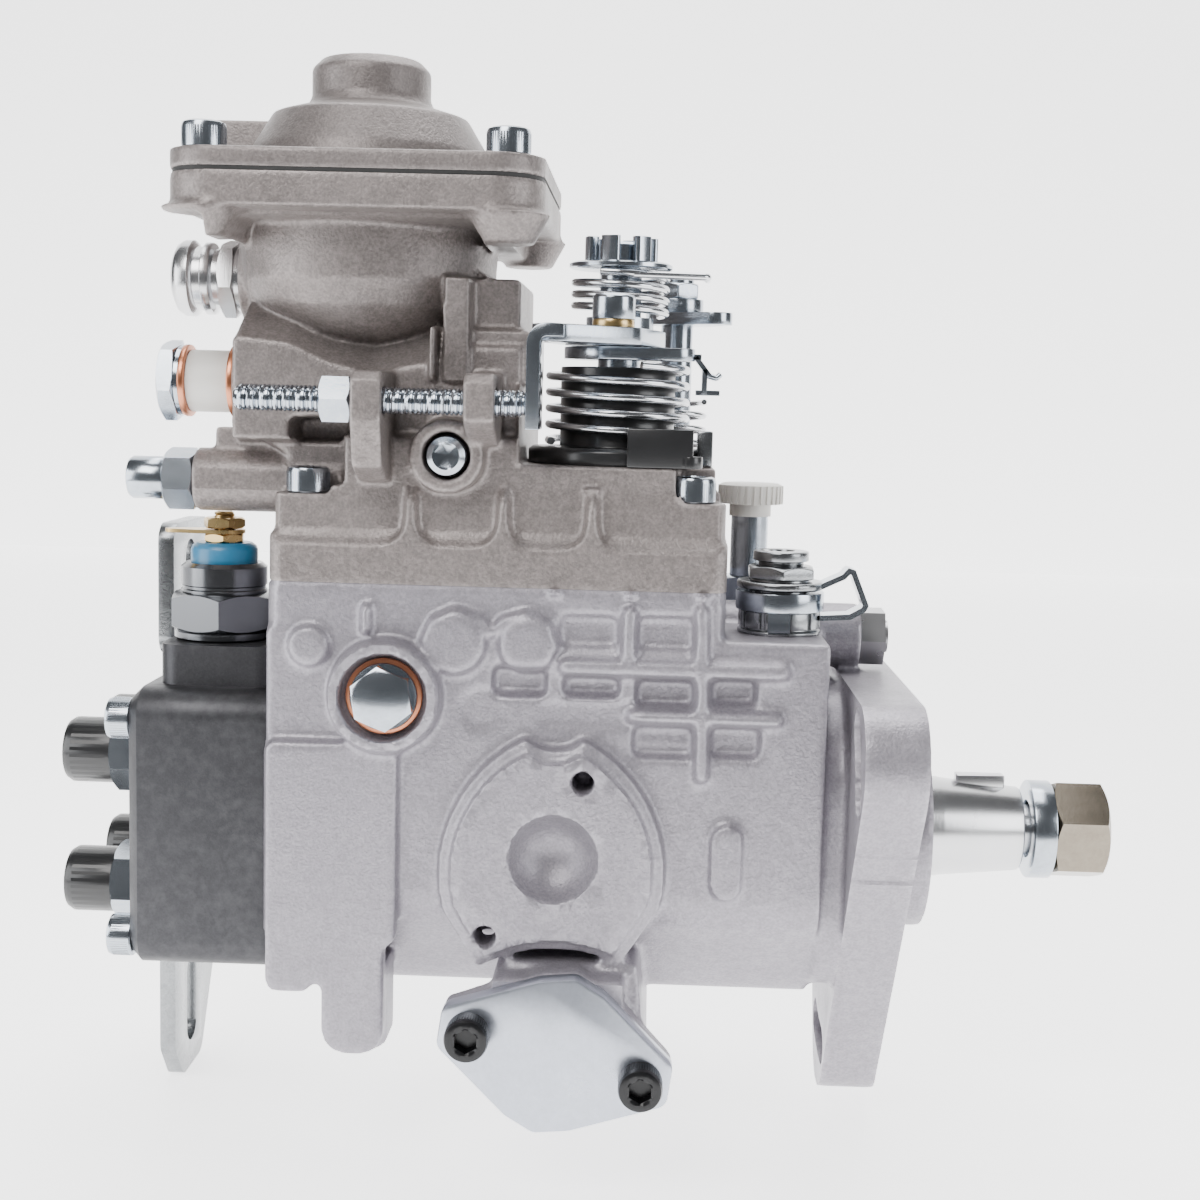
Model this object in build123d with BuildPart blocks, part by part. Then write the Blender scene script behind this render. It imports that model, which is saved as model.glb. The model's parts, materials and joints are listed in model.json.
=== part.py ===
from build123d import *
import math
import os

os.makedirs("parts", exist_ok=True)

# Distributor-type diesel injection pump, in millimetres.
# +X runs out along the drive shaft, +Z is up, -Y is the side with the cold-start pad.
# The origin is the centre of the mounting flange's face, on the drive axis.

# ------------------------------------------------------------ driving sizes
run_gap = 0.05  # radial clearance of what turns or slides in a bore
free_gap = 0.4  # space between pieces that pass each other

# Fasteners
m6_r = 3.0
m6_head_r = 5.0
m6_head_h = 6.0
m6_socket_flat = 5.0
m6_socket_depth = 3.0

# Mounting flange and pilot
flange_thick = 14.0
flange_ear_r = 13.5
flange_ear_y = 50.0
flange_ear_z = 26.0
flange_foot_y = 8.0
flange_foot_z = -58.5
flange_slot_r = 4.6
flange_slot_arc = 16.0
pilot_r = 25.0
pilot_long = 8.0

# Housing
body_half = 41.0
body_low = 40.0
body_round = 26.0
body_end_x = -20.0
deck_z = 51.0
chamber_x0 = -44.0
chamber_top = 62.0
main_bore_r = 31.0
front_wall = 27.0
cavity_half = 33.0
cavity_x0 = -50.5
cavity_wall = 8.0
cavity_low = 20.0

# Timing device, a cross bore under the roller ring
timing_back = 0.4  # behind the middle of the roller ring
timing_z = -44.0
timing_bore_r = 10.5
timing_wall = 4.5
timing_face = 52.0
timing_plate = 5.0
timing_screw_dx = 19.5
timing_screw_dz = 5.0
timing_piston_long = 50.0
timing_travel = 5.0
timing_pin_r = 2.8
timing_pin_hole_r = 4.6

# Cold-start pad
pad_back = 1.9  # behind the timing bore
pad_z = 0.6
pad_r = 22.6
pad_raise = 6.0
pad_rim = 2.8
pad_recess_r = 10.5
pad_hole_r = 2.6
pad_hole_deep = 12.0
pad_hole_dx = 10.85
pad_hole_dz = 18.3
pad_hole_back = 4.45
pad_hole_z = 0.2

# Governor lever pivot
pivot_back = 20.55  # behind the cam plate
pivot_z = 36.6
pivot_boss_r = 12.5
pivot_recess_r = 10.3
pivot_pin_r = 4.0
pivot_hex = 13.0
pivot_washer_r = 8.8

# Drive shaft
journal_r = 12.5
journal_end_x = 13.0
taper_long = 20.0
taper_drop = 2.0
thread_r = 7.0
shaft_end_x = 54.0
nut_hex = 22.0
nut_long = 13.3
washer_r = 12.3
washer_thick = 5.5
key_long = 12.0
key_wide = 4.0
key_proud = 2.2
seal_r = 17.5
seal_long = 9.0

# Vane pump
pump_ring_long = 18.0
pump_ring_offset = 1.5
pump_ring_bore = 24.5
rotor_r = 22.0
vane_wide = 2.5
vane_deep = 8.0
vane_count = 4

# Gears of the governor drive
gear_module = 1.6
drive_teeth = 36
governor_teeth = 24
gear_wide = 6.0
drive_gear_back = 30.0  # behind the front wall
governor_shaft_r = 4.0

# Coupling, rollers and cam
claw_in = 7.5
claw_out = 15.0
claw_wide = 9.0
shaft_tail_back = 14.0  # behind the gear
cross_thick = 5.0
cross_r = 15.4
roller_ring_back = 1.0  # behind the shaft's tail
roller_ring_long = 15.0
roller_ring_bore = 17.0
roller_r = 4.5
roller_long = 9.0
roller_proud = 2.5
roller_count = 4
cam_lift = 2.2
cam_r = 29.5
cam_thick = 9.0
plunger_r = 5.5
plunger_foot_r = 11.0
sleeve_r = 10.0
sleeve_long = 9.0
sleeve_groove = 5.0
sleeve_groove_deep = 3.0

# Distributor head
head_back = 27.7  # behind the lever's pivot
head_long = 33.0
head_half = 39.5
head_low = -31.0
head_high = 35.5
head_bevel = 2.5
head_spigot = 6.0
step_high = 45.0
step_half = 17.0
head_screw_y = 32.5
head_screw_low = -25.0
head_screw_high = 27.5
outlet_circle_r = 23.0
outlet_thread_r = 8.0
outlet_hex = 17.0
outlet_hex_long = 9.0
outlet_nose_r = 6.0
outlet_nose_long = 10.0
outlet_deep = 14.0
cap_r = 8.0
cap_wall = 1.5
plug_r = 11.0
plug_deep = 10.0
plug_hex = 17.0
plug_hex_long = 6.0

# Stop solenoid
solenoid_back = 16.0  # behind the head's front face
solenoid_y = -15.0
solenoid_thread_r = 11.8
solenoid_collar = 2.3
solenoid_hex = 23.5
solenoid_hex_long = 9.0
solenoid_can_r = 10.3
solenoid_can_long = 7.2
insulator_r = 8.0
insulator_long = 4.8
terminal_r = 2.5
terminal_long = 7.5
terminal_hex = 9.0
tag_reach = 14.0
solenoid_pin_r = 3.0

# Rear bracket
bracket_thick = 4.0
bracket_reach_low = -77.0
bracket_reach_high = 71.0
bracket_near_y = 1.0
bracket_far_y = 47.0
bracket_arm_y = 29.0
bracket_slot_r = 4.6
bracket_slot_long = 24.0

# Governor cover
cover_base = 11.0
cover_inset = 1.2
cover_top = 84.0
cover_roof = 5.0
cover_screw_inset = 8.0
cover_boss_r = 7.5
cover_boss_top = 82.0
cover_pocket_tall = 14.0
head_room = 1.3
throttle_deck_z = 89.8

# Tower and boost bowl on the cover
tower_front = 39.8  # ahead of the bowl's axis
tower_back = 26.2
tower_near = 39.0
tower_set_back = 26.0
tower_step_back = 0.2
tower_top = 112.0
tower_overhang_z = 96.0
bowl_front = 17.2  # ahead of the head
bowl_y = -5.0
bowl_r = 31.5
bowl_wall = 4.0
bowl_low_z = 112.0
bowl_split_z = 152.7
bowl_flange = 7.6
bowl_flange_half = 42.3
bowl_flange_shift = 2.2
bowl_flange_round = 12.0
bowl_screw_inset = 8.3
dome_flange = 4.3
dome_r = 28.5
dome_top_r = 23.4
dome_top_z = 170.5
dome_boss_r = 14.2
dome_boss_top = 184.0
diaphragm_thick = 1.0
boost_pin_r = 4.0
boost_pin_low = 76.0

# Connections on the left of the cover
union_z = 131.8
union_y = -5.0
union_r = 9.2
union_reach = 24.0  # left of the tower
overflow_y = -20.0
overflow_z = 106.9
overflow_sleeve_r = 7.3
overflow_sleeve_long = 10.0
overflow_hex = 17.0
full_load_z = 83.7
full_load_y = -20.0
full_load_boss_r = 7.5
full_load_reach = 21.0  # left of the head's front face
full_load_cap_long = 16.6

# Idle stop screw
idle_y = -47.5
idle_z = 103.5
idle_r = 3.0
idle_proud = 2.2  # right of the tower
idle_long = 64.7
idle_ear_wide = 6.9
idle_ear_near = 8.0  # left of the tower's right wall
idle_ear_far = 32.8
idle_ear_top = 110.0

# Side plug
side_plug_back = 15.9
side_plug_z = 91.5
side_plug_boss_r = 8.3
side_plug_head_r = 4.7

# Levers
throttle_back = 26.5  # behind the chamber's front end
throttle_y = -15.0
throttle_shaft_r = 5.0
throttle_top_z = 143.0
dust_sleeve_r = 13.6
dust_sleeve_top = 112.5
dust_base_r = 21.0
dust_base_thick = 4.0
lever_z = 114.3
lever_thick = 3.0
lever_hub_r = 13.0
lever_tab_low = 98.0
torsion_r = 16.3
torsion_wire = 1.5
torsion_turns = 5
upper_spring_r = 10.8
upper_spring_wire = 1.4
upper_spring_turns = 4
stop_back = 12.5
stop_y = 13.0
stop_shaft_r = 4.0
stop_lever_z = 124.0
stop_top_z = 137.0
stop_spring_r = 7.5
stop_spring_turns = 4

# Fittings on the front deck
valve_front = 13.5  # ahead of the chamber
valve_y = -20.0
valve_r = 9.7
valve_top_z = 70.5
inlet_front = 8.0
inlet_y = 19.0
inlet_r = 8.0
inlet_cap_r = 6.5
inlet_cap_top = 84.5
inlet_cap_long = 8.5
deck_seat_r = 7.0
deck_seat_deep = 8.0

# ------------------------------------------------------------ worked out from those
gear_distance = gear_module * (drive_teeth + governor_teeth) / 2
governor_z = gear_distance
main_bore_x = -front_wall
drive_gear_x = main_bore_x - drive_gear_back
shaft_tail_x = drive_gear_x - shaft_tail_back
roller_ring_x = shaft_tail_x - roller_ring_back
timing_x = roller_ring_x - roller_ring_long / 2 - timing_back
pad_x = timing_x - pad_back
pad_hole_x = pad_x - pad_hole_back
cam_x = roller_ring_x - roller_ring_long - roller_proud - run_gap - cam_lift
pivot_x = cam_x - cam_thick - pivot_back
head_x = pivot_x - head_back
housing_long = -head_x
head_face_x = head_x - head_long
cavity_x1 = head_x + cavity_wall
spigot_x = head_x + head_spigot
cover_base_top = chamber_top + cover_base
cavity_roof = cover_top - cover_roof
taper_end_x = journal_end_x + taper_long
nut_x = shaft_end_x - nut_long
washer_x = nut_x - washer_thick
solenoid_x = head_x - solenoid_back
bowl_x = head_x + bowl_front
tower_x0 = bowl_x + tower_front
tower_x1 = bowl_x - tower_back
tower_step_x = bowl_x - tower_step_back
throttle_deck_x = tower_x0
bowl_screw_span = bowl_flange_half - bowl_screw_inset
union_end_x = tower_x1 - union_reach
full_load_face_x = head_x - full_load_reach
full_load_end_x = full_load_face_x - full_load_cap_long
idle_x0 = tower_x0 + idle_proud
idle_x1 = idle_x0 - idle_long
idle_ear_near_x = tower_x0 - idle_ear_near
idle_ear_far_x = tower_x0 - idle_ear_far
side_plug_x = tower_x0 - side_plug_back
throttle_x = chamber_x0 - throttle_back
stop_x = chamber_x0 - stop_back
valve_x = chamber_x0 + valve_front
inlet_x = chamber_x0 + inlet_front
centre = (Align.CENTER, Align.CENTER, Align.CENTER)
standing = (Align.CENTER, Align.CENTER, Align.MIN)
hanging = (Align.CENTER, Align.CENTER, Align.MAX)


def across(x):
    """Plane across the drive axis at x: its own x is +Y, its own y is +Z, and it faces +X."""
    return Plane.YZ.offset(x)


def side(y):
    """Plane along the pump's near side at y: its own x is +X, its own y is +Z, and it faces -Y."""
    return Plane.XZ.offset(-y)


def turned(x, angle, z=0.0):
    """Plane across the drive axis at x, its own x turned by an angle in degrees about the axis."""
    heading = math.radians(angle)
    return Plane(origin=(x, 0, z), x_dir=(0, math.cos(heading), math.sin(heading)), z_dir=(1, 0, 0))


def polar(radius, angle):
    """Point at a radius and an angle in radians."""
    return (radius * math.cos(angle), radius * math.sin(angle))


def hex_bar(plane, x, y, flats, turn=0.0):
    """Hexagon of a nut or bolt head on a plane, by its width across flats."""
    with BuildSketch(plane) as outline:
        with Locations((x, y)):
            RegularPolygon(radius=flats / 2, side_count=6, major_radius=False, rotation=turn)
    return outline.sketch


def coil(radius, wire, start_z, end_z, turns, x=0.0, y=0.0):
    """Coil spring of square wire standing along Z, as one solid."""
    rise = end_z - start_z - wire
    path = Helix(pitch=rise / turns, height=rise, radius=radius)
    section = Plane(path @ 0, z_dir=path % 0) * Rectangle(wire, wire)
    spring = sweep(section.face(), path=path, is_frenet=True)
    return Pos(x, y, start_z + wire / 2) * spring


def gear_outline(teeth, module, turn, backlash=0.45, tip=0.85, root=1.15):
    """Corner points of a spur gear with straight flanks, its first tooth at the given angle."""
    pitch_r = module * teeth / 2
    points = []
    for tooth in range(teeth):
        middle = math.radians(turn) + 2 * math.pi * tooth / teeth
        half = (math.pi * module / 2 - backlash) / 2
        for height, edge in ((-root, -1), (tip, -1), (tip, 1), (-root, 1)):
            radius = pitch_r + height * module
            width = half - height * module * math.tan(math.radians(20))
            angle = middle + edge * width / radius
            points.append((radius * math.cos(angle), radius * math.sin(angle)))
    return points


# ------------------------------------------------------------ pump housing
timing_plate_points = [
    (-25.0, 9.7),
    (-3.7, 17.4),
    (4.6, 18.0),
    (11.0, 14.3),
    (26.6, -2.8),
    (25.6, -9.5),
]
timing_outline = timing_plate_points + [(-x, -z) for x, z in timing_plate_points]
timing_centre_z = timing_z + 2.0
flange_ears = [
    (-flange_ear_y, flange_ear_z),
    (flange_ear_y, flange_ear_z),
    (flange_foot_y, flange_foot_z),
]
near_y = -body_half
pad_face_y = near_y - pad_raise


def pad_shape(plane, grow):
    """Outline of the cold-start pad, grown about its centre by a factor."""
    with BuildSketch(plane) as shape:
        with BuildLine():
            left_low = (pad_x - 15.2 * grow, pad_z - 23.9 * grow)
            right_low = (pad_x + 14.1 * grow, pad_z - 22.2 * grow)
            left_side = (pad_x - 22.5 * grow, pad_z - 12.0 * grow)
            right_side = (pad_x + 21.9 * grow, pad_z - 10.0 * grow)
            notch_left = (pad_x - 6.2 * grow, pad_z + 24.2 * grow)
            notch_right = (pad_x + 5.6 * grow, pad_z + 24.3 * grow)
            ThreePointArc(left_side, (pad_x - 17.2 * grow, pad_z + 15.0 * grow), notch_left)
            ThreePointArc(notch_left, (pad_x + 0.4 * grow, pad_z + 22.0 * grow), notch_right)
            ThreePointArc(notch_right, (pad_x + 18.4 * grow, pad_z + 12.4 * grow), right_side)
            Line(right_side, right_low)
            ThreePointArc(right_low, (pad_x, pad_z - 19.3 * grow), left_low)
            Line(left_low, left_side)
        make_face()
    return shape.sketch


with BuildPart() as pump_housing:
    # Barrel of the pump with its rounded underside
    with BuildSketch(across(-housing_long)):
        with BuildLine():
            Polyline(
                (-body_half, deck_z),
                (body_half, deck_z),
                (body_half, -body_low + body_round),
                (body_half - body_round, -body_low),
                (body_round - body_half, -body_low),
                (-body_half, -body_low + body_round),
                close=True,
            )
        make_face()
    extrude(amount=housing_long + body_end_x)
    under_edges = pump_housing.edges().filter_by(Axis.X).group_by(Axis.Z)
    fillet(under_edges[0] + under_edges[1], body_round * 0.45)
    # Governor chamber
    with BuildSketch(Plane.XY.offset(deck_z)):
        with Locations(((chamber_x0 - housing_long) / 2, 0)):
            RectangleRounded(housing_long + chamber_x0, 2 * body_half, 4.0)
    extrude(amount=chamber_top - deck_z)
    # Neck and flange
    with BuildSketch(across(body_end_x)):
        RectangleRounded(2 * body_half - 12, 2 * body_low - 6, 24)
    extrude(amount=-body_end_x - flange_thick)
    with BuildSketch(across(-flange_thick)):
        for ear_y, ear_z in flange_ears:
            with Locations((ear_y, ear_z)):
                Circle(flange_ear_r)
        make_hull()
    extrude(amount=flange_thick)
    # Webs from the flange back to the barrel, above and on both sides
    with BuildSketch(side(-4)):
        with BuildLine():
            Polyline(
                (body_end_x - 14, deck_z - 1),
                (-flange_thick, flange_ear_z + flange_ear_r - 3),
                (-flange_thick, 10),
                (body_end_x - 14, 10),
                close=True,
            )
        make_face()
    extrude(amount=4, both=True)
    with BuildSketch(across(0)):
        Circle(pilot_r)
    extrude(amount=pilot_long)
    # Cross barrel of the timing device with its two faces
    with BuildSketch(side(timing_face)):
        with Locations((timing_x, timing_z)):
            Circle(timing_bore_r + timing_wall)
        with Locations((timing_x, timing_z + 9)):
            Rectangle(2 * (timing_bore_r + timing_wall), 18)
    extrude(amount=2 * timing_face)
    for face_y in (timing_face, -timing_face + 7):
        with BuildSketch(side(face_y)):
            with Locations((timing_x, timing_centre_z)):
                Polygon(*timing_outline, align=None)
        extrude(amount=7)
    # Web that carries the near timing face
    with BuildSketch(Plane.XY.offset(timing_centre_z - 10)):
        with Locations((timing_x + 3, 0)):
            Rectangle(36, 2 * timing_face - 8)
    extrude(amount=28, taper=6)
    # Governor shaft boss over the flange
    with BuildSketch(across(chamber_x0 - 1)):
        with Locations((0, governor_z)):
            Circle(8.0)
    extrude(amount=-chamber_x0 - 8)
    # Flat pad at the head end with the feet under it
    with BuildSketch(side(near_y + 2)):
        with Locations((head_x + 15.6, 1.6)):
            RectangleRounded(30.5, 47.5, 2.5)
        with Locations((head_x + 6, -24)):
            RectangleRounded(11, 20, 3)
        with Locations((head_x + 21, -32)):
            RectangleRounded(14.5, 33, 6)
        with Locations((head_x + 12, -25)):
            Rectangle(16, 14)
    extrude(amount=5.0)
    with BuildSketch(Plane.XY.offset(-48)):
        with Locations((head_x + 21, near_y + 9)):
            SlotOverall(24, 14.5, rotation=90)
    extrude(amount=20)
    # Pivot boss, twin pads and the small disc
    with BuildSketch(side(near_y + 1)):
        with Locations((pivot_x, pivot_z)):
            Circle(pivot_boss_r)
    extrude(amount=4.5)
    with BuildSketch(side(near_y + 1)):
        with Locations((pivot_x + 15.7, 49.4)):
            Circle(6.6)
        with Locations((pivot_x + 32.0, 48.4)):
            Circle(6.3)
        with Locations((head_x + 9.9, 47.4)):
            Circle(4.6)
    extrude(amount=4.0)
    with BuildSketch(side(near_y + 1)):
        with Locations((pivot_x + 23.8, 57.2)):
            RectangleRounded(20, 5, 2.2)
    extrude(amount=3.4)
    # Stiffening ribs of the chamber wall
    with BuildSketch(side(near_y + 1)):
        with Locations((chamber_x0 - 14.3, 44.6)):
            RectangleRounded(53, 3.0, 1.4)
        with Locations((chamber_x0 - 2.5, 34.0)):
            RectangleRounded(36, 2.8, 1.3)
        with Locations((chamber_x0 - 4.8, 33.0)):
            RectangleRounded(2.8, 22, 1.3)
        for rib_back in (54.2, 38.5, 22.0, 5.3):
            with Locations((chamber_x0 - rib_back, 41.2)):
                RectangleRounded(2.8, 9.0, 1.3)
        for rib_back in (39.0, 21.8, 5.3):
            with Locations((chamber_x0 - rib_back, 53.0)):
                RectangleRounded(2.8, 17.5, 1.3)
        with Locations((chamber_x0 - 31.0, 33.8)):
            RectangleRounded(48, 2.4, 1.1)
    extrude(amount=3.4)
    with BuildSketch(side(near_y + 2)):
        with Locations((chamber_x0 + 1.9, -0.2)):
            SlotOverall(17.5, 7.0, rotation=90)
    extrude(amount=4.0)
    # Cold-start pad in its raised rim, standing on the round flank
    extrude(pad_shape(side(near_y + 5), 1 + pad_rim / pad_r), amount=pad_raise + 3.0)
    extrude(pad_shape(side(near_y + 1), 1), amount=pad_raise + 1)
    with Locations(Plane.XZ.offset(-pad_face_y)):
        with Locations((pad_x, pad_z, 2.2)):
            Sphere(pad_recess_r, mode=Mode.SUBTRACT)
        with Locations(
            (pad_hole_x + pad_hole_dx, pad_hole_z + pad_hole_dz, 0),
            (pad_hole_x - pad_hole_dx, pad_hole_z - pad_hole_dz, 0),
        ):
            Cylinder(pad_hole_r, pad_hole_deep, align=hanging, mode=Mode.SUBTRACT)
    # Main bore, seal and bearing bores
    with Locations(across(-housing_long)):
        Cylinder(main_bore_r, housing_long + main_bore_x, align=standing, mode=Mode.SUBTRACT)
    with Locations(across(main_bore_x)):
        Cylinder(journal_r + run_gap, pilot_long - main_bore_x, align=standing, mode=Mode.SUBTRACT)
    with Locations(across(pilot_long)):
        Cylinder(seal_r, seal_long, align=hanging, mode=Mode.SUBTRACT)
    # Governor chamber, open to the cover
    with BuildSketch(Plane.XY.offset(cavity_low)):
        with Locations(((cavity_x0 + cavity_x1) / 2, 0)):
            RectangleRounded(cavity_x0 - cavity_x1, 2 * cavity_half, 5.0)
    extrude(amount=chamber_top - cavity_low, mode=Mode.SUBTRACT)
    with Locations(across(cavity_x0)):
        with Locations((0, governor_z, 0)):
            Cylinder(governor_shaft_r, -cavity_x0, align=standing, mode=Mode.SUBTRACT)
    # Timing bore and the window of its pin
    with Locations(side(timing_face)):
        with Locations((timing_x, timing_z, 0)):
            Cylinder(timing_bore_r + run_gap, 2 * timing_face, align=standing, mode=Mode.SUBTRACT)
    pin_sweep = timing_travel * 0.9
    with Locations((timing_x, pin_sweep / 2, timing_z + 6)):
        Box(2 * timing_pin_r + 1.5, pin_sweep + 2 * timing_pin_r + 2, 16, mode=Mode.SUBTRACT)
    # Pivot bolts, one each side
    with Locations(side(near_y - 4)):
        with Locations((pivot_x, pivot_z, 0)):
            Cylinder(pivot_pin_r, 2 * body_half + 8, align=hanging, mode=Mode.SUBTRACT)
            Cylinder(pivot_recess_r, 4 - 3.5 + 2.0, align=hanging, mode=Mode.SUBTRACT)
    # Screw holes of the timing covers
    with Locations(side(timing_face)):
        with Locations(
            (timing_x - timing_screw_dx, timing_centre_z + timing_screw_dz, 0),
            (timing_x + timing_screw_dx, timing_centre_z - timing_screw_dz, 0),
        ):
            Cylinder(m6_r, 10, align=standing, mode=Mode.SUBTRACT)
    with Locations(side(-timing_face)):
        with Locations(
            (timing_x - timing_screw_dx, timing_centre_z + timing_screw_dz, 0),
            (timing_x + timing_screw_dx, timing_centre_z - timing_screw_dz, 0),
        ):
            Cylinder(m6_r, 10, align=hanging, mode=Mode.SUBTRACT)
    # Threaded seats of the regulating valve and the fuel inlet
    with Locations((valve_x, valve_y, deck_z), (inlet_x, inlet_y, deck_z)):
        Cylinder(deck_seat_r, deck_seat_deep, align=hanging, mode=Mode.SUBTRACT)
    # Slots in the flange's ears, curved about the drive axis
    for ear_y, ear_z in flange_ears:
        reach = math.hypot(ear_y, ear_z)
        angle = math.atan2(ear_z, ear_y)
        half_arc = flange_slot_arc / 2 / reach
        tip_arc = half_arc + flange_slot_r / reach
        inner, outer = reach - flange_slot_r, reach + flange_slot_r
        with BuildSketch(across(-flange_thick)):
            with BuildLine():
                ThreePointArc(
                    polar(outer, angle - half_arc), polar(outer, angle), polar(outer, angle + half_arc)
                )
                ThreePointArc(
                    polar(outer, angle + half_arc),
                    polar(reach, angle + tip_arc),
                    polar(inner, angle + half_arc),
                )
                ThreePointArc(
                    polar(inner, angle + half_arc), polar(inner, angle), polar(inner, angle - half_arc)
                )
                ThreePointArc(
                    polar(inner, angle - half_arc),
                    polar(reach, angle - tip_arc),
                    polar(outer, angle - half_arc),
                )
            make_face()
        extrude(amount=flange_thick, mode=Mode.SUBTRACT)
pump_housing.part.label = "pump_housing"
export_step(pump_housing.part, "parts/pump_housing.step")

# ------------------------------------------------------------ distributor head
step_y0 = solenoid_y - step_half + 1
head_screw_places = [
    (y, z)
    for y in (-head_screw_y, head_screw_y)
    for z in (head_screw_low, head_screw_high)
]
outlet_places = [
    (outlet_circle_r * math.cos(math.radians(angle)), outlet_circle_r * math.sin(math.radians(angle)))
    for angle in (45, 135, 225, 315)
]

with BuildPart() as distributor_head:
    with BuildSketch(across(head_face_x)):
        with Locations((0, (head_low + head_high) / 2)):
            RectangleRounded(2 * head_half, head_high - head_low, 7.0)
    extrude(amount=head_long)
    chamfer(distributor_head.faces().sort_by(Axis.X)[0].edges(), head_bevel)
    # Raised step that carries the solenoid
    with BuildSketch(Plane.XY.offset(head_high - 8)):
        with Locations(((head_x + head_face_x + 5) / 2, solenoid_y + 1)):
            RectangleRounded(head_long - 5, 2 * step_half, 5.0)
    extrude(amount=step_high - head_high + 8)
    with Locations(across(head_x)):
        Cylinder(main_bore_r - run_gap, head_spigot, align=standing)
    with Locations(across(head_face_x)):
        Cylinder(plunger_r + run_gap, head_long + head_spigot, align=standing, mode=Mode.SUBTRACT)
        Cylinder(plug_r, plug_deep, align=standing, mode=Mode.SUBTRACT)
        for y, z in outlet_places:
            with Locations((y, z, 0)):
                Cylinder(outlet_thread_r, outlet_deep, align=standing, mode=Mode.SUBTRACT)
        for y, z in head_screw_places:
            with Locations((y, z, 0)):
                Cylinder(m6_r, head_long, align=standing, mode=Mode.SUBTRACT)
    with Locations((solenoid_x, solenoid_y, step_high)):
        Cylinder(solenoid_can_r, 12, align=hanging, mode=Mode.SUBTRACT)
distributor_head.part.label = "distributor_head"
export_step(distributor_head.part, "parts/distributor_head.step")

with BuildPart() as head_screws:
    for y, z in head_screw_places:
        under_head = head_face_x - (bracket_thick if y > 0 else 0)
        with Locations(across(under_head)):
            with Locations((y, z, 0)):
                Cylinder(m6_r, head_long + head_face_x - under_head, align=standing)
                Cylinder(m6_head_r, m6_head_h, align=hanging)
        extrude(
            hex_bar(across(under_head - m6_head_h), y, z, m6_socket_flat),
            amount=m6_socket_depth,
            mode=Mode.SUBTRACT,
        )
head_screws.part.label = "head_screws"
export_step(head_screws.part, "parts/head_screws.step")

with BuildPart() as delivery_valve_holders:
    for y, z in outlet_places:
        with Locations(across(head_face_x)):
            with Locations((y, z, 0)):
                Cylinder(outlet_thread_r, outlet_deep - 0.5, align=standing)
                Cylinder(outlet_thread_r - 0.5, outlet_hex_long, align=hanging)
        extrude(hex_bar(across(head_face_x - outlet_hex_long), y, z, outlet_hex, 15), amount=outlet_hex_long)
        with Locations(across(head_face_x - outlet_hex_long)):
            with Locations((y, z, 0)):
                Cylinder(outlet_nose_r, outlet_nose_long, align=hanging)
        with Locations(across(head_face_x - outlet_hex_long - outlet_nose_long)):
            with Locations((y, z, 0)):
                Cone(3.5, 1.2, 6, align=standing, mode=Mode.SUBTRACT)
                Cylinder(1.2, outlet_nose_long + outlet_hex_long + 8, align=standing, mode=Mode.SUBTRACT)
delivery_valve_holders.part.label = "delivery_valve_holders"
export_step(delivery_valve_holders.part, "parts/delivery_valve_holders.step")

with BuildPart() as delivery_caps:
    cap_mouth_x = head_face_x - outlet_hex_long
    for y, z in outlet_places:
        with Locations(across(cap_mouth_x)):
            with Locations((y, z, 0)):
                Cylinder(cap_r, outlet_nose_long + cap_wall, align=hanging)
                Cylinder(outlet_nose_r, outlet_nose_long, align=hanging, mode=Mode.SUBTRACT)
        with Locations(across(cap_mouth_x - outlet_nose_long - cap_wall)):
            with Locations((y, z, 0)):
                Cylinder(3.0, 1.2, align=hanging)
delivery_caps.part.label = "delivery_caps"
export_step(delivery_caps.part, "parts/delivery_caps.step")

with BuildPart() as head_plug:
    with Locations(across(head_face_x)):
        Cylinder(plug_r, plug_deep, align=standing)
        Cylinder(plug_r + 1.5, 2.5, align=hanging)
    extrude(hex_bar(across(head_face_x - 2.5), 0, 0, plug_hex), amount=-plug_hex_long)
head_plug.part.label = "head_plug"
export_step(head_plug.part, "parts/head_plug.step")

# ------------------------------------------------------------ stop solenoid
collar_top = step_high + solenoid_collar
hex_top = collar_top + solenoid_hex_long
can_top = hex_top + solenoid_can_long
insulator_top = can_top + insulator_long
pin_low = step_high - 12 + 0.4
with BuildPart() as solenoid_body:
    with Locations((solenoid_x, solenoid_y, step_high)):
        Cylinder(solenoid_thread_r, solenoid_collar, align=standing)
        Cylinder(solenoid_can_r, 7, align=hanging)
    extrude(
        hex_bar(Plane.XY.offset(collar_top), solenoid_x, solenoid_y, solenoid_hex, 8),
        amount=solenoid_hex_long,
    )
    with Locations((solenoid_x, solenoid_y, hex_top)):
        Cylinder(solenoid_can_r, solenoid_can_long, align=standing)
    top_rim = solenoid_body.faces().sort_by(Axis.Z)[-1].edges()
    chamfer(top_rim, 1.2)
    with Locations((solenoid_x, solenoid_y, step_high - 7)):
        Cylinder(solenoid_pin_r + run_gap, 14, align=standing, mode=Mode.SUBTRACT)
solenoid_body.part.label = "solenoid_body"
export_step(solenoid_body.part, "parts/solenoid_body.step")

with BuildPart() as solenoid_plunger:
    with Locations((solenoid_x, solenoid_y, pin_low)):
        Cylinder(solenoid_pin_r, 15, align=standing)
        Cylinder(solenoid_pin_r + 1.5, 2.0, align=standing)
solenoid_plunger.part.label = "solenoid_plunger"
export_step(solenoid_plunger.part, "parts/solenoid_plunger.step")

with BuildPart() as solenoid_insulator:
    with Locations((solenoid_x, solenoid_y, can_top)):
        Cylinder(insulator_r, insulator_long, align=standing)
    fillet(solenoid_insulator.faces().sort_by(Axis.Z)[-1].edges(), 1.5)
    with Locations((solenoid_x, solenoid_y, can_top)):
        Cylinder(terminal_r, insulator_long, align=standing, mode=Mode.SUBTRACT)
solenoid_insulator.part.label = "solenoid_insulator"
export_step(solenoid_insulator.part, "parts/solenoid_insulator.step")

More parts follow.
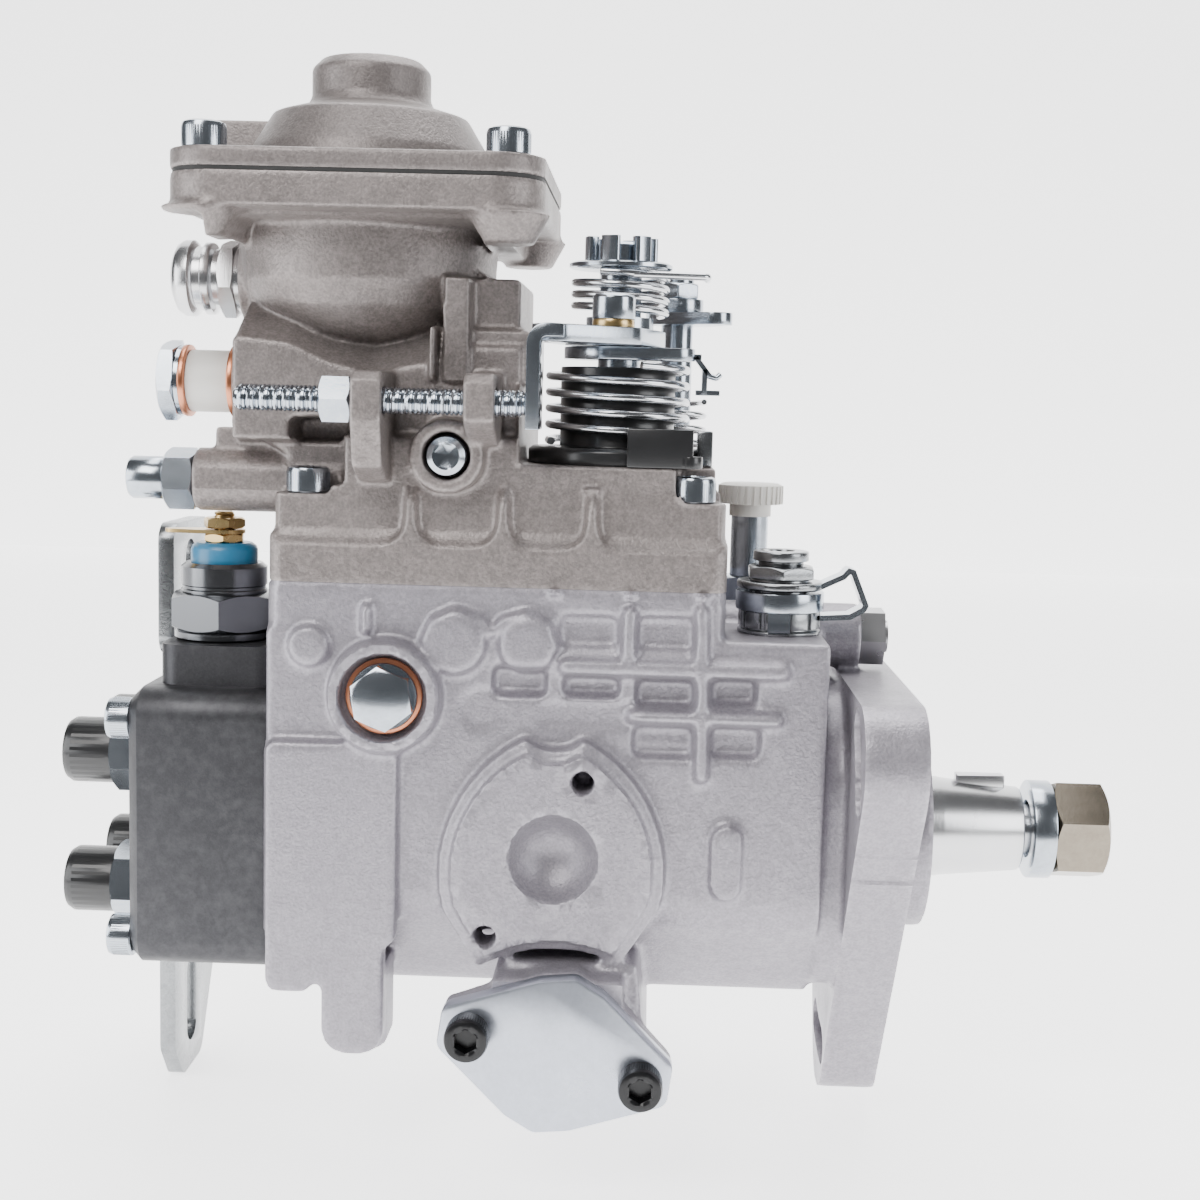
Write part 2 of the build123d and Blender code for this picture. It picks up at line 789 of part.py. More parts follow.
with BuildPart() as solenoid_terminal:
    with Locations((solenoid_x, solenoid_y, can_top)):
        Cylinder(terminal_r, insulator_long + terminal_long, align=standing)
    extrude(hex_bar(Plane.XY.offset(insulator_top), solenoid_x, solenoid_y, terminal_hex, 10), amount=2.2)
    extrude(
        hex_bar(Plane.XY.offset(insulator_top + 3.4), solenoid_x, solenoid_y, terminal_hex, 25),
        amount=2.6,
    )
    with BuildSketch(Plane.XY.offset(insulator_top + 2.2)):
        with Locations((solenoid_x, solenoid_y)):
            Circle(5.0)
        with Locations((solenoid_x - tag_reach / 2, solenoid_y - 1.5)):
            Rectangle(tag_reach, 5.0)
    extrude(amount=1.2)
solenoid_terminal.part.label = "solenoid_terminal"
export_step(solenoid_terminal.part, "parts/solenoid_terminal.step")

# ------------------------------------------------------------ rear bracket
bracket_middle_y = (bracket_near_y + bracket_arm_y) / 2 + 2
with BuildPart() as rear_bracket:
    with BuildSketch(across(head_face_x - bracket_thick)):
        with BuildLine():
            Polyline(
                (bracket_near_y, bracket_reach_high),
                (bracket_near_y, head_high + 3),
                (bracket_arm_y, head_high - 4),
                (bracket_arm_y, head_low + 2),
                (bracket_near_y, head_low - 6),
                (bracket_near_y, bracket_reach_low + 10),
                (bracket_near_y + 8, bracket_reach_low),
                (bracket_arm_y - 2, bracket_reach_low),
                (bracket_far_y, head_low - 12),
                (bracket_far_y, head_high + 8),
                (bracket_arm_y + 4, bracket_reach_high),
                close=True,
            )
        make_face()
    extrude(amount=bracket_thick)
    bracket_corners = rear_bracket.edges().filter_by(Axis.X)
    fillet(bracket_corners, 5.0)
    with BuildSketch(across(head_face_x - bracket_thick)):
        with Locations(
            (bracket_middle_y, bracket_reach_high - 17),
            (bracket_middle_y, bracket_reach_low + 19),
        ):
            SlotOverall(bracket_slot_long, 2 * bracket_slot_r, rotation=90)
        for y, z in head_screw_places:
            if y > 0:
                with Locations((y, z)):
                    Circle(m6_r)
    extrude(amount=bracket_thick, mode=Mode.SUBTRACT)
rear_bracket.part.label = "rear_bracket"
export_step(rear_bracket.part, "parts/rear_bracket.step")

# ------------------------------------------------------------ governor cover
cover_mid_x = (chamber_x0 - housing_long) / 2
cover_long = housing_long + chamber_x0
cover_screw_places = [
    (x, y)
    for x in (chamber_x0 - cover_screw_inset, -housing_long + cover_screw_inset)
    for y in (-body_half + cover_screw_inset, body_half - cover_screw_inset)
]
bowl_flange_x = bowl_x + bowl_flange_shift
bowl_screw_places = [
    (bowl_flange_x + dx * bowl_screw_span, bowl_y + dy * bowl_screw_span)
    for dx in (-1, 1)
    for dy in (-1, 1)
]
bowl_flange_low = bowl_split_z - bowl_flange
overflow_face_x = tower_x1 - 2.0

with BuildPart() as governor_cover:
    # Base on the housing, then the inset body with its boss at each screw
    with BuildSketch(Plane.XY.offset(chamber_top)):
        with Locations((cover_mid_x, 0)):
            RectangleRounded(cover_long, 2 * body_half, 4.0)
    extrude(amount=cover_base)
    with BuildSketch(Plane.XY.offset(cover_base_top)):
        with Locations((cover_mid_x, 0)):
            RectangleRounded(cover_long - 2 * cover_inset, 2 * (body_half - cover_inset), 4.0)
    extrude(amount=cover_top - cover_base_top, taper=3)
    with BuildSketch(Plane.XY.offset(cover_base_top)):
        for x, y in cover_screw_places:
            with Locations((x, y)):
                Circle(cover_boss_r)
    extrude(amount=cover_boss_top - cover_base_top)
    # Raised deck of the levers
    with BuildSketch(Plane.XY.offset(cover_top - 2)):
        with Locations(((throttle_deck_x + chamber_x0 - 11) / 2, 0)):
            RectangleRounded(chamber_x0 - 11 - throttle_deck_x, 2 * body_half - 12, 6.0)
    extrude(amount=throttle_deck_z - cover_top + 2, taper=8)
    # Tower under the boost bowl, overhanging the base on the left
    with BuildSketch(side(-tower_near)):
        with BuildLine():
            Polyline(
                (tower_x0, cover_top - 6),
                (tower_x0, tower_top + 8),
                (tower_x0 - 6, tower_top + 19),
                (tower_x0 - 16, tower_top + 24),
                (tower_step_x, tower_top + 20),
                (tower_step_x, cover_top - 6),
                close=True,
            )
        make_face()
    extrude(amount=12 - 2 * tower_near)
    with BuildSketch(side(-tower_set_back)):
        with BuildLine():
            Polyline(
                (tower_step_x + 1, tower_top + 20),
                (tower_x1 + 18, tower_top + 18),
                (tower_x1, tower_top + 2),
                (tower_x1, tower_overhang_z),
                (-housing_long + 2, tower_overhang_z - 6),
                (-housing_long + 2, cover_top - 6),
                (tower_step_x + 1, cover_top - 6),
                close=True,
            )
        make_face()
    extrude(amount=-tower_set_back - tower_near + 12)
    # Bowl and its square flange
    with BuildSketch(Plane.XZ.offset(-bowl_y)):
        with BuildLine():
            bowl_foot = (bowl_x + 9, bowl_low_z - 8)
            bowl_edge = (bowl_x + bowl_r, bowl_flange_low + 1)
            Line((bowl_x, bowl_low_z - 8), bowl_foot)
            ThreePointArc(bowl_foot, (bowl_x + 25.5, bowl_low_z + 15), bowl_edge)
            Line(bowl_edge, (bowl_x, bowl_flange_low + 1))
            Line((bowl_x, bowl_flange_low + 1), (bowl_x, bowl_low_z - 8))
        make_face()
    revolve(axis=Axis((bowl_x, bowl_y, 0), (0, 0, 1)))
    with BuildSketch(Plane.XY.offset(bowl_flange_low)):
        with Locations((bowl_flange_x, bowl_y)):
            RectangleRounded(2 * bowl_flange_half, 2 * bowl_flange_half, bowl_flange_round)
    extrude(amount=bowl_flange)
    with BuildSketch(Plane.XY.offset(bowl_flange_low - 5)):
        with Locations((bowl_flange_x, bowl_y)):
            RectangleRounded(2 * bowl_flange_half - 17, 2 * bowl_flange_half - 17, bowl_flange_round)
    extrude(amount=5)
    # Ribs down the tower's near face
    with BuildSketch(side(-tower_near)):
        for rib_back, rib_top in ((20.0, 126.0), (8.0, 128.0), (26.5, 122.0)):
            rib_x = tower_x0 - rib_back
            with BuildLine():
                Polyline(
                    (rib_x - 2.55, cover_top - 4.5),
                    (rib_x + 2.55, cover_top - 4.5),
                    (rib_x + 1.6, rib_top),
                    (rib_x - 1.6, rib_top),
                    close=True,
                )
            make_face()
    extrude(amount=3.0)
    # Bosses on the left: return union, overflow and full-load screw
    with Locations(across(union_end_x + 17)):
        with Locations((union_y, union_z, 0)):
            Cylinder(10.5, bowl_x - union_end_x - 17, align=standing)
    with Locations(across(overflow_face_x)):
        with Locations((overflow_y, overflow_z, 0)):
            Cylinder(9.5, 18, align=standing)
    with Locations(across(full_load_face_x)):
        with Locations((full_load_y, full_load_z, 0)):
            Cylinder(full_load_boss_r, 36, align=standing)
    with BuildSketch(Plane.XY.offset(full_load_z + 4)):
        with Locations((full_load_face_x + 12, full_load_y)):
            Rectangle(15, 5)
    extrude(amount=8.5)
    # Ears of the idle screw
    for ear_x, ear_low in ((idle_ear_near_x, 97.6), (idle_ear_far_x, 88.8)):
        with BuildSketch(Plane.YZ.offset(ear_x - idle_ear_wide / 2)):
            with BuildLine():
                Polyline(
                    (-tower_near + 2, ear_low - 6),
                    (idle_y - 3, ear_low),
                    (idle_y - 6, idle_z - 4),
                    (idle_y - 6, idle_ear_top - 2),
                    (idle_y - 4, idle_ear_top),
                    (-tower_near + 2, idle_ear_top),
                    close=True,
                )
            make_face()
        extrude(amount=idle_ear_wide)
    # Side plug boss
    with BuildSketch(side(-tower_near)):
        with Locations((side_plug_x, side_plug_z)):
            Circle(side_plug_boss_r)
    extrude(amount=5.5)
    # Ribs of the near and far walls
    for wall_y, way in ((-body_half + cover_inset, 1), (body_half - cover_inset, -1)):
        with BuildSketch(side(wall_y)):
            for rib_front in (32.5, 53.8, 73.8):
                with Locations((head_x + rib_front, cover_base_top + 6)):
                    Rectangle(4.2, 12)
        extrude(amount=way * 1.2)
    # Cavity, open to the governor chamber
    with BuildSketch(Plane.XY.offset(chamber_top)):
        with Locations(((cavity_x0 + cavity_x1) / 2, 0)):
            RectangleRounded(cavity_x0 - cavity_x1, 2 * cavity_half, 5.0)
    extrude(amount=cavity_roof - chamber_top, mode=Mode.SUBTRACT)
    for x, y in cover_screw_places:
        with Locations((x, y, chamber_top)):
            Cylinder(cover_boss_r, cavity_roof - chamber_top, align=standing)
            Cylinder(m6_r, cover_boss_top - chamber_top, align=standing, mode=Mode.SUBTRACT)
        with Locations((x, y, cover_boss_top)):
            Cylinder(m6_head_r + head_room, cover_pocket_tall, align=standing, mode=Mode.SUBTRACT)
    # Inside of the bowl, down to the bore of the boost pin
    with BuildSketch(Plane.XZ.offset(-bowl_y)):
        with BuildLine():
            Polyline(
                (bowl_x, bowl_low_z + 6),
                (bowl_x + 8, bowl_low_z + 6),
                (bowl_x + 20, bowl_low_z + 18),
                (bowl_x + bowl_r - bowl_wall, bowl_flange_low - 4),
                (bowl_x + bowl_r - bowl_wall, bowl_split_z),
                (bowl_x, bowl_split_z),
                close=True,
            )
        make_face()
    revolve(axis=Axis((bowl_x, bowl_y, 0), (0, 0, 1)), mode=Mode.SUBTRACT)
    with Locations((bowl_x, bowl_y, cavity_roof)):
        Cylinder(boost_pin_r + run_gap, bowl_low_z + 8 - cavity_roof, align=standing, mode=Mode.SUBTRACT)
    for x, y in bowl_screw_places:
        with Locations((x, y, bowl_split_z)):
            Cylinder(m6_r, 14, align=hanging, mode=Mode.SUBTRACT)
    # Bores of the lever shafts
    with Locations((throttle_x, throttle_y, cavity_roof)):
        Cylinder(throttle_shaft_r + run_gap, 20, align=standing, mode=Mode.SUBTRACT)
    with Locations((stop_x, stop_y, cavity_roof)):
        Cylinder(stop_shaft_r + run_gap, 20, align=standing, mode=Mode.SUBTRACT)
    # Holes of the connections and screws
    with Locations(across(union_end_x + 17)):
        with Locations((union_y, union_z, 0)):
            Cylinder(6.0, 8, align=standing, mode=Mode.SUBTRACT)
    with Locations(across(overflow_face_x)):
        with Locations((overflow_y, overflow_z, 0)):
            Cylinder(5.0, 14, align=standing, mode=Mode.SUBTRACT)
    with Locations(across(full_load_face_x)):
        with Locations((full_load_y, full_load_z, 0)):
            Cylinder(m6_r, 30, align=standing, mode=Mode.SUBTRACT)
    with Locations(across(idle_x1)):
        with Locations((idle_y, idle_z, 0)):
            Cylinder(idle_r, idle_x0 - idle_x1, align=standing, mode=Mode.SUBTRACT)
    with Locations(side(-tower_near - 5.5)):
        with Locations((side_plug_x, side_plug_z, 0)):
            Cylinder(m6_r, 16, align=hanging, mode=Mode.SUBTRACT)
            Cylinder(side_plug_head_r + 0.7, 2.5, align=hanging, mode=Mode.SUBTRACT)
governor_cover.part.label = "governor_cover"
export_step(governor_cover.part, "parts/governor_cover.step")

with BuildPart() as cover_screws:
    seats = [(x, y, cover_boss_top, cover_boss_top - chamber_top) for x, y in cover_screw_places]
    seats += [(x, y, bowl_split_z + diaphragm_thick + dome_flange, 18) for x, y in bowl_screw_places]
    for x, y, seat_z, shank in seats:
        with Locations((x, y, seat_z)):
            Cylinder(m6_r, shank, align=hanging)
            Cylinder(m6_head_r, m6_head_h, align=standing)
        extrude(
            hex_bar(Plane.XY.offset(seat_z + m6_head_h), x, y, m6_socket_flat),
            amount=-m6_socket_depth,
            mode=Mode.SUBTRACT,
        )
cover_screws.part.label = "cover_screws"
export_step(cover_screws.part, "parts/cover_screws.step")

# ------------------------------------------------------------ boost compensator
dome_low_z = bowl_split_z + diaphragm_thick
with BuildPart() as aneroid_cover:
    with BuildSketch(Plane.XY.offset(dome_low_z)):
        with Locations((bowl_flange_x, bowl_y)):
            RectangleRounded(2 * bowl_flange_half, 2 * bowl_flange_half, bowl_flange_round)
    extrude(amount=dome_flange)
    with BuildSketch(Plane.XZ.offset(-bowl_y)):
        with BuildLine():
            Polyline(
                (bowl_x, dome_low_z),
                (bowl_x + dome_r + 1.5, dome_low_z),
                (bowl_x + dome_r + 1.5, dome_low_z + dome_flange),
                (bowl_x + dome_r, dome_low_z + 8.5),
                (bowl_x + dome_top_r, dome_top_z),
                (bowl_x + dome_boss_r + 1, dome_top_z + 2.5),
                (bowl_x + dome_boss_r, dome_top_z + 4.5),
                (bowl_x + dome_boss_r, dome_boss_top - 2.5),
                (bowl_x + dome_boss_r - 2.5, dome_boss_top),
                (bowl_x, dome_boss_top),
                close=True,
            )
        make_face()
    revolve(axis=Axis((bowl_x, bowl_y, 0), (0, 0, 1)))
    # Boost pipe lug at the back left
    with BuildSketch(Plane.XY.offset(dome_low_z + dome_flange - 1)):
        with Locations((bowl_x - 31, bowl_y + 9)):
            RectangleRounded(27, 18, 7)
    extrude(amount=13, taper=6)
    with BuildSketch(Plane.XZ.offset(-bowl_y)):
        with BuildLine():
            Polyline(
                (bowl_x, dome_low_z),
                (bowl_x + dome_r - 3, dome_low_z),
                (bowl_x + dome_r - 3, dome_low_z + 6),
                (bowl_x + dome_top_r - 4, dome_top_z - 4),
                (bowl_x, dome_top_z - 4),
                close=True,
            )
        make_face()
    revolve(axis=Axis((bowl_x, bowl_y, 0), (0, 0, 1)), mode=Mode.SUBTRACT)
    for x, y in bowl_screw_places:
        with Locations((x, y, dome_low_z)):
            Cylinder(m6_r, dome_flange, align=standing, mode=Mode.SUBTRACT)
        with Locations((x, y, dome_low_z + dome_flange)):
            Cylinder(m6_head_r + head_room, 20, align=standing, mode=Mode.SUBTRACT)
aneroid_cover.part.label = "aneroid_cover"
export_step(aneroid_cover.part, "parts/aneroid_cover.step")

with BuildPart() as aneroid_diaphragm:
    with BuildSketch(Plane.XY.offset(bowl_split_z)):
        with Locations((bowl_flange_x, bowl_y)):
            RectangleRounded(
                2 * bowl_flange_half - 1.0, 2 * bowl_flange_half - 1.0, bowl_flange_round - 0.5
            )
        with Locations((bowl_x, bowl_y)):
            Circle(boost_pin_r, mode=Mode.SUBTRACT)
        for x, y in bowl_screw_places:
            with Locations((x, y)):
                Circle(m6_r, mode=Mode.SUBTRACT)
    extrude(amount=diaphragm_thick)
aneroid_diaphragm.part.label = "aneroid_diaphragm"
export_step(aneroid_diaphragm.part, "parts/aneroid_diaphragm.step")

boost_plate_r = 18.0
boost_plate_low = bowl_split_z - 2.0
with BuildPart() as aneroid_pin:
    with Locations((bowl_x, bowl_y, boost_pin_low)):
        Cylinder(boost_pin_r, dome_low_z + 6 - boost_pin_low, align=standing)
    with Locations((bowl_x, bowl_y, boost_plate_low)):
        Cylinder(boost_plate_r, 2.0, align=standing)
    with Locations((bowl_x, bowl_y, dome_low_z)):
        Cylinder(boost_plate_r, 1.6, align=standing)
    chamfer(aneroid_pin.faces().sort_by(Axis.Z)[0].edges(), 2.5)
aneroid_pin.part.label = "aneroid_pin"
export_step(aneroid_pin.part, "parts/aneroid_pin.step")

aneroid_spring = coil(6.6, 1.4, bowl_low_z + 6, boost_plate_low, 6, bowl_x, bowl_y)
aneroid_spring.label = "aneroid_spring"
export_step(aneroid_spring, "parts/aneroid_spring.step")

# ------------------------------------------------------------ connections of the cover
with BuildPart() as return_union:
    with Locations(across(union_end_x + 17)):
        with Locations((union_y, union_z, 0)):
            Cylinder(6.0, 7.5, align=standing)
            Cylinder(8.0, 1.5, align=hanging)
    extrude(hex_bar(across(union_end_x + 15.5), union_y, union_z, 17.0, 15), amount=-4)
    with BuildSketch(Plane.XY.offset(union_z)):
        with BuildLine():
            Polyline(
                (union_end_x + 11.5, union_y),
                (union_end_x + 11.5, union_y - 7.2),
                (union_end_x + 10.0, union_y - 7.2),
                (union_end_x + 9.4, union_y - 8.6),
                (union_end_x + 7.4, union_y - 8.6),
                (union_end_x + 6.8, union_y - 7.6),
                (union_end_x + 5.0, union_y - 7.6),
                (union_end_x + 4.4, union_y - union_r),
                (union_end_x + 2.2, union_y - union_r),
                (union_end_x, union_y - 6.4),
                (union_end_x, union_y),
                close=True,
            )
        make_face()
    revolve(axis=Axis((0, union_y, union_z), (1, 0, 0)))
    with Locations(across(union_end_x)):
        with Locations((union_y, union_z, 0)):
            Cylinder(3.5, 24.5, align=standing, mode=Mode.SUBTRACT)
return_union.part.label = "return_union"
export_step(return_union.part, "parts/return_union.step")

washer_flat = 1.5
sleeve_face_x = overflow_face_x - washer_flat
overflow_head_x = sleeve_face_x - overflow_sleeve_long - washer_flat
with BuildPart() as transit_sleeve:
    with Locations(across(sleeve_face_x)):
        with Locations((overflow_y, overflow_z, 0)):
            Cylinder(overflow_sleeve_r, overflow_sleeve_long, align=hanging)
            Cylinder(5.0, overflow_sleeve_long, align=hanging, mode=Mode.SUBTRACT)
transit_sleeve.part.label = "transit_sleeve"
export_step(transit_sleeve.part, "parts/transit_sleeve.step")

with BuildPart() as overflow_bolt:
    with Locations(across(overflow_head_x)):
        with Locations((overflow_y, overflow_z, 0)):
            Cylinder(5.0, overflow_face_x - overflow_head_x + 12, align=standing)
            Cylinder(8.2, 1.0, align=hanging)
    extrude(hex_bar(across(overflow_head_x - 1), overflow_y, overflow_z, overflow_hex, 15), amount=-4)
    with Locations(across(overflow_head_x - 5)):
        with Locations((overflow_y, overflow_z, 0)):
            Cylinder(5.5, 2.0, align=standing, mode=Mode.SUBTRACT)
overflow_bolt.part.label = "overflow_bolt"
export_step(overflow_bolt.part, "parts/overflow_bolt.step")

pivot_seat_y = near_y - 3.5 + 2.0
with BuildPart() as copper_washers:
    for washer_face_x in (overflow_face_x, overflow_head_x + washer_flat):
        with Locations(across(washer_face_x)):
            with Locations((overflow_y, overflow_z, 0)):
                Cylinder(8.5, washer_flat, align=hanging)
                Cylinder(5.0, washer_flat, align=hanging, mode=Mode.SUBTRACT)
    for seat_y, edge in ((pivot_seat_y, standing), (-near_y, hanging)):
        with Locations(side(seat_y)):
            with Locations((pivot_x, pivot_z, 0)):
                Cylinder(pivot_washer_r, washer_flat, align=edge)
                Cylinder(pivot_pin_r, washer_flat, align=edge, mode=Mode.SUBTRACT)
copper_washers.part.label = "copper_washers"
export_step(copper_washers.part, "parts/copper_washers.step")

with BuildPart() as pivot_bolts:
    pivot_pin_end = 27.0
    for seat_y, way in ((pivot_seat_y - washer_flat, 1), (-near_y + washer_flat, -1)):
        with Locations((pivot_x, (seat_y - way * pivot_pin_end) / 2, pivot_z)):
            Cylinder(pivot_pin_r, abs(seat_y + way * pivot_pin_end), rotation=(90, 0, 0))
        extrude(hex_bar(side(seat_y), pivot_x, pivot_z, pivot_hex, 8), amount=way * 5.0)
pivot_bolts.part.label = "pivot_bolts"
export_step(pivot_bolts.part, "parts/pivot_bolts.step")

with BuildPart() as idle_screw:
    with Locations(across(idle_x1)):
        with Locations((idle_y, idle_z, 0)):
            Cylinder(idle_r, idle_x0 - idle_x1, align=standing)
    with Locations((idle_x1 + 0.8, idle_y, idle_z)):
        Box(1.6, 2 * idle_r, 1.0, mode=Mode.SUBTRACT)
idle_screw.part.label = "idle_screw"
export_step(idle_screw.part, "parts/idle_screw.step")

with BuildPart() as full_load_screw:
    with Locations(across(full_load_end_x)):
        with Locations((full_load_y, full_load_z, 0)):
            Cylinder(m6_r, full_load_face_x + 28 - full_load_end_x, align=standing)
            Cylinder(5.1, 9.0, align=standing)
    chamfer(full_load_screw.faces().sort_by(Axis.X)[0].edges(), 1.0)
full_load_screw.part.label = "full_load_screw"
export_step(full_load_screw.part, "parts/full_load_screw.step")

with BuildPart() as lock_nuts:
    extrude(hex_bar(across(full_load_face_x), full_load_y, full_load_z, 13.0, 12), amount=-7.4)
    with Locations(across(full_load_face_x)):
        with Locations((full_load_y, full_load_z, 0)):
            Cylinder(m6_r, 7.4, align=hanging, mode=Mode.SUBTRACT)
    idle_nut_x = idle_ear_far_x - idle_ear_wide / 2
    extrude(hex_bar(across(idle_nut_x), idle_y, idle_z, 10.0, 12), amount=-7.0)
    with Locations(across(idle_nut_x)):
        with Locations((idle_y, idle_z, 0)):
            Cylinder(idle_r, 7.0, align=hanging, mode=Mode.SUBTRACT)
lock_nuts.part.label = "lock_nuts"
export_step(lock_nuts.part, "parts/lock_nuts.step")

with BuildPart() as side_plug:
    with Locations(side(-tower_near - 5.5 + 2.5)):
        with Locations((side_plug_x, side_plug_z, 0)):
            Cylinder(m6_r, 13.5, align=hanging)
            Cylinder(side_plug_head_r, 3.0, align=standing)
    extrude(
        hex_bar(side(-tower_near - 6), side_plug_x, side_plug_z, 4.0, 20),
        amount=-2.0,
        mode=Mode.SUBTRACT,
    )
side_plug.part.label = "side_plug"
export_step(side_plug.part, "parts/side_plug.step")

# ------------------------------------------------------------ timing device
timing_screw_places = [
    (timing_x - timing_screw_dx, timing_centre_z + timing_screw_dz),
    (timing_x + timing_screw_dx, timing_centre_z - timing_screw_dz),
]
with BuildPart() as timing_covers:
    for face_y, way in ((-timing_face, 1), (timing_face, -1)):
        with BuildSketch(side(face_y)):
            with Locations((timing_x, timing_centre_z)):
                Polygon(*timing_outline, align=None)
            for x, z in timing_screw_places:
                with Locations((x, z)):
                    Circle(m6_r, mode=Mode.SUBTRACT)
        extrude(amount=way * timing_plate)
timing_covers.part.label = "timing_covers"
export_step(timing_covers.part, "parts/timing_covers.step")

with BuildPart() as timing_screws:
    for seat_y, way, edge, back in (
        (-timing_face - timing_plate, 1, standing, hanging),
        (timing_face + timing_plate, -1, hanging, standing),
    ):
        for x, z in timing_screw_places:
            with Locations(side(seat_y)):
                with Locations((x, z, 0)):
                    Cylinder(m6_head_r, m6_head_h, align=edge)
                    Cylinder(m6_r, timing_plate + 10, align=back)
            extrude(
                hex_bar(side(seat_y - way * m6_head_h), x, z, m6_socket_flat),
                amount=-way * m6_socket_depth,
                mode=Mode.SUBTRACT,
            )
timing_screws.part.label = "timing_screws"
export_step(timing_screws.part, "parts/timing_screws.step")

with BuildPart() as timing_piston:
    with Locations((timing_x, 0, timing_z)):
        Cylinder(timing_bore_r, timing_piston_long, rotation=(90, 0, 0))
        Cylinder(timing_pin_hole_r, 2 * timing_bore_r - 5, align=(Align.CENTER, Align.CENTER, Align.MIN),
                 mode=Mode.SUBTRACT)
        Cylinder(timing_pin_hole_r, 5, align=hanging, mode=Mode.SUBTRACT)
    with Locations((timing_x, timing_piston_long / 2 - 5, timing_z)):
        Cylinder(timing_bore_r - 3, 10, rotation=(90, 0, 0), mode=Mode.SUBTRACT)
timing_piston.part.label = "timing_piston"
export_step(timing_piston.part, "parts/timing_piston.step")

spring_room = timing_face - timing_piston_long / 2 + 10
timing_spring = coil(5.5, 1.6, 0, spring_room, 5)
timing_spring = Pos(timing_x, timing_face, timing_z) * Rot(90, 0, 0) * timing_spring
timing_spring.label = "timing_spring"
export_step(timing_spring, "parts/timing_spring.step")

# ------------------------------------------------------------ drive shaft
with BuildPart() as drive_shaft:
    with BuildSketch(Plane.XY):
        with BuildLine():
            Polyline(
                (shaft_tail_x, 0),
                (shaft_tail_x, claw_out),
                (shaft_tail_x + 3.5, claw_out),
                (shaft_tail_x + 3.5, journal_r),
                (journal_end_x, journal_r),
                (taper_end_x, journal_r - taper_drop),
                (taper_end_x, thread_r),
                (shaft_end_x - 1.5, thread_r),
                (shaft_end_x, thread_r - 1.5),
                (shaft_end_x, 0),
                close=True,
            )
        make_face()
    revolve(axis=Axis.X)
    claw_y = (claw_in + claw_out) / 2
    with Locations((shaft_tail_x - 5, claw_y, 0), (shaft_tail_x - 5, -claw_y, 0)):
        Box(10, claw_out - claw_in, claw_wide)
    key_x = journal_end_x + taper_long / 2
    with Locations((key_x, 0, journal_r - taper_drop - 1.5)):
        Box(key_long, key_wide, 10, align=(Align.CENTER, Align.CENTER, Align.MIN), mode=Mode.SUBTRACT)
drive_shaft.part.label = "drive_shaft"
export_step(drive_shaft.part, "parts/drive_shaft.step")

with BuildPart() as shaft_key:
    with BuildSketch(side(key_wide / 2)):
        with Locations((key_x, journal_r - taper_drop - 1.5)):
            Rectangle(key_long, 2.5 + key_proud, align=(Align.CENTER, Align.MIN))
    extrude(amount=key_wide)
shaft_key.part.label = "shaft_key"
export_step(shaft_key.part, "parts/shaft_key.step")

with BuildPart() as lock_washer:
    with Locations(across(washer_x)):
        Cylinder(washer_r, washer_thick, align=standing)
        Cylinder(thread_r + 0.2, washer_thick, align=standing, mode=Mode.SUBTRACT)
    with Locations((washer_x + washer_thick / 2, washer_r - 2.5, 0)):
        Box(washer_thick, 12, 0.8, rotation=(25, 0, 0), mode=Mode.SUBTRACT)
lock_washer.part.label = "lock_washer"
export_step(lock_washer.part, "parts/lock_washer.step")

with BuildPart() as shaft_nut:
    extrude(hex_bar(across(nut_x), 0, 0, nut_hex, 10), amount=nut_long)
    with BuildSketch(Plane.XY):
        with BuildLine():
            corner_r = nut_hex / 2 / math.cos(math.pi / 6)
            Polyline(
                (nut_x, 0),
                (nut_x, nut_hex / 2),
                (nut_x + 1.2, corner_r),
                (nut_x + nut_long - 1.2, corner_r),
                (nut_x + nut_long, nut_hex / 2),
                (nut_x + nut_long, 0),
                close=True,
            )
        make_face()
    revolve(axis=Axis.X, mode=Mode.INTERSECT)
    with Locations(across(nut_x)):
        Cylinder(thread_r, nut_long, align=standing, mode=Mode.SUBTRACT)
shaft_nut.part.label = "shaft_nut"
export_step(shaft_nut.part, "parts/shaft_nut.step")

with BuildPart() as shaft_seal:
    with Locations(across(pilot_long)):
        Cylinder(seal_r, seal_long, align=hanging)
        Cylinder(journal_r + run_gap, seal_long, align=hanging, mode=Mode.SUBTRACT)
        Cylinder(seal_r - 2.5, 1.5, align=hanging, mode=Mode.SUBTRACT)
shaft_seal.part.label = "shaft_seal"
export_step(shaft_seal.part, "parts/shaft_seal.step")

# ------------------------------------------------------------ vane pump
with BuildPart() as pump_ring:
    with Locations(across(main_bore_x)):
        Cylinder(main_bore_r, pump_ring_long, align=hanging)
        with Locations((pump_ring_offset, 0, 0)):
            Cylinder(pump_ring_bore, pump_ring_long, align=hanging, mode=Mode.SUBTRACT)
    with Locations(across(main_bore_x - pump_ring_long)):
        Cylinder(main_bore_r, 2.5, align=hanging)
        Cylinder(journal_r + 2.0, 2.5, align=hanging, mode=Mode.SUBTRACT)
pump_ring.part.label = "pump_ring"
export_step(pump_ring.part, "parts/pump_ring.step")

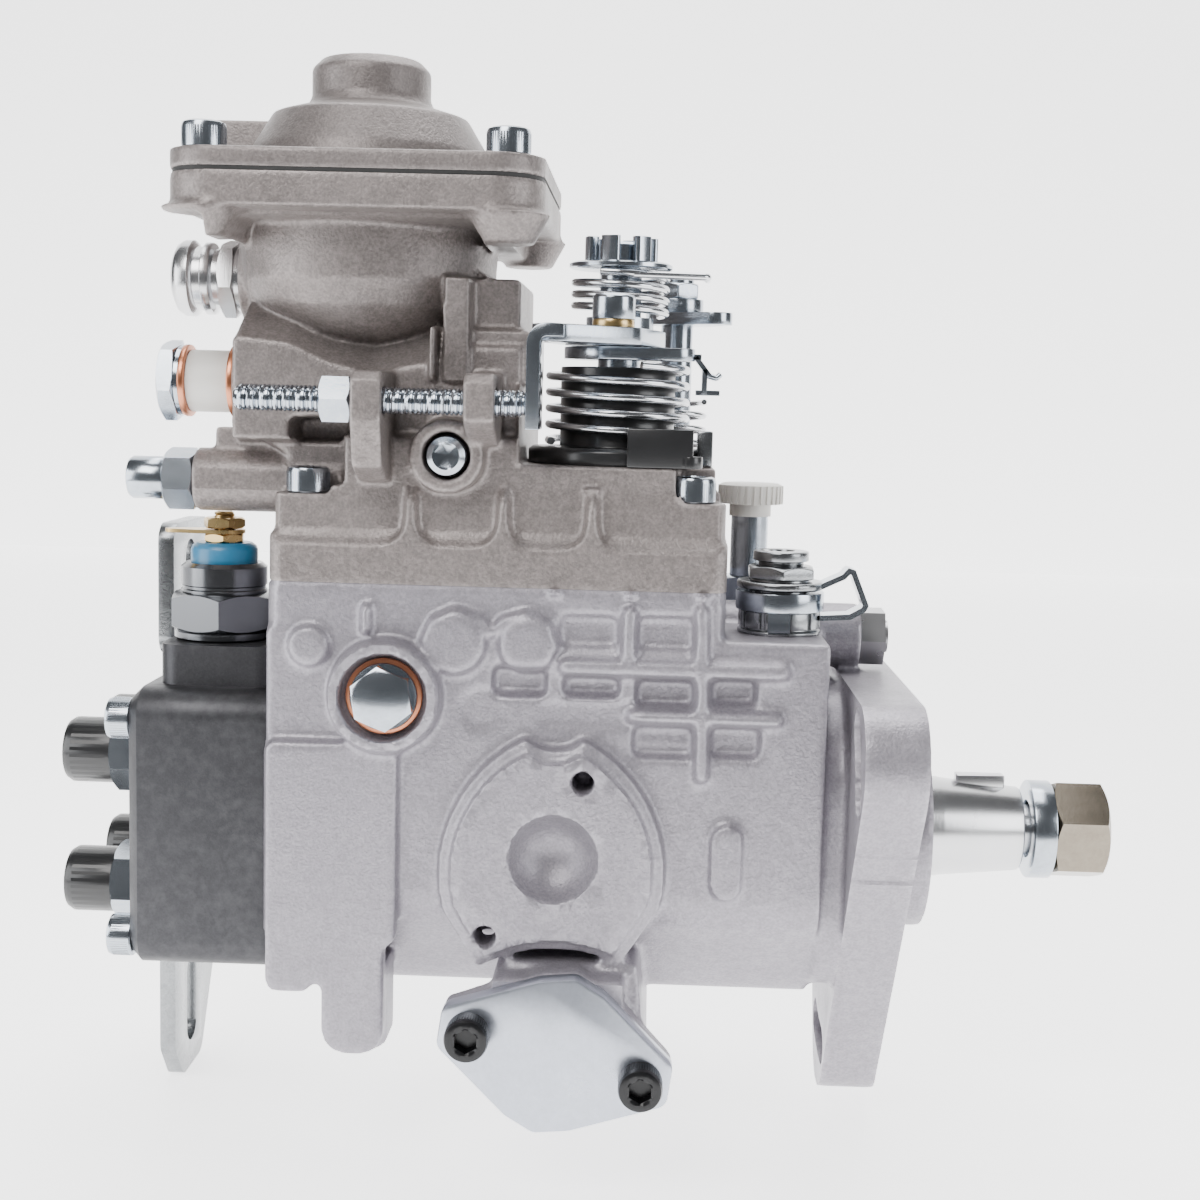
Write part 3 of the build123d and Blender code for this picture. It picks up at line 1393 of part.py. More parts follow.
with BuildPart() as pump_rotor:
    rotor_long = pump_ring_long - 2 * free_gap
    with Locations(across(main_bore_x - free_gap)):
        Cylinder(rotor_r, rotor_long, align=hanging)
        Cylinder(journal_r, rotor_long, align=hanging, mode=Mode.SUBTRACT)
    for turn in range(vane_count):
        with Locations(turned(main_bore_x - free_gap, 360 / vane_count * turn)):
            with Locations((rotor_r - vane_deep / 2 + 0.5, 0, 0)):
                Box(vane_deep + 1, vane_wide, rotor_long, align=hanging, mode=Mode.SUBTRACT)
    for turn in range(vane_count):
        with Locations(turned(main_bore_x - free_gap, 360 / vane_count * turn)):
            with Locations((rotor_r - vane_deep / 2 + 0.6, 0, 0)):
                Box(vane_deep - 0.8, vane_wide - 0.1, rotor_long, align=hanging)
pump_rotor.part.label = "pump_rotor"
export_step(pump_rotor.part, "parts/pump_rotor.step")

# ------------------------------------------------------------ governor drive
with BuildPart() as drive_gear:
    with BuildSketch(across(drive_gear_x)):
        Polygon(*gear_outline(drive_teeth, gear_module, 90), align=None)
        Circle(journal_r, mode=Mode.SUBTRACT)
    extrude(amount=gear_wide)
drive_gear.part.label = "drive_gear"
export_step(drive_gear.part, "parts/drive_gear.step")

cage_r = 16.2
cage_end_x = drive_gear_x - 25.0
weight_wide = 11.0
with BuildPart() as governor_cage:
    with BuildSketch(across(drive_gear_x)):
        with Locations((0, governor_z)):
            Polygon(*gear_outline(governor_teeth, gear_module, 90 + 180 / governor_teeth), align=None)
    extrude(amount=gear_wide)
    with Locations(across(drive_gear_x)):
        with Locations((0, governor_z, 0)):
            Cylinder(cage_r, 25, align=hanging)
            Cylinder(cage_r - 1.8, 22, align=(Align.CENTER, Align.CENTER, Align.MAX), mode=Mode.SUBTRACT)
            Cylinder(cage_r, 3, align=hanging)
            Cylinder(governor_shaft_r + 3, 8, align=hanging)
    with Locations(across(cage_end_x)):
        with Locations((0, governor_z, 0)):
            Cylinder(cage_r - 1.8, 22, align=standing, mode=Mode.SUBTRACT)
            Cylinder(governor_shaft_r + 3, 22, align=standing)
            Cylinder(governor_shaft_r + 3, 17, align=standing, mode=Mode.SUBTRACT)
            Cylinder(governor_shaft_r + run_gap, 25 + gear_wide, align=standing, mode=Mode.SUBTRACT)
    for turn in range(4):
        with Locations(turned(cage_end_x, 90 * turn, governor_z)):
            with Locations((cage_r - 2, 0, 0)):
                Box(8, weight_wide + 1, 20, align=standing, mode=Mode.SUBTRACT)
governor_cage.part.label = "governor_cage"
export_step(governor_cage.part, "parts/governor_cage.step")

with BuildPart() as governor_weights:
    for turn in range(4):
        with Locations(turned(cage_end_x, 90 * turn, governor_z)):
            with Locations((cage_r - 4, 0, 3)):
                Box(8, weight_wide, 15.5, align=standing)
            with Locations((cage_r - 5.6, 0, 0.5)):
                Box(7, weight_wide - 4, 3, align=standing)
governor_weights.part.label = "governor_weights"
export_step(governor_weights.part, "parts/governor_weights.step")

lever_face_x = pivot_x + 1.5
with BuildPart() as governor_shaft:
    shaft_left = lever_face_x + 11.8
    boss_end_x = -9.0
    with Locations(across(shaft_left)):
        with Locations((0, governor_z, 0)):
            Cylinder(governor_shaft_r, 3.0 - shaft_left - 5, align=standing)
    extrude(hex_bar(across(boss_end_x), 0, governor_z, 13.0, 4), amount=6.0)
governor_shaft.part.label = "governor_shaft"
export_step(governor_shaft.part, "parts/governor_shaft.step")

with BuildPart() as governor_sleeve:
    sleeve_tip_x = lever_face_x + 0.3
    sleeve_flange_x = cage_end_x - 1.0
    with Locations(across(sleeve_tip_x)):
        with Locations((0, governor_z, 0)):
            Cylinder(3.0, 6, align=standing)
            with Locations((0, 0, 3)):
                Cylinder(6.5, sleeve_flange_x - sleeve_tip_x - 3, align=standing)
    with Locations(across(sleeve_flange_x)):
        with Locations((0, governor_z, 0)):
            Cylinder(9.0, 2.5, align=hanging)
            bore_long = sleeve_flange_x - shaft_left + 3.5
            Cylinder(governor_shaft_r + run_gap, bore_long, align=hanging, mode=Mode.SUBTRACT)
governor_sleeve.part.label = "governor_sleeve"
export_step(governor_sleeve.part, "parts/governor_sleeve.step")

with BuildPart() as governor_lever:
    arm_y = 29.5
    with BuildSketch(across(pivot_x - 1.5)):
        with Locations((0, pivot_z + 12)):
            Rectangle(2 * arm_y, 36)
        with BuildLine():
            Polyline(
                (-12, pivot_z - 5),
                (12, pivot_z - 5),
                (3.5, sleeve_r + 1),
                (-3.5, sleeve_r + 1),
                close=True,
            )
        make_face()
    extrude(amount=3.0)
    for arm in (-1, 1):
        with BuildSketch(side(arm * arm_y + 1.5)):
            with Locations((pivot_x, pivot_z)):
                Circle(8.0)
            with Locations((pivot_x, pivot_z + 8)):
                Rectangle(10, 14)
        extrude(amount=3.0)
    with Locations((pivot_x, 0, sleeve_r + 3)):
        Cylinder(2.0, sleeve_groove_deep + 2.6, align=hanging)
    with Locations((pivot_x, 0, pivot_z)):
        Cylinder(pivot_pin_r + run_gap, 2 * arm_y + 10, rotation=(90, 0, 0), mode=Mode.SUBTRACT)
governor_lever.part.label = "governor_lever"
export_step(governor_lever.part, "parts/governor_lever.step")

with BuildPart() as control_sleeve:
    with Locations(across(pivot_x - sleeve_long / 2)):
        Cylinder(sleeve_r, sleeve_long, align=standing)
        with Locations((0, 0, (sleeve_long - sleeve_groove) / 2)):
            Cylinder(sleeve_r, sleeve_groove, align=standing, mode=Mode.SUBTRACT)
            Cylinder(sleeve_r - sleeve_groove_deep, sleeve_groove, align=standing)
        Cylinder(plunger_r + run_gap, sleeve_long, align=standing, mode=Mode.SUBTRACT)
control_sleeve.part.label = "control_sleeve"
export_step(control_sleeve.part, "parts/control_sleeve.step")

# ------------------------------------------------------------ coupling, rollers and cam
cross_x = shaft_tail_x - 10.0
with BuildPart() as cross_coupling:
    with BuildSketch(across(cross_x)):
        Circle(cross_r)
        for turn in range(4):
            with Locations(Location((0, 0, 0), (0, 0, 90 * turn))):
                with Locations((cross_r, 0)):
                    Rectangle(2 * (cross_r - claw_in + 0.3), claw_wide + 0.3, mode=Mode.SUBTRACT)
    extrude(amount=cross_thick)
cross_coupling.part.label = "cross_coupling"
export_step(cross_coupling.part, "parts/cross_coupling.step")

roller_places = [45 + 90 * k for k in range(roller_count)]
roller_circle = (roller_ring_bore + main_bore_r) / 2
roller_x = roller_ring_x - roller_ring_long - roller_proud + roller_r
with BuildPart() as roller_ring:
    with Locations(across(roller_ring_x)):
        Cylinder(main_bore_r - run_gap, roller_ring_long, align=hanging)
        Cylinder(roller_ring_bore, roller_ring_long, align=hanging, mode=Mode.SUBTRACT)
    for turn in roller_places:
        with Locations(turned(roller_x, turn)):
            with Locations((roller_circle, 0, 0)):
                Cylinder(roller_r, roller_long, rotation=(0, 90, 0), mode=Mode.SUBTRACT)
                Box(roller_long, 2 * roller_r, 10, align=(Align.CENTER, Align.CENTER, Align.MAX),
                    mode=Mode.SUBTRACT)
    for turn in roller_places:
        with Locations(turned(roller_x, turn)):
            with Locations((roller_circle, 0, 0)):
                Cylinder(roller_r, roller_long, rotation=(0, 90, 0))
    with Locations((timing_x, 0, -roller_ring_bore - 6)):
        Cylinder(timing_pin_r, -timing_z - roller_ring_bore - 6 + 3, align=hanging)
roller_ring.part.label = "roller_ring"
export_step(roller_ring.part, "parts/roller_ring.step")

with BuildPart() as cam_plate:
    with Locations(across(cam_x)):
        Cylinder(cam_r, cam_thick, align=hanging)
    for turn in range(4):
        plane = turned(cam_x, 90 * turn)
        lobe_face = Plane(origin=plane.origin + plane.x_dir * 20, x_dir=plane.y_dir, z_dir=plane.x_dir)
        with BuildSketch(lobe_face):
            with BuildLine():
                Polyline((-11, 0), (11, 0), (4, cam_lift), (-4, cam_lift), close=True)
            make_face()
        extrude(amount=8.0)
    for way in (-1, 1):
        with Locations((cam_x, 0, way * (claw_in + claw_out) / 2)):
            Box(-cam_x + cross_x + cross_thick, claw_wide, claw_out - claw_in,
                align=(Align.MIN, Align.CENTER, Align.CENTER))
cam_plate.part.label = "cam_plate"
export_step(cam_plate.part, "parts/cam_plate.step")

plunger_end_x = head_face_x + plug_deep + 3
with BuildPart() as distributor_plunger:
    with Locations(across(cam_x - cam_thick)):
        Cylinder(plunger_r, cam_x - cam_thick - plunger_end_x, align=hanging)
        Cylinder(plunger_foot_r, 3.0, align=hanging)
distributor_plunger.part.label = "distributor_plunger"
export_step(distributor_plunger.part, "parts/distributor_plunger.step")

plunger_spring = coil(4.0, 1.4, 0, cam_x - cam_thick - spigot_x, 6)
with BuildPart() as plunger_springs:
    for way in (-1, 1):
        add(Pos(spigot_x, way * 19.0, -8.0) * Rot(0, 90, 0) * plunger_spring)
plunger_springs.part.label = "plunger_springs"
export_step(plunger_springs.part, "parts/plunger_springs.step")

# ------------------------------------------------------------ throttle lever
with BuildPart() as spring_sleeve:
    with Locations((throttle_x, throttle_y, throttle_deck_z)):
        Cylinder(dust_base_r, dust_base_thick, align=standing)
        Cylinder(dust_sleeve_r, dust_sleeve_top - throttle_deck_z, align=standing)
        Cylinder(throttle_shaft_r + free_gap, dust_sleeve_top - throttle_deck_z, align=standing,
                 mode=Mode.SUBTRACT)
    with Locations((throttle_x + 9, throttle_y - torsion_r - torsion_wire - 2.3, throttle_deck_z)):
        Box(13, 4, 8.0, align=standing)
spring_sleeve.part.label = "spring_sleeve"
export_step(spring_sleeve.part, "parts/spring_sleeve.step")

lever_hub_top = lever_z + 2 * lever_thick + 0.9
with BuildPart() as throttle_shaft:
    with Locations((throttle_x, throttle_y, cavity_roof - 8)):
        Cylinder(throttle_shaft_r, throttle_top_z - 1.5 - cavity_roof + 8, align=standing)
        Cylinder(8.0, 4.0, align=standing)
        with Locations((5.0, 0, 0)):
            Cylinder(1.5, 3.0, align=hanging)
    with Locations((throttle_x, throttle_y, lever_hub_top)):
        Cylinder(8.0, 3.0, align=standing)
    extrude(hex_bar(Plane.XY.offset(throttle_top_z - 4.6), throttle_x, throttle_y, 17.0, 6), amount=4.6)
throttle_shaft.part.label = "throttle_shaft"
export_step(throttle_shaft.part, "parts/throttle_shaft.step")

tab_x = idle_x0 + run_gap
with BuildPart() as throttle_lever:
    with BuildSketch(Plane.XY.offset(lever_z)):
        with Locations((throttle_x, throttle_y)):
            Circle(lever_hub_r)
        with Locations((throttle_x + 13, throttle_y - 6)):
            Circle(5.0)
        make_hull()
        with Locations((throttle_x, throttle_y)):
            Circle(throttle_shaft_r, mode=Mode.SUBTRACT)
    extrude(amount=lever_thick)
    with BuildSketch(Plane.XY.offset(lever_z + lever_thick)):
        with Locations((throttle_x, throttle_y)):
            Circle(lever_hub_r - 2)
        with Locations((throttle_x - 1, throttle_y - 18)):
            Circle(7.0)
        with Locations((tab_x + 6, idle_y + 3)):
            Circle(5.5)
        make_hull()
        with Locations((throttle_x, throttle_y)):
            Circle(throttle_shaft_r, mode=Mode.SUBTRACT)
    extrude(amount=lever_thick + 0.9)
    with Locations((tab_x, idle_y, lever_hub_top)):
        Box(3.0, 12, lever_hub_top - lever_tab_low, align=(Align.MIN, Align.CENTER, Align.MAX))
    with Locations((tab_x, idle_y, lever_hub_top)):
        Box(7.0, 12, lever_thick, align=(Align.MIN, Align.CENTER, Align.MAX))
    with Locations((throttle_x - 1, throttle_y - 18, lever_hub_top)):
        Cylinder(4.6, 1.8, align=standing)
        Cylinder(m6_head_r - 0.1, 7.6, align=standing)
    extrude(
        hex_bar(Plane.XY.offset(lever_hub_top + 7.6), throttle_x - 1, throttle_y - 18, m6_socket_flat),
        amount=-m6_socket_depth,
        mode=Mode.SUBTRACT,
    )
throttle_lever.part.label = "throttle_lever"
export_step(throttle_lever.part, "parts/throttle_lever.step")

throttle_spring = coil(
    torsion_r,
    torsion_wire,
    throttle_deck_z + dust_base_thick + 0.2,
    lever_z - 0.4,
    torsion_turns,
    throttle_x,
    throttle_y,
)
throttle_spring.label = "throttle_spring"
export_step(throttle_spring, "parts/throttle_spring.step")

upper_spring = coil(
    upper_spring_r,
    upper_spring_wire,
    lever_hub_top + 3.0,
    throttle_top_z - 4.8,
    upper_spring_turns,
    throttle_x,
    throttle_y,
)
upper_spring.label = "upper_spring"
export_step(upper_spring, "parts/upper_spring.step")

# ------------------------------------------------------------ stop lever
with BuildPart() as stop_lever:
    with Locations((stop_x, stop_y, cavity_roof - 8)):
        Cylinder(stop_shaft_r, stop_top_z - cavity_roof + 8, align=standing)
        Cylinder(6.0, 3.5, align=standing)
    with BuildSketch(Plane.XY.offset(stop_lever_z)):
        with Locations((stop_x, stop_y)):
            Circle(8.0)
        with Locations((stop_x + 9, stop_y - 10)):
            Circle(4.5)
        make_hull()
    extrude(amount=3.0)
    with Locations((stop_x, stop_y, stop_lever_z + 3)):
        Cylinder(6.5, 3.5, align=standing)
    extrude(hex_bar(Plane.XY.offset(stop_lever_z + 6.5), stop_x, stop_y, 10.0, 5), amount=4.0)
stop_lever.part.label = "stop_lever"
export_step(stop_lever.part, "parts/stop_lever.step")

stop_spring = coil(
    stop_spring_r, 1.3, throttle_deck_z + 0.3, throttle_deck_z + 16, stop_spring_turns, stop_x, stop_y
)
stop_spring.label = "stop_spring"
export_step(stop_spring, "parts/stop_spring.step")

# ------------------------------------------------------------ fittings on the front deck
with BuildPart() as regulating_valve:
    with Locations((valve_x, valve_y, deck_z)):
        Cylinder(deck_seat_r, deck_seat_deep - 0.5, align=hanging)
        Cylinder(valve_r, 5.5, align=standing)
        for turn in range(12):
            with Locations(Location((0, 0, 0), (0, 0, 30 * turn))):
                with Locations((valve_r + 0.6, 0, 0)):
                    Cylinder(1.6, 5.5, align=standing, mode=Mode.SUBTRACT)
    with Locations((valve_x, valve_y, deck_z + 5.5)):
        Cylinder(valve_r - 2.7, valve_top_z - deck_z - 5.5, align=standing)
    with Locations((valve_x, valve_y, deck_z + 10.2)):
        Cylinder(valve_r, 2.6, align=standing)
    extrude(hex_bar(Plane.XY.offset(deck_z + 12.8), valve_x, valve_y, 15.0, 12), amount=4.2)
    with Locations((valve_x, valve_y, valve_top_z)):
        Cylinder(3.0, 4.0, align=hanging, mode=Mode.SUBTRACT)
regulating_valve.part.label = "regulating_valve"
export_step(regulating_valve.part, "parts/regulating_valve.step")

with BuildPart() as valve_clip:
    with BuildSketch(Plane.XY.offset(deck_z + 5.5)):
        with Locations((valve_x, valve_y)):
            Circle(valve_r + 0.8)
            Circle(valve_r - 2.7, mode=Mode.SUBTRACT)
        with Locations((valve_x + valve_r + 1.5, valve_y)):
            Rectangle(5.0, 8.0)
    extrude(amount=4.5)
    with BuildSketch(side(valve_y + 3.5)):
        with BuildLine() as bail:
            bail_x = valve_x + valve_r + 3.4
            Polyline(
                (bail_x, deck_z + 8),
                (bail_x + 3.0, deck_z + 16.2),
                (bail_x + 7.4, deck_z + 6.0),
                (bail_x - 1.6, deck_z + 2.0),
            )
            fillet(bail.vertices().sort_by(Axis.X)[-2:], 1.8)
        trace(line_width=1.3)
    extrude(amount=7.0)
valve_clip.part.label = "valve_clip"
export_step(valve_clip.part, "parts/valve_clip.step")

with BuildPart() as inlet_union:
    with Locations((inlet_x, inlet_y, deck_z)):
        Cylinder(deck_seat_r, deck_seat_deep - 0.5, align=hanging)
        Cylinder(4.8, inlet_cap_top - 2 - deck_z, align=standing)
        Cylinder(inlet_r, 1.5, align=standing)
    extrude(hex_bar(Plane.XY.offset(deck_z + 1.5), inlet_x, inlet_y, 14.0, 10), amount=8.0)
    with Locations((inlet_x, inlet_y, inlet_cap_top - 2)):
        Cylinder(2.5, 20, align=hanging, mode=Mode.SUBTRACT)
inlet_union.part.label = "inlet_union"
export_step(inlet_union.part, "parts/inlet_union.step")

with BuildPart() as inlet_cap:
    with Locations((inlet_x, inlet_y, inlet_cap_top)):
        Cylinder(inlet_cap_r, inlet_cap_long, align=hanging)
    chamfer(inlet_cap.faces().sort_by(Axis.Z)[-1].edges(), 0.8)
    with Locations((inlet_x, inlet_y, inlet_cap_top - 2)):
        Cylinder(4.8, inlet_cap_long, align=hanging, mode=Mode.SUBTRACT)
inlet_cap.part.label = "inlet_cap"
export_step(inlet_cap.part, "parts/inlet_cap.step")
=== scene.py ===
"""Looks of a distributor diesel injection pump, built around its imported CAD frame.

Every piece is made in millimetres in the row's frame and is turned into metres when its mesh is
written, so each piece sits at the origin with its place in its vertices.
"""

import json
import logging
import math
from dataclasses import dataclass
from enum import Enum
from typing import Callable, NamedTuple, Optional, Sequence, Union

import bmesh
import bpy
import numpy as np
from mathutils import Matrix, Vector
from mathutils.geometry import convex_hull_2d


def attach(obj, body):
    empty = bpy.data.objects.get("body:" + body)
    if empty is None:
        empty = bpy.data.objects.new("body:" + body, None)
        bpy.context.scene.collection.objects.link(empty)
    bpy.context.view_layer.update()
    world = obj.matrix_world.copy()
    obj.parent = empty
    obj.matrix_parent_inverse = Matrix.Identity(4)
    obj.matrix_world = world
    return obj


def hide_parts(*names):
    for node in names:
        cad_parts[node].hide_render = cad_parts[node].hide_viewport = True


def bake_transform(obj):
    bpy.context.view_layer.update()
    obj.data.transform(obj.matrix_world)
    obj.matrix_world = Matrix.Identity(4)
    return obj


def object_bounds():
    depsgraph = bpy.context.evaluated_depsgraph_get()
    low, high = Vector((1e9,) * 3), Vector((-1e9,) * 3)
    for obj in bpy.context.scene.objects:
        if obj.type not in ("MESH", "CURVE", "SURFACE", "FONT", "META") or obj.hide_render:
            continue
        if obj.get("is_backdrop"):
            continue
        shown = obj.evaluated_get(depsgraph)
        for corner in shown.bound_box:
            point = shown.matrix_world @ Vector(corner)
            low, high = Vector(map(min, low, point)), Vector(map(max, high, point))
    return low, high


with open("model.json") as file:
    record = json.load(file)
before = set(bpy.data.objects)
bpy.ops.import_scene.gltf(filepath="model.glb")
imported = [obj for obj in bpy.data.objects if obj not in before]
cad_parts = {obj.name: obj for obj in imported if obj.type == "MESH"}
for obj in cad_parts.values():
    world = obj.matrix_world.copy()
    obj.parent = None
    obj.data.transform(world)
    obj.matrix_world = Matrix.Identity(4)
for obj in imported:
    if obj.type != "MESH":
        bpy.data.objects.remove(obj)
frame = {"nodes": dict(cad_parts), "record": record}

LOG = logging.getLogger("pump")
MM = 0.001
Point = tuple
Tree = bpy.types.NodeTree
Node = bpy.types.Node
Socket = bpy.types.NodeSocket
Value = Union[float, tuple, Socket]


@dataclass(frozen=True)
class Layout:
    """Centre lines and faces that several groups share, in millimetres."""

    wall: float = 41.0
    pivot: tuple = (-121.3, 36.6)
    head_face: float = -182.0
    cover_face: float = 82.0
    boost: tuple = (-131.8, -5.0)
    bowl_screws: tuple = ((-163.6, -39.0), (-163.6, 29.0), (-95.6, -39.0), (-95.6, 29.0))
    timing: tuple = (-79.9, -42.0)
    timing_face: float = 52.0
    deck: float = 51.0
    union_face: float = -162.1


LAYOUT = Layout()


# ---------------------------------------------------------------- shared shader effects
class Effect(Enum):
    """Shader node groups that several finishes share."""

    GRAIN = "Grain"
    MOTTLE = "Mottle"
    WEAR = "Edge wear"
    TURNING = "Turning marks"


class EffectLibrary:
    """Builds each shared shader group once, on first use. Noise scales are cells per metre."""

    fine_grain = 1500.0
    coarse_grain = 520.0
    patches = 70.0
    chips = 420.0
    lathe_rings = 3200.0

    def __init__(self) -> None:
        """Starts with no group built."""
        self.groups: dict = {}

    def get(self, effect: Effect) -> Tree:
        """Gives a shared group.

        Args:
            effect: which group.

        Returns:
            The shader node group.
        """
        if effect not in self.groups:
            builders = {
                Effect.GRAIN: self._grain,
                Effect.MOTTLE: self._mottle,
                Effect.WEAR: self._wear,
                Effect.TURNING: self._turning,
            }
            self.groups[effect] = builders[effect]()
        return self.groups[effect]

    @staticmethod
    def _group(effect: Effect, inputs: dict, output: str, *more: str) -> tuple:
        """Starts a group with float sockets.

        Args:
            effect: which group.
            inputs: socket name to default value.
            output: name of its first float output.
            more: names of further outputs.

        Returns:
            The tree, its input node and its output node.
        """
        tree = bpy.data.node_groups.new(effect.value, "ShaderNodeTree")
        for label, value in inputs.items():
            socket = tree.interface.new_socket(label, in_out="INPUT", socket_type="NodeSocketFloat")
            socket.default_value = value
        for label in (output, *more):
            tree.interface.new_socket(label, in_out="OUTPUT", socket_type="NodeSocketFloat")
        return tree, tree.nodes.new("NodeGroupInput"), tree.nodes.new("NodeGroupOutput")

    @staticmethod
    def _noise(tree: Tree, scale: float, detail: float, rough: float = 0.5) -> Node:
        """Adds a noise texture in object space.

        Args:
            tree: the group that gets it.
            scale: cells per metre.
            detail: octaves.
            rough: share of the fine octaves.

        Returns:
            The noise node.
        """
        place = tree.nodes.new("ShaderNodeTexCoord")
        noise = tree.nodes.new("ShaderNodeTexNoise")
        noise.inputs["Scale"].default_value = scale
        noise.inputs["Detail"].default_value = detail
        noise.inputs["Roughness"].default_value = rough
        tree.links.new(place.outputs["Object"], noise.inputs["Vector"])
        return noise

    @staticmethod
    def math(tree: Tree, operation: str, first: Value, second: Value) -> Socket:
        """Adds a math node from sockets or numbers.

        Args:
            tree: the tree that gets it.
            operation: Blender's name of the operation.
            first: socket or number.
            second: socket or number.

        Returns:
            The result's socket.
        """
        node = tree.nodes.new("ShaderNodeMath")
        node.operation = operation
        for index, value in enumerate((first, second)):
            if isinstance(value, (int, float)):
                node.inputs[index].default_value = value
            else:
                tree.links.new(value, node.inputs[index])
        return node.outputs[0]

    @staticmethod
    def _spread(tree: Tree, value: Socket, low: float, high: float) -> Socket:
        """Stretches a value's range to run from 0 to 1.

        Args:
            tree: the group that gets it.
            value: the value's socket.
            low: the value that gives 0.
            high: the value that gives 1.

        Returns:
            The result's socket.
        """
        node = tree.nodes.new("ShaderNodeMapRange")
        node.inputs["From Min"].default_value = low
        node.inputs["From Max"].default_value = high
        tree.links.new(value, node.inputs["Value"])
        return node.outputs[0]

    def _grain(self) -> Tree:
        """Builds fine cast or blasted grain.

        Returns:
            The group, which gives a height and a shade from the same grains.
        """
        tree, start, end = self._group(Effect.GRAIN, {"Size": 1.0}, "Height", "Shade")
        fine = self._noise(tree, self.fine_grain, 2.0)
        coarse = self._noise(tree, self.coarse_grain, 3.0, 0.6)
        for noise, base in ((fine, self.fine_grain), (coarse, self.coarse_grain)):
            scale = self.math(tree, "DIVIDE", base, start.outputs["Size"])
            tree.links.new(scale, noise.inputs["Scale"])
        coarse_share = self.math(tree, "MULTIPLY", coarse.outputs["Fac"], 0.8)
        total = self.math(tree, "ADD", fine.outputs["Fac"], coarse_share)
        tree.links.new(total, end.inputs["Height"])
        tree.links.new(self._spread(tree, total, 0.7, 1.15), end.inputs["Shade"])
        return tree

    def _mottle(self) -> Tree:
        """Builds broad soft patches, as on handled and washed metal.

        Returns:
            The group, which gives a shade.
        """
        tree, start, end = self._group(Effect.MOTTLE, {"Size": 1.0}, "Shade")
        noise = self._noise(tree, self.patches, 3.0, 0.6)
        scale = self.math(tree, "DIVIDE", self.patches, start.outputs["Size"])
        tree.links.new(scale, noise.inputs["Scale"])
        tree.links.new(self._spread(tree, noise.outputs["Fac"], 0.3, 0.7), end.inputs["Shade"])
        return tree

    def _wear(self) -> Tree:
        """Builds the share of bare or polished metal along outer edges.

        Returns:
            The group, which gives a mask.
        """
        tree, start, end = self._group(Effect.WEAR, {"Reach": 0.5}, "Mask")
        shape = tree.nodes.new("ShaderNodeNewGeometry")
        noise = self._noise(tree, self.chips, 3.0)
        broken = self.math(tree, "MULTIPLY", noise.outputs["Fac"], 0.09)
        edge = self.math(tree, "ADD", shape.outputs["Pointiness"], broken)
        mask = self._spread(tree, edge, 0.57, 0.64)
        tree.links.new(self.math(tree, "MULTIPLY", mask, start.outputs["Reach"]), end.inputs["Mask"])
        return tree

    def _turning(self) -> Tree:
        """Builds close rings left by a lathe, along the given share of X, Y and Z.

        Returns:
            The group, which gives a height.
        """
        shares = {"Along X": 1.0, "Along Y": 0.05, "Along Z": 0.05}
        tree, start, end = self._group(Effect.TURNING, shares, "Height")
        place = tree.nodes.new("ShaderNodeTexCoord")
        stretch = tree.nodes.new("ShaderNodeCombineXYZ")
        for axis in "XYZ":
            tree.links.new(start.outputs["Along " + axis], stretch.inputs[axis])
        scaled = tree.nodes.new("ShaderNodeVectorMath")
        scaled.operation = "MULTIPLY"
        tree.links.new(place.outputs["Object"], scaled.inputs[0])
        tree.links.new(stretch.outputs[0], scaled.inputs[1])
        noise = tree.nodes.new("ShaderNodeTexNoise")
        noise.inputs["Scale"].default_value = self.lathe_rings
        noise.inputs["Detail"].default_value = 1.0
        tree.links.new(scaled.outputs[0], noise.inputs["Vector"])
        tree.links.new(noise.outputs["Fac"], end.inputs["Height"])
        return tree


EFFECTS = EffectLibrary()


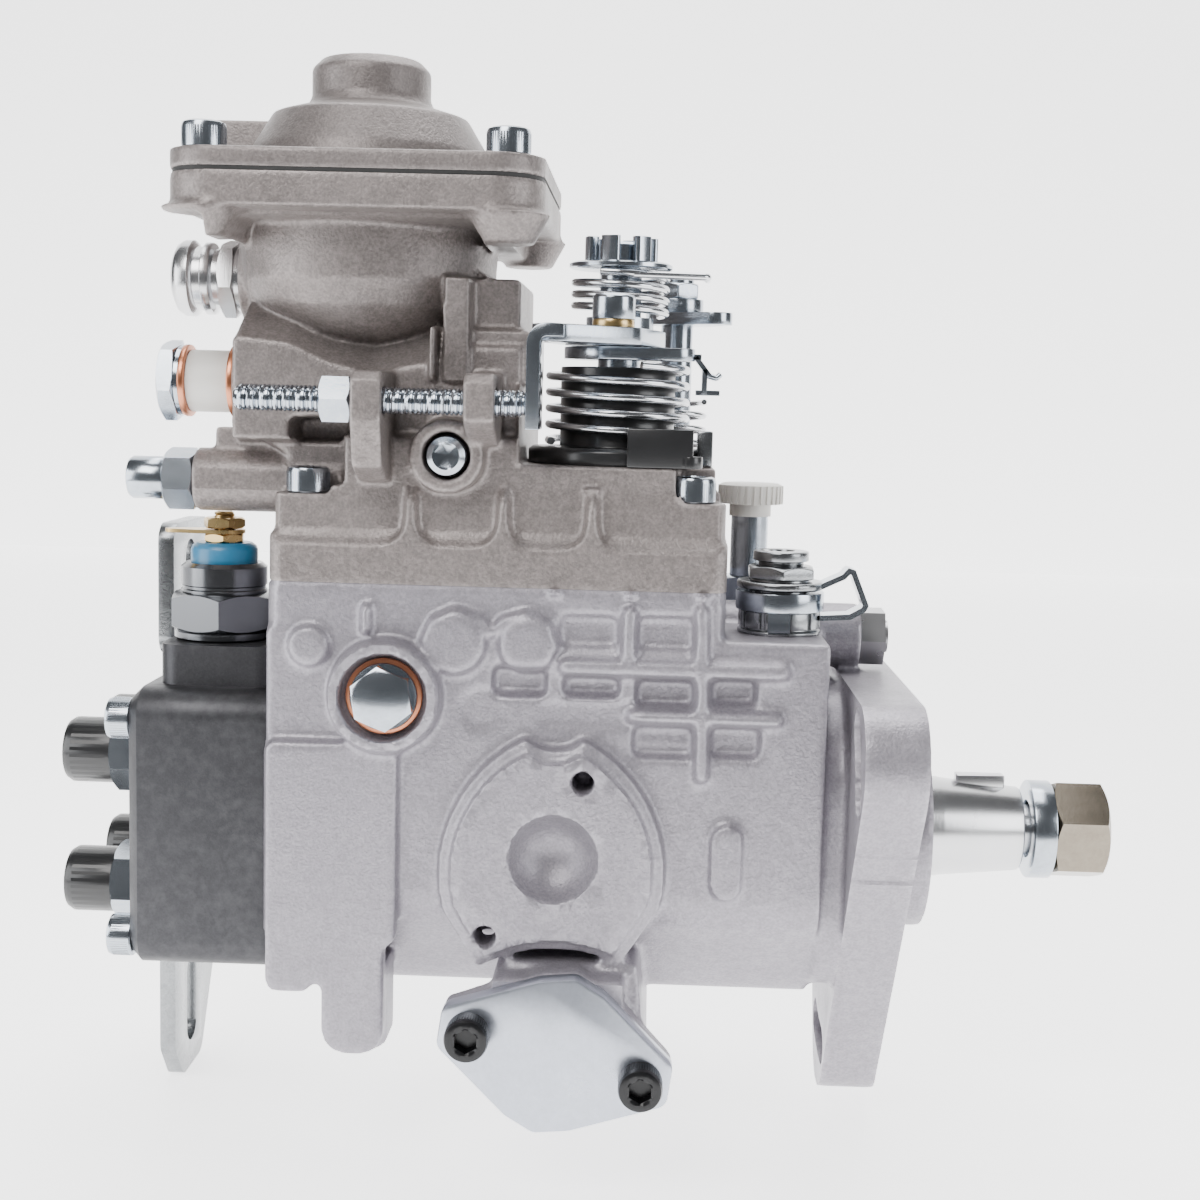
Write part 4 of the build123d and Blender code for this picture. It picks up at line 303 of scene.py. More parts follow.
# ---------------------------------------------------------------- finishes
@dataclass(frozen=True)
class Finish:
    """One surface finish. Sizes are in millimetres and colours are linear.

    shade is how dark the grain's hollows are, as a share of the base. mottle, wear and coat are
    shares, while grain and turning are heights.
    """

    name: str
    slot: str
    base: tuple
    rough: float
    metallic: float = 0.0
    shade: float = 0.85
    grain: float = 0.0
    grain_size: float = 1.0
    mottle: float = 0.0
    wear: float = 0.0
    turning: float = 0.0
    coat: float = 0.0
    coat_rough: float = 0.15
    patch_shade: float = 0.72
    patch_rough: tuple = (0.88, 1.15)
    worn_gain: float = 1.45
    worn_lift: float = 0.05

    def material(self) -> bpy.types.Material:
        """Builds the finish's material, or gives the one already built."""
        made = bpy.data.materials.get(self.name)
        return made if made else self._build()

    def _build(self) -> bpy.types.Material:
        """Builds the material's node tree.

        Returns:
            The new material.
        """
        material = bpy.data.materials.new(self.name)
        material.use_nodes = True
        tree = material.node_tree
        skin = tree.nodes["Principled BSDF"]
        skin.inputs["Base Color"].default_value = (*self.base, 1.0)
        skin.inputs["Metallic"].default_value = self.metallic
        skin.inputs["Roughness"].default_value = self.rough
        skin.inputs["Coat Weight"].default_value = self.coat
        skin.inputs["Coat Roughness"].default_value = self.coat_rough
        colour = tree.nodes.new("ShaderNodeRGB")
        colour.outputs[0].default_value = (*self.base, 1.0)
        last = colour.outputs[0]
        height = None
        if self.grain > 0:
            grain = self._effect(tree, Effect.GRAIN, {"Size": self.grain_size})
            dark = tuple(c * self.shade for c in self.base)
            last = self._mix(tree, grain.outputs["Shade"], dark, last)
            height = grain.outputs["Height"]
        if self.mottle > 0:
            patches = self._effect(tree, Effect.MOTTLE, {}).outputs["Shade"]
            share = EFFECTS.math(tree, "MULTIPLY", patches, self.mottle)
            last = self._mix(tree, share, last, tuple(c * self.patch_shade for c in self.base))
            self._vary_roughness(tree, patches, skin)
        if self.wear > 0:
            wear = self._effect(tree, Effect.WEAR, {"Reach": self.wear})
            bare = tuple(min(1.0, c * self.worn_gain + self.worn_lift) for c in self.base)
            last = self._mix(tree, wear.outputs["Mask"], last, bare)
        if self.turning > 0:
            height = self._effect(tree, Effect.TURNING, {}).outputs["Height"]
        tree.links.new(last, skin.inputs["Base Color"])
        if height is not None:
            bump = tree.nodes.new("ShaderNodeBump")
            bump.inputs["Strength"].default_value = 1.0
            bump.inputs["Distance"].default_value = max(self.grain, self.turning) * MM
            tree.links.new(height, bump.inputs["Height"])
            tree.links.new(bump.outputs["Normal"], skin.inputs["Normal"])
        return material

    def _vary_roughness(self, tree: Tree, patches: Socket, skin: Node) -> None:
        """Makes the roughness follow the soft patches.

        Args:
            tree: the material's tree.
            patches: socket of the patches' shade.
            skin: the material's shader.
        """
        rough = tree.nodes.new("ShaderNodeMapRange")
        low, high = self.patch_rough
        rough.inputs["To Min"].default_value = self.rough * low
        rough.inputs["To Max"].default_value = min(1.0, self.rough * high)
        tree.links.new(patches, rough.inputs["Value"])
        tree.links.new(rough.outputs[0], skin.inputs["Roughness"])

    @staticmethod
    def _effect(tree: Tree, effect: Effect, values: dict) -> Node:
        """Adds a shared effect.

        Args:
            tree: the material's tree.
            effect: which effect.
            values: its input values by name.

        Returns:
            The group node.
        """
        node = tree.nodes.new("ShaderNodeGroup")
        node.node_tree = EFFECTS.get(effect)
        for name, value in values.items():
            node.inputs[name].default_value = value
        return node

    @staticmethod
    def _mix(tree: Tree, factor: Socket, first: Value, second: Value) -> Socket:
        """Mixes two colours.

        Args:
            tree: the material's tree.
            factor: socket of the share of the second colour.
            first: colour socket or colour.
            second: colour socket or colour.

        Returns:
            The mixed colour's socket.
        """
        node = tree.nodes.new("ShaderNodeMix")
        node.data_type = "RGBA"
        tree.links.new(factor, node.inputs[0])
        for index, value in ((6, first), (7, second)):
            if isinstance(value, tuple):
                node.inputs[index].default_value = (*value, 1.0)
            else:
                tree.links.new(value, node.inputs[index])
        return node.outputs[2]


HOUSING = Finish(
    "Housing aluminium", "housing_cast", (0.355, 0.335, 0.372), rough=0.42,
    metallic=0.55, shade=0.74, grain=0.10, mottle=0.25, wear=0.5,
)
COVER = Finish(
    "Cover aluminium", "cover_cast", (0.275, 0.243, 0.233), rough=0.44,
    metallic=0.5, shade=0.62, grain=0.12, mottle=0.25, wear=0.5,
)
DOME = Finish(
    "Dome aluminium", "aneroid_cast", (0.235, 0.208, 0.200), rough=0.44,
    metallic=0.5, shade=0.66, grain=0.10, grain_size=0.9, mottle=0.25, wear=0.5,
)
PHOSPHATE = Finish(
    "Phosphated steel", "phosphated_steel", (0.055, 0.055, 0.06), rough=0.42,
    metallic=0.7, shade=0.8, grain=0.03, grain_size=0.7, mottle=0.3, wear=0.5,
)
BURNISHED = Finish(
    "Burnished steel", "phosphated_steel", (0.16, 0.165, 0.175), rough=0.24,
    metallic=1.0, mottle=0.3,
)
BRIGHT_ZINC = Finish(
    "Bright zinc", "zinc_steel", (0.50, 0.53, 0.60), rough=0.30,
    metallic=0.9, shade=0.92, grain=0.01, grain_size=1.4, mottle=0.25, wear=0.2,
)
ZINC = Finish(
    "Zinc plating", "zinc_steel", (0.43, 0.47, 0.52), rough=0.20,
    metallic=1.0, shade=0.9, grain=0.008, grain_size=1.4, mottle=0.15, wear=0.2,
)
ZINC_DULL = Finish(
    "Dull zinc", "zinc_steel", (0.29, 0.30, 0.31), rough=0.26,
    metallic=1.0, shade=0.8, grain=0.03, grain_size=0.9, mottle=0.3, wear=0.3,
)
BRIGHT = Finish(
    "Bright steel", "bright_steel", (0.62, 0.62, 0.63), rough=0.24,
    metallic=1.0, turning=0.01, mottle=0.15,
)
YELLOW = Finish(
    "Yellow zinc", "yellow_zinc", (0.20, 0.172, 0.135), rough=0.22,
    metallic=1.0, shade=0.85, grain=0.01, grain_size=1.2, mottle=0.3, wear=0.3,
)
BLACK_STEEL = Finish(
    "Black steel", "black_steel", (0.006, 0.006, 0.007), rough=0.30,
    metallic=0.3, mottle=0.2,
)
SPRING = Finish("Spring wire", "spring_steel", (0.60, 0.61, 0.63), rough=0.20, metallic=1.0, mottle=0.15)
INNER = Finish("Ground steel", "inner_steel", (0.45, 0.45, 0.46), rough=0.28, metallic=1.0, mottle=0.2)
PISTON = Finish(
    "Turned alloy", "piston_alloy", (0.60, 0.60, 0.61), rough=0.30,
    metallic=1.0, turning=0.01,
)
COPPER = Finish("Copper", "copper", (0.62, 0.25, 0.14), rough=0.32, metallic=1.0, mottle=0.3)
BRASS = Finish("Brass", "terminal_brass", (0.60, 0.43, 0.20), rough=0.28, metallic=1.0, mottle=0.3)
BLUE = Finish("Blue plastic", "blue_plastic", (0.02, 0.16, 0.30), rough=0.38, mottle=0.2, coat=0.2)
WHITE = Finish("White plastic", "white_plastic", (0.72, 0.70, 0.66), rough=0.45, mottle=0.1)
BLACK = Finish(
    "Black plastic", "black_plastic", (0.012, 0.012, 0.013), rough=0.32,
    mottle=0.2, coat=0.25,
)
RUBBER = Finish("Rubber", "rubber", (0.02, 0.02, 0.02), rough=0.7, mottle=0.2)


# ---------------------------------------------------------------- geometry node groups
class Former(Enum):
    """Geometry node groups for what repeats or follows a path."""

    COIL = "Coil"
    THREAD = "Thread"
    WIRE = "Wire"
    FLUTES = "Flutes"


class NodeShop:
    """Builds each geometry group once, on first use, and runs it."""

    ridge_share = 0.44
    coil_steps = 40
    thread_steps = 28
    bend_steps = 8

    def __init__(self) -> None:
        """Starts with no group built."""
        self.groups: dict = {}

    def get(self, former: Former) -> Tree:
        """Gives a geometry group.

        Args:
            former: which group.

        Returns:
            The geometry node group.
        """
        if former not in self.groups:
            builders = {
                Former.COIL: self._coil,
                Former.THREAD: self._thread,
                Former.WIRE: self._wire,
                Former.FLUTES: self._flutes,
            }
            self.groups[former] = builders[former]()
        return self.groups[former]

    @staticmethod
    def _start(former: Former, sizes: dict) -> tuple:
        """Starts a geometry group with a material input.

        Args:
            former: which group.
            sizes: names and defaults of its number inputs, in metres.

        Returns:
            The tree, its input node and its output node.
        """
        tree = bpy.data.node_groups.new(former.value, "GeometryNodeTree")
        tree.interface.new_socket("Geometry", in_out="INPUT", socket_type="NodeSocketGeometry")
        for label, value in sizes.items():
            socket = tree.interface.new_socket(label, in_out="INPUT", socket_type="NodeSocketFloat")
            socket.default_value = value
        tree.interface.new_socket("Material", in_out="INPUT", socket_type="NodeSocketMaterial")
        tree.interface.new_socket("Geometry", in_out="OUTPUT", socket_type="NodeSocketGeometry")
        return tree, tree.nodes.new("NodeGroupInput"), tree.nodes.new("NodeGroupOutput")

    @staticmethod
    def _sweep(tree: Tree, path: Socket, radius: Socket, sides: int) -> Socket:
        """Draws round wire along a curve.

        Args:
            tree: the group.
            path: socket of the curve.
            radius: socket of the wire's radius.
            sides: points round the wire.

        Returns:
            The wire's mesh socket.
        """
        ring = tree.nodes.new("GeometryNodeCurvePrimitiveCircle")
        ring.inputs["Resolution"].default_value = sides
        tree.links.new(radius, ring.inputs["Radius"])
        sweep = tree.nodes.new("GeometryNodeCurveToMesh")
        sweep.inputs["Fill Caps"].default_value = True
        tree.links.new(path, sweep.inputs["Curve"])
        tree.links.new(ring.outputs["Curve"], sweep.inputs["Profile Curve"])
        return sweep.outputs["Mesh"]

    @staticmethod
    def _end(tree: Tree, start: Node, end: Node, geometry: Socket) -> Tree:
        """Ends a group in Realize Instances and Set Material.

        Args:
            tree: the group.
            start: its input node.
            end: its output node.
            geometry: socket of the finished geometry.

        Returns:
            The group.
        """
        real = tree.nodes.new("GeometryNodeRealizeInstances")
        paint = tree.nodes.new("GeometryNodeSetMaterial")
        tree.links.new(geometry, real.inputs[0])
        tree.links.new(real.outputs[0], paint.inputs["Geometry"])
        tree.links.new(start.outputs["Material"], paint.inputs["Material"])
        tree.links.new(paint.outputs[0], end.inputs[0])
        return tree

    def _coil(self) -> Tree:
        """Builds the group that winds round wire along Z.

        Returns:
            The group, with inputs Radius, Wire, Height and Turns.
        """
        sizes = {"Radius": 0.01, "Wire": 0.001, "Height": 0.02, "Turns": 5.0}
        tree, start, end = self._start(Former.COIL, sizes)
        spiral = tree.nodes.new("GeometryNodeCurveSpiral")
        spiral.inputs["Resolution"].default_value = self.coil_steps
        tree.links.new(start.outputs["Turns"], spiral.inputs["Rotations"])
        tree.links.new(start.outputs["Radius"], spiral.inputs["Start Radius"])
        tree.links.new(start.outputs["Radius"], spiral.inputs["End Radius"])
        tree.links.new(start.outputs["Height"], spiral.inputs["Height"])
        swept = self._sweep(tree, spiral.outputs["Curve"], start.outputs["Wire"], 12)
        return self._end(tree, start, end, swept)

    def _thread(self) -> Tree:
        """Builds the group that winds a thread's ridge along Z.

        Returns:
            The group, with inputs Radius, Pitch and Length.
        """
        tree, start, end = self._start(Former.THREAD, {"Radius": 0.003, "Pitch": 0.001, "Length": 0.02})
        spiral = tree.nodes.new("GeometryNodeCurveSpiral")
        spiral.inputs["Resolution"].default_value = self.thread_steps
        turns = EFFECTS.math(tree, "DIVIDE", start.outputs["Length"], start.outputs["Pitch"])
        tree.links.new(turns, spiral.inputs["Rotations"])
        tree.links.new(start.outputs["Radius"], spiral.inputs["Start Radius"])
        tree.links.new(start.outputs["Radius"], spiral.inputs["End Radius"])
        tree.links.new(start.outputs["Length"], spiral.inputs["Height"])
        ridge = EFFECTS.math(tree, "MULTIPLY", start.outputs["Pitch"], self.ridge_share)
        return self._end(tree, start, end, self._sweep(tree, spiral.outputs["Curve"], ridge, 6))

    def _wire(self) -> Tree:
        """Builds the group that draws round wire along the input's edges, with rounded corners.

        Returns:
            The group, with inputs Wire and Bend.
        """
        tree, start, end = self._start(Former.WIRE, {"Wire": 0.001, "Bend": 0.002})
        path = tree.nodes.new("GeometryNodeMeshToCurve")
        bend = tree.nodes.new("GeometryNodeFilletCurve")
        bend.mode = "POLY"
        bend.inputs["Count"].default_value = self.bend_steps
        tree.links.new(start.outputs["Geometry"], path.inputs[0])
        tree.links.new(path.outputs[0], bend.inputs["Curve"])
        tree.links.new(start.outputs["Bend"], bend.inputs["Radius"])
        return self._end(tree, start, end, self._sweep(tree, bend.outputs[0], start.outputs["Wire"], 14))

    def _flutes(self) -> Tree:
        """Builds the group that stands upright ribs round a circle, for knurls and grips.

        Returns:
            The group, with inputs Radius, Rib, Depth, Height and Count.
        """
        sizes = {"Radius": 0.005, "Rib": 0.0003, "Depth": 0.0006, "Height": 0.005, "Count": 40.0}
        tree, start, end = self._start(Former.FLUTES, sizes)
        circle_node = tree.nodes.new("GeometryNodeMeshCircle")
        tree.links.new(start.outputs["Count"], circle_node.inputs["Vertices"])
        tree.links.new(start.outputs["Radius"], circle_node.inputs["Radius"])
        size = tree.nodes.new("ShaderNodeCombineXYZ")
        for axis, label in (("X", "Depth"), ("Y", "Rib"), ("Z", "Height")):
            tree.links.new(start.outputs[label], size.inputs[axis])
        cube = tree.nodes.new("GeometryNodeMeshCube")
        tree.links.new(size.outputs[0], cube.inputs["Size"])
        place = tree.nodes.new("GeometryNodeInputPosition")
        turn = tree.nodes.new("FunctionNodeAlignRotationToVector")
        turn.axis = "X"
        tree.links.new(place.outputs[0], turn.inputs["Vector"])
        ribs = tree.nodes.new("GeometryNodeInstanceOnPoints")
        tree.links.new(circle_node.outputs["Mesh"], ribs.inputs["Points"])
        tree.links.new(cube.outputs["Mesh"], ribs.inputs["Instance"])
        tree.links.new(turn.outputs[0], ribs.inputs["Rotation"])
        return self._end(tree, start, end, ribs.outputs[0])

    def run(
        self, former: Former, values: dict, paint: bpy.types.Material, base: Optional[bpy.types.Mesh] = None
    ) -> bpy.types.Mesh:
        """Runs a group on an object and takes the mesh it makes.

        Args:
            former: which group.
            values: input values by name, in metres.
            paint: material of the result.
            base: mesh that the group starts from, or None for an empty one.

        Returns:
            The made mesh, free of the modifier.
        """
        group = self.get(former)
        holder = bpy.data.objects.new("holder", base or bpy.data.meshes.new("holder"))
        bpy.context.scene.collection.objects.link(holder)
        modifier = holder.modifiers.new("shape", "NODES")
        modifier.node_group = group
        names = {item.name: item.identifier for item in group.interface.items_tree if item.in_out == "INPUT"}
        for name, value in values.items():
            modifier[names[name]] = value
        modifier[names["Material"]] = paint
        bpy.context.view_layer.update()
        made = bpy.data.meshes.new_from_object(holder.evaluated_get(bpy.context.evaluated_depsgraph_get()))
        holder.modifiers.clear()
        bpy.data.objects.remove(holder)
        return made


SHOP = NodeShop()


# ---------------------------------------------------------------- shapes in millimetres
class Way(Enum):
    """Directions that a shape's own Z can point in."""

    UP = (0, 0, 1)
    OUT = (1, 0, 0)
    LEFT = (-1, 0, 0)
    NEAR = (0, -1, 0)
    FAR = (0, 1, 0)


def seat(x: float, y: float, z: float, way: Way = Way.UP, turn: float = 0.0) -> Matrix:
    """Places a shape's own frame.

    Args:
        x: place of its origin, in millimetres.
        y: as x.
        z: as x.
        way: where its own Z points.
        turn: degrees turned about its own Z.

    Returns:
        The matrix from its own frame to the row's, in millimetres.
    """
    over = Vector(way.value)
    first = Vector((0, 1, 0)) if abs(over.x) > 0.5 else Vector((1, 0, 0))
    aim = Matrix((first, over.cross(first), over)).transposed().to_4x4()
    return Matrix.Translation((x, y, z)) @ aim @ Matrix.Rotation(math.radians(turn), 4, "Z")


def lifted(place: Matrix, height: float, turn: float = 0.0) -> Matrix:
    """Moves a frame along its own Z and turns it about it."""
    return place @ Matrix.Translation((0, 0, height)) @ Matrix.Rotation(math.radians(turn), 4, "Z")


class Ring(NamedTuple):
    """A round or six-sided outline at a height, with its corners lowered by a share."""

    six: bool
    size: float
    height: float
    drop: float


def circle(radius: float, height: float) -> Ring:
    """Describes a round outline at a height along the shape's own Z."""
    return Ring(False, radius, height, 0.0)


def turned(*steps: Point) -> list:
    """Describes the outlines of a turned form from the (radius, height) of each."""
    return [circle(radius, height) for radius, height in steps]


def hexagon(flats: float, height: float, drop: float = 0.0) -> Ring:
    """Describes a six-sided outline at a height, its corners lowered as a nut's are."""
    return Ring(True, flats / 2, height, drop)


class Shape:
    """A piece grown from plain forms, in millimetres."""

    def __init__(self) -> None:
        """Starts with nothing in it."""
        self.bm = bmesh.new()

    def rings(self, outlines: Sequence[Ring], place: Matrix, steps: int = 60, loop: bool = False) -> "Shape":
        """Adds a skin through outlines stacked along the place's own Z.

        Args:
            outlines: outlines from circle() and hexagon().
            place: frame of the outlines.
            steps: points in each outline, a multiple of six.
            loop: joins the last outline to the first, which leaves the middle open.

        Returns:
            This shape.
        """
        stack = []
        for outline in outlines:
            ring = []
            for step in range(steps):
                angle = 2 * math.pi * step / steps
                radius = outline.size
                if outline.six:
                    radius = outline.size / math.cos((angle + math.pi / 6) % (math.pi / 3) - math.pi / 6)
                height = outline.height - (radius - outline.size) * outline.drop
                spot = Vector((radius * math.cos(angle), radius * math.sin(angle), height))
                ring.append(self.bm.verts.new(place @ spot))
            stack.append(ring)
        pairs = list(zip(stack, stack[1:]))
        if loop:
            pairs.append((stack[-1], stack[0]))
        else:
            self.bm.faces.new(stack[0])
            self.bm.faces.new(stack[-1])
        for low, high in pairs:
            for step in range(steps):
                after = (step + 1) % steps
                self.bm.faces.new((low[step], low[after], high[after], high[step]))
        return self

    def tube(self, outer: float, inner: float, tall: float, place: Matrix, steps: int) -> "Shape":
        """Adds a plain tube or washer that stands on the place."""
        outlines = turned((outer, 0), (outer, tall), (inner, tall), (inner, 0))
        return self.rings(outlines, place, steps, loop=True)

    def slab(self, outline: Sequence[Point], low: float, high: float, place: Matrix) -> "Shape":
        """Adds a flat plate from its outline.

        Args:
            outline: points of the plate's own X and Y, in order.
            low: lower face along its own Z.
            high: upper face.
            place: frame of the plate.

        Returns:
            This shape.
        """
        lower = [self.bm.verts.new(place @ Vector((x, y, low))) for x, y in outline]
        upper = [self.bm.verts.new(place @ Vector((x, y, high))) for x, y in outline]
        self.bm.faces.new(lower)
        self.bm.faces.new(upper)
        for here in range(len(outline)):
            after = (here + 1) % len(outline)
            self.bm.faces.new((lower[here], lower[after], upper[after], upper[here]))
        return self

    def box(self, size: Point, place: Matrix) -> "Shape":
        """Adds a box centred on the place."""
        x, y, z = (value / 2 for value in size)
        return self.slab([(-x, -y), (x, -y), (x, y), (-x, y)], -z, z, place)

    def add(self, mesh: bpy.types.Mesh, place: Matrix) -> "Shape":
        """Adds a mesh that is in metres, such as one that a node group made.

        Args:
            mesh: the mesh, in its own frame.
            place: that frame, in millimetres.

        Returns:
            This shape.
        """
        scaled = mesh.copy()
        scaled.transform(place @ Matrix.Scale(1 / MM, 4))
        self.bm.from_mesh(scaled)
        bpy.data.meshes.remove(scaled)
        return self

    def thread(self, radius: float, pitch: float, low: float, high: float, place: Matrix) -> "Shape":
        """Adds the ridges of a thread.

        Args:
            radius: outer radius of the thread.
            pitch: distance between ridges.
            low: start along the place's own Z.
            high: end.
            place: frame of the thread.

        Returns:
            This shape.
        """
        inner = radius - pitch * SHOP.ridge_share
        values = {"Radius": inner * MM, "Pitch": pitch * MM, "Length": (high - low) * MM}
        return self.add(SHOP.run(Former.THREAD, values, ZINC.material()), lifted(place, low))

    def flutes(
        self, radius: float, count: int, low: float, high: float, place: Matrix, depth: float
    ) -> "Shape":
        """Adds upright ribs round a circle.

        Args:
            radius: radius of their middles.
            count: how many.
            low: start along the place's own Z.
            high: end.
            place: frame of the circle.
            depth: how far each rib reaches across the circle's line.

        Returns:
            This shape.
        """
        values = {
            "Radius": radius * MM,
            "Rib": math.pi * radius / count * MM,
            "Depth": depth * MM,
            "Height": (high - low) * MM,
            "Count": float(count),
        }
        return self.add(SHOP.run(Former.FLUTES, values, ZINC.material()), lifted(place, (low + high) / 2))

    def wire(self, points: Sequence[Point], radius: float, bend: float) -> "Shape":
        """Adds bent wire.

        Args:
            points: corners of its path in the row's frame.
            radius: radius of the wire.
            bend: radius of each corner.

        Returns:
            This shape.
        """
        path = bpy.data.meshes.new("path")
        spots = [tuple(value * MM for value in point) for point in points]
        path.from_pydata(spots, [(index, index + 1) for index in range(len(points) - 1)], [])
        values = {"Wire": radius * MM, "Bend": bend * MM}
        return self.add(SHOP.run(Former.WIRE, values, ZINC.material(), path), Matrix.Identity(4))

    def build(self, name: str, finish: Finish, bevel: float = 0.0, sharp: float = 35.0) -> bpy.types.Object:
        """Turns the shape into an object in metres.

        Args:
            name: the object's name.
            finish: its finish.
            bevel: width of the bevel on its sharp edges, or 0 for none.
            sharp: angle over which an edge stays sharp.

        Returns:
            The object.
        """
        self.bm.normal_update()
        bmesh.ops.recalc_face_normals(self.bm, faces=self.bm.faces)
        mesh = bpy.data.meshes.new(name)
        self.bm.to_mesh(mesh)
        self.bm.free()
        mesh.transform(Matrix.Scale(MM, 4))
        mesh.materials.clear()
        mesh.materials.append(finish.material())
        mesh.polygons.foreach_set("material_index", [0] * len(mesh.polygons))
        made = bpy.data.objects.new(name, mesh)
        bpy.context.scene.collection.objects.link(made)
        if bevel > 0:
            made = with_bevel(made, bevel)
        shade(made.data, sharp)
        return made


def shade(mesh: bpy.types.Mesh, sharp: float) -> None:
    """Shades a mesh smooth up to an angle."""
    mesh.polygons.foreach_set("use_smooth", [True] * len(mesh.polygons))
    mesh.set_sharp_from_angle(angle=math.radians(sharp))


def evaluated(made: bpy.types.Object) -> bpy.types.Object:
    """Writes an object's modifiers into its mesh.

    Args:
        made: the object.

    Returns:
        The same object, without modifiers.
    """
    bpy.context.view_layer.update()
    mesh = bpy.data.meshes.new_from_object(made.evaluated_get(bpy.context.evaluated_depsgraph_get()))
    made.modifiers.clear()
    made.data = mesh
    return made


def with_bevel(made: bpy.types.Object, width: float, angle: float = 34.0) -> bpy.types.Object:
    """Rounds an object's sharp edges.

    Args:
        made: the object.
        width: width of the round, in millimetres.
        angle: edges sharper than this are rounded, in degrees.

    Returns:
        The same object.
    """
    bevel = made.modifiers.new("edges", "BEVEL")
    bevel.width = width * MM
    bevel.segments = 2
    bevel.limit_method = "ANGLE"
    bevel.angle_limit = math.radians(angle)
    bevel.use_clamp_overlap = True
    bevel.miter_outer = "MITER_ARC"
    return evaluated(made)


def hull(circles: Sequence[tuple], steps: int = 28) -> list:
    """Outline of a plate stretched round circles.

    Args:
        circles: (x, y, radius) of each.
        steps: points on each circle.

    Returns:
        Points in order.
    """
    points = []
    for x, y, radius in circles:
        for step in range(steps):
            angle = 2 * math.pi * step / steps
            points.append(Vector((x + radius * math.cos(angle), y + radius * math.sin(angle))))
    return [tuple(points[index]) for index in convex_hull_2d(points)]


def strip(path: Sequence[Point], thick: float) -> list:
    """Outline of a bent strip seen on its edge.

    Args:
        path: points along its middle.
        thick: its thickness.

    Returns:
        Points in order round the strip.
    """
    spots = [Vector(point) for point in path]
    left, right = [], []
    for index, spot in enumerate(spots):
        before = (spot - spots[index - 1]).normalized() if index else None
        after = (spots[index + 1] - spot).normalized() if index + 1 < len(spots) else None
        along = ((before or after) + (after or before)).normalized()
        across = Vector((-along.y, along.x))
        stretch = thick / 2 / max(0.4, along.dot(after or before))
        left.append(tuple(spot + across * stretch))
        right.append(tuple(spot - across * stretch))
    return left + right[::-1]


# ---------------------------------------------------------------- cast relief
def soft(gap: np.ndarray, width: float = 0.8) -> np.ndarray:
    """Turns a signed distance into a share."""
    share = np.clip(0.5 - gap / (2 * width), 0.0, 1.0)
    return share * share * (3.0 - 2.0 * share)


@dataclass(frozen=True)
class Bead:
    """Band along (X, Z) points, or a round spot at one point, and how far it stands out."""

    height: float
    half: float
    line: tuple

    def gap(self, x: np.ndarray, z: np.ndarray) -> np.ndarray:
        """Measures the distance outside the band's edge.

        Args:
            x: places along X.
            z: places along Z.

        Returns:
            The distances, negative inside.
        """
        best = np.hypot(x - self.line[0][0], z - self.line[0][1])
        for (start_x, start_z), (end_x, end_z) in zip(self.line, self.line[1:]):
            run_x, run_z = end_x - start_x, end_z - start_z
            share = ((x - start_x) * run_x + (z - start_z) * run_z) / (run_x * run_x + run_z * run_z)
            share = np.clip(share, 0.0, 1.0)
            best = np.minimum(best, np.hypot(x - start_x - share * run_x, z - start_z - share * run_z))
        return best - self.half


@dataclass(frozen=True)
class Field:
    """Upright box on the near face from (X, Z) to (X, Z), and how far it stands out."""

    height: float
    low: tuple
    high: tuple
    corner: float = 1.6

    def gap(self, x: np.ndarray, z: np.ndarray) -> np.ndarray:
        """Measures the distance outside the box's edge.

        Args:
            x: places along X.
            z: places along Z.

        Returns:
            The distances, negative inside.
        """
        over_x = np.abs(x - (self.low[0] + self.high[0]) / 2) - (self.high[0] - self.low[0]) / 2 + self.corner
        over_z = np.abs(z - (self.low[1] + self.high[1]) / 2) - (self.high[1] - self.low[1]) / 2 + self.corner
        outside = np.hypot(np.maximum(over_x, 0), np.maximum(over_z, 0))
        return outside + np.minimum(np.maximum(over_x, over_z), 0) - self.corner


def spread(forms: Sequence, x: np.ndarray, z: np.ndarray) -> np.ndarray:
    """Finds the share of the nearest of several forms."""
    return np.max([soft(form.gap(x, z)) for form in forms], axis=0)


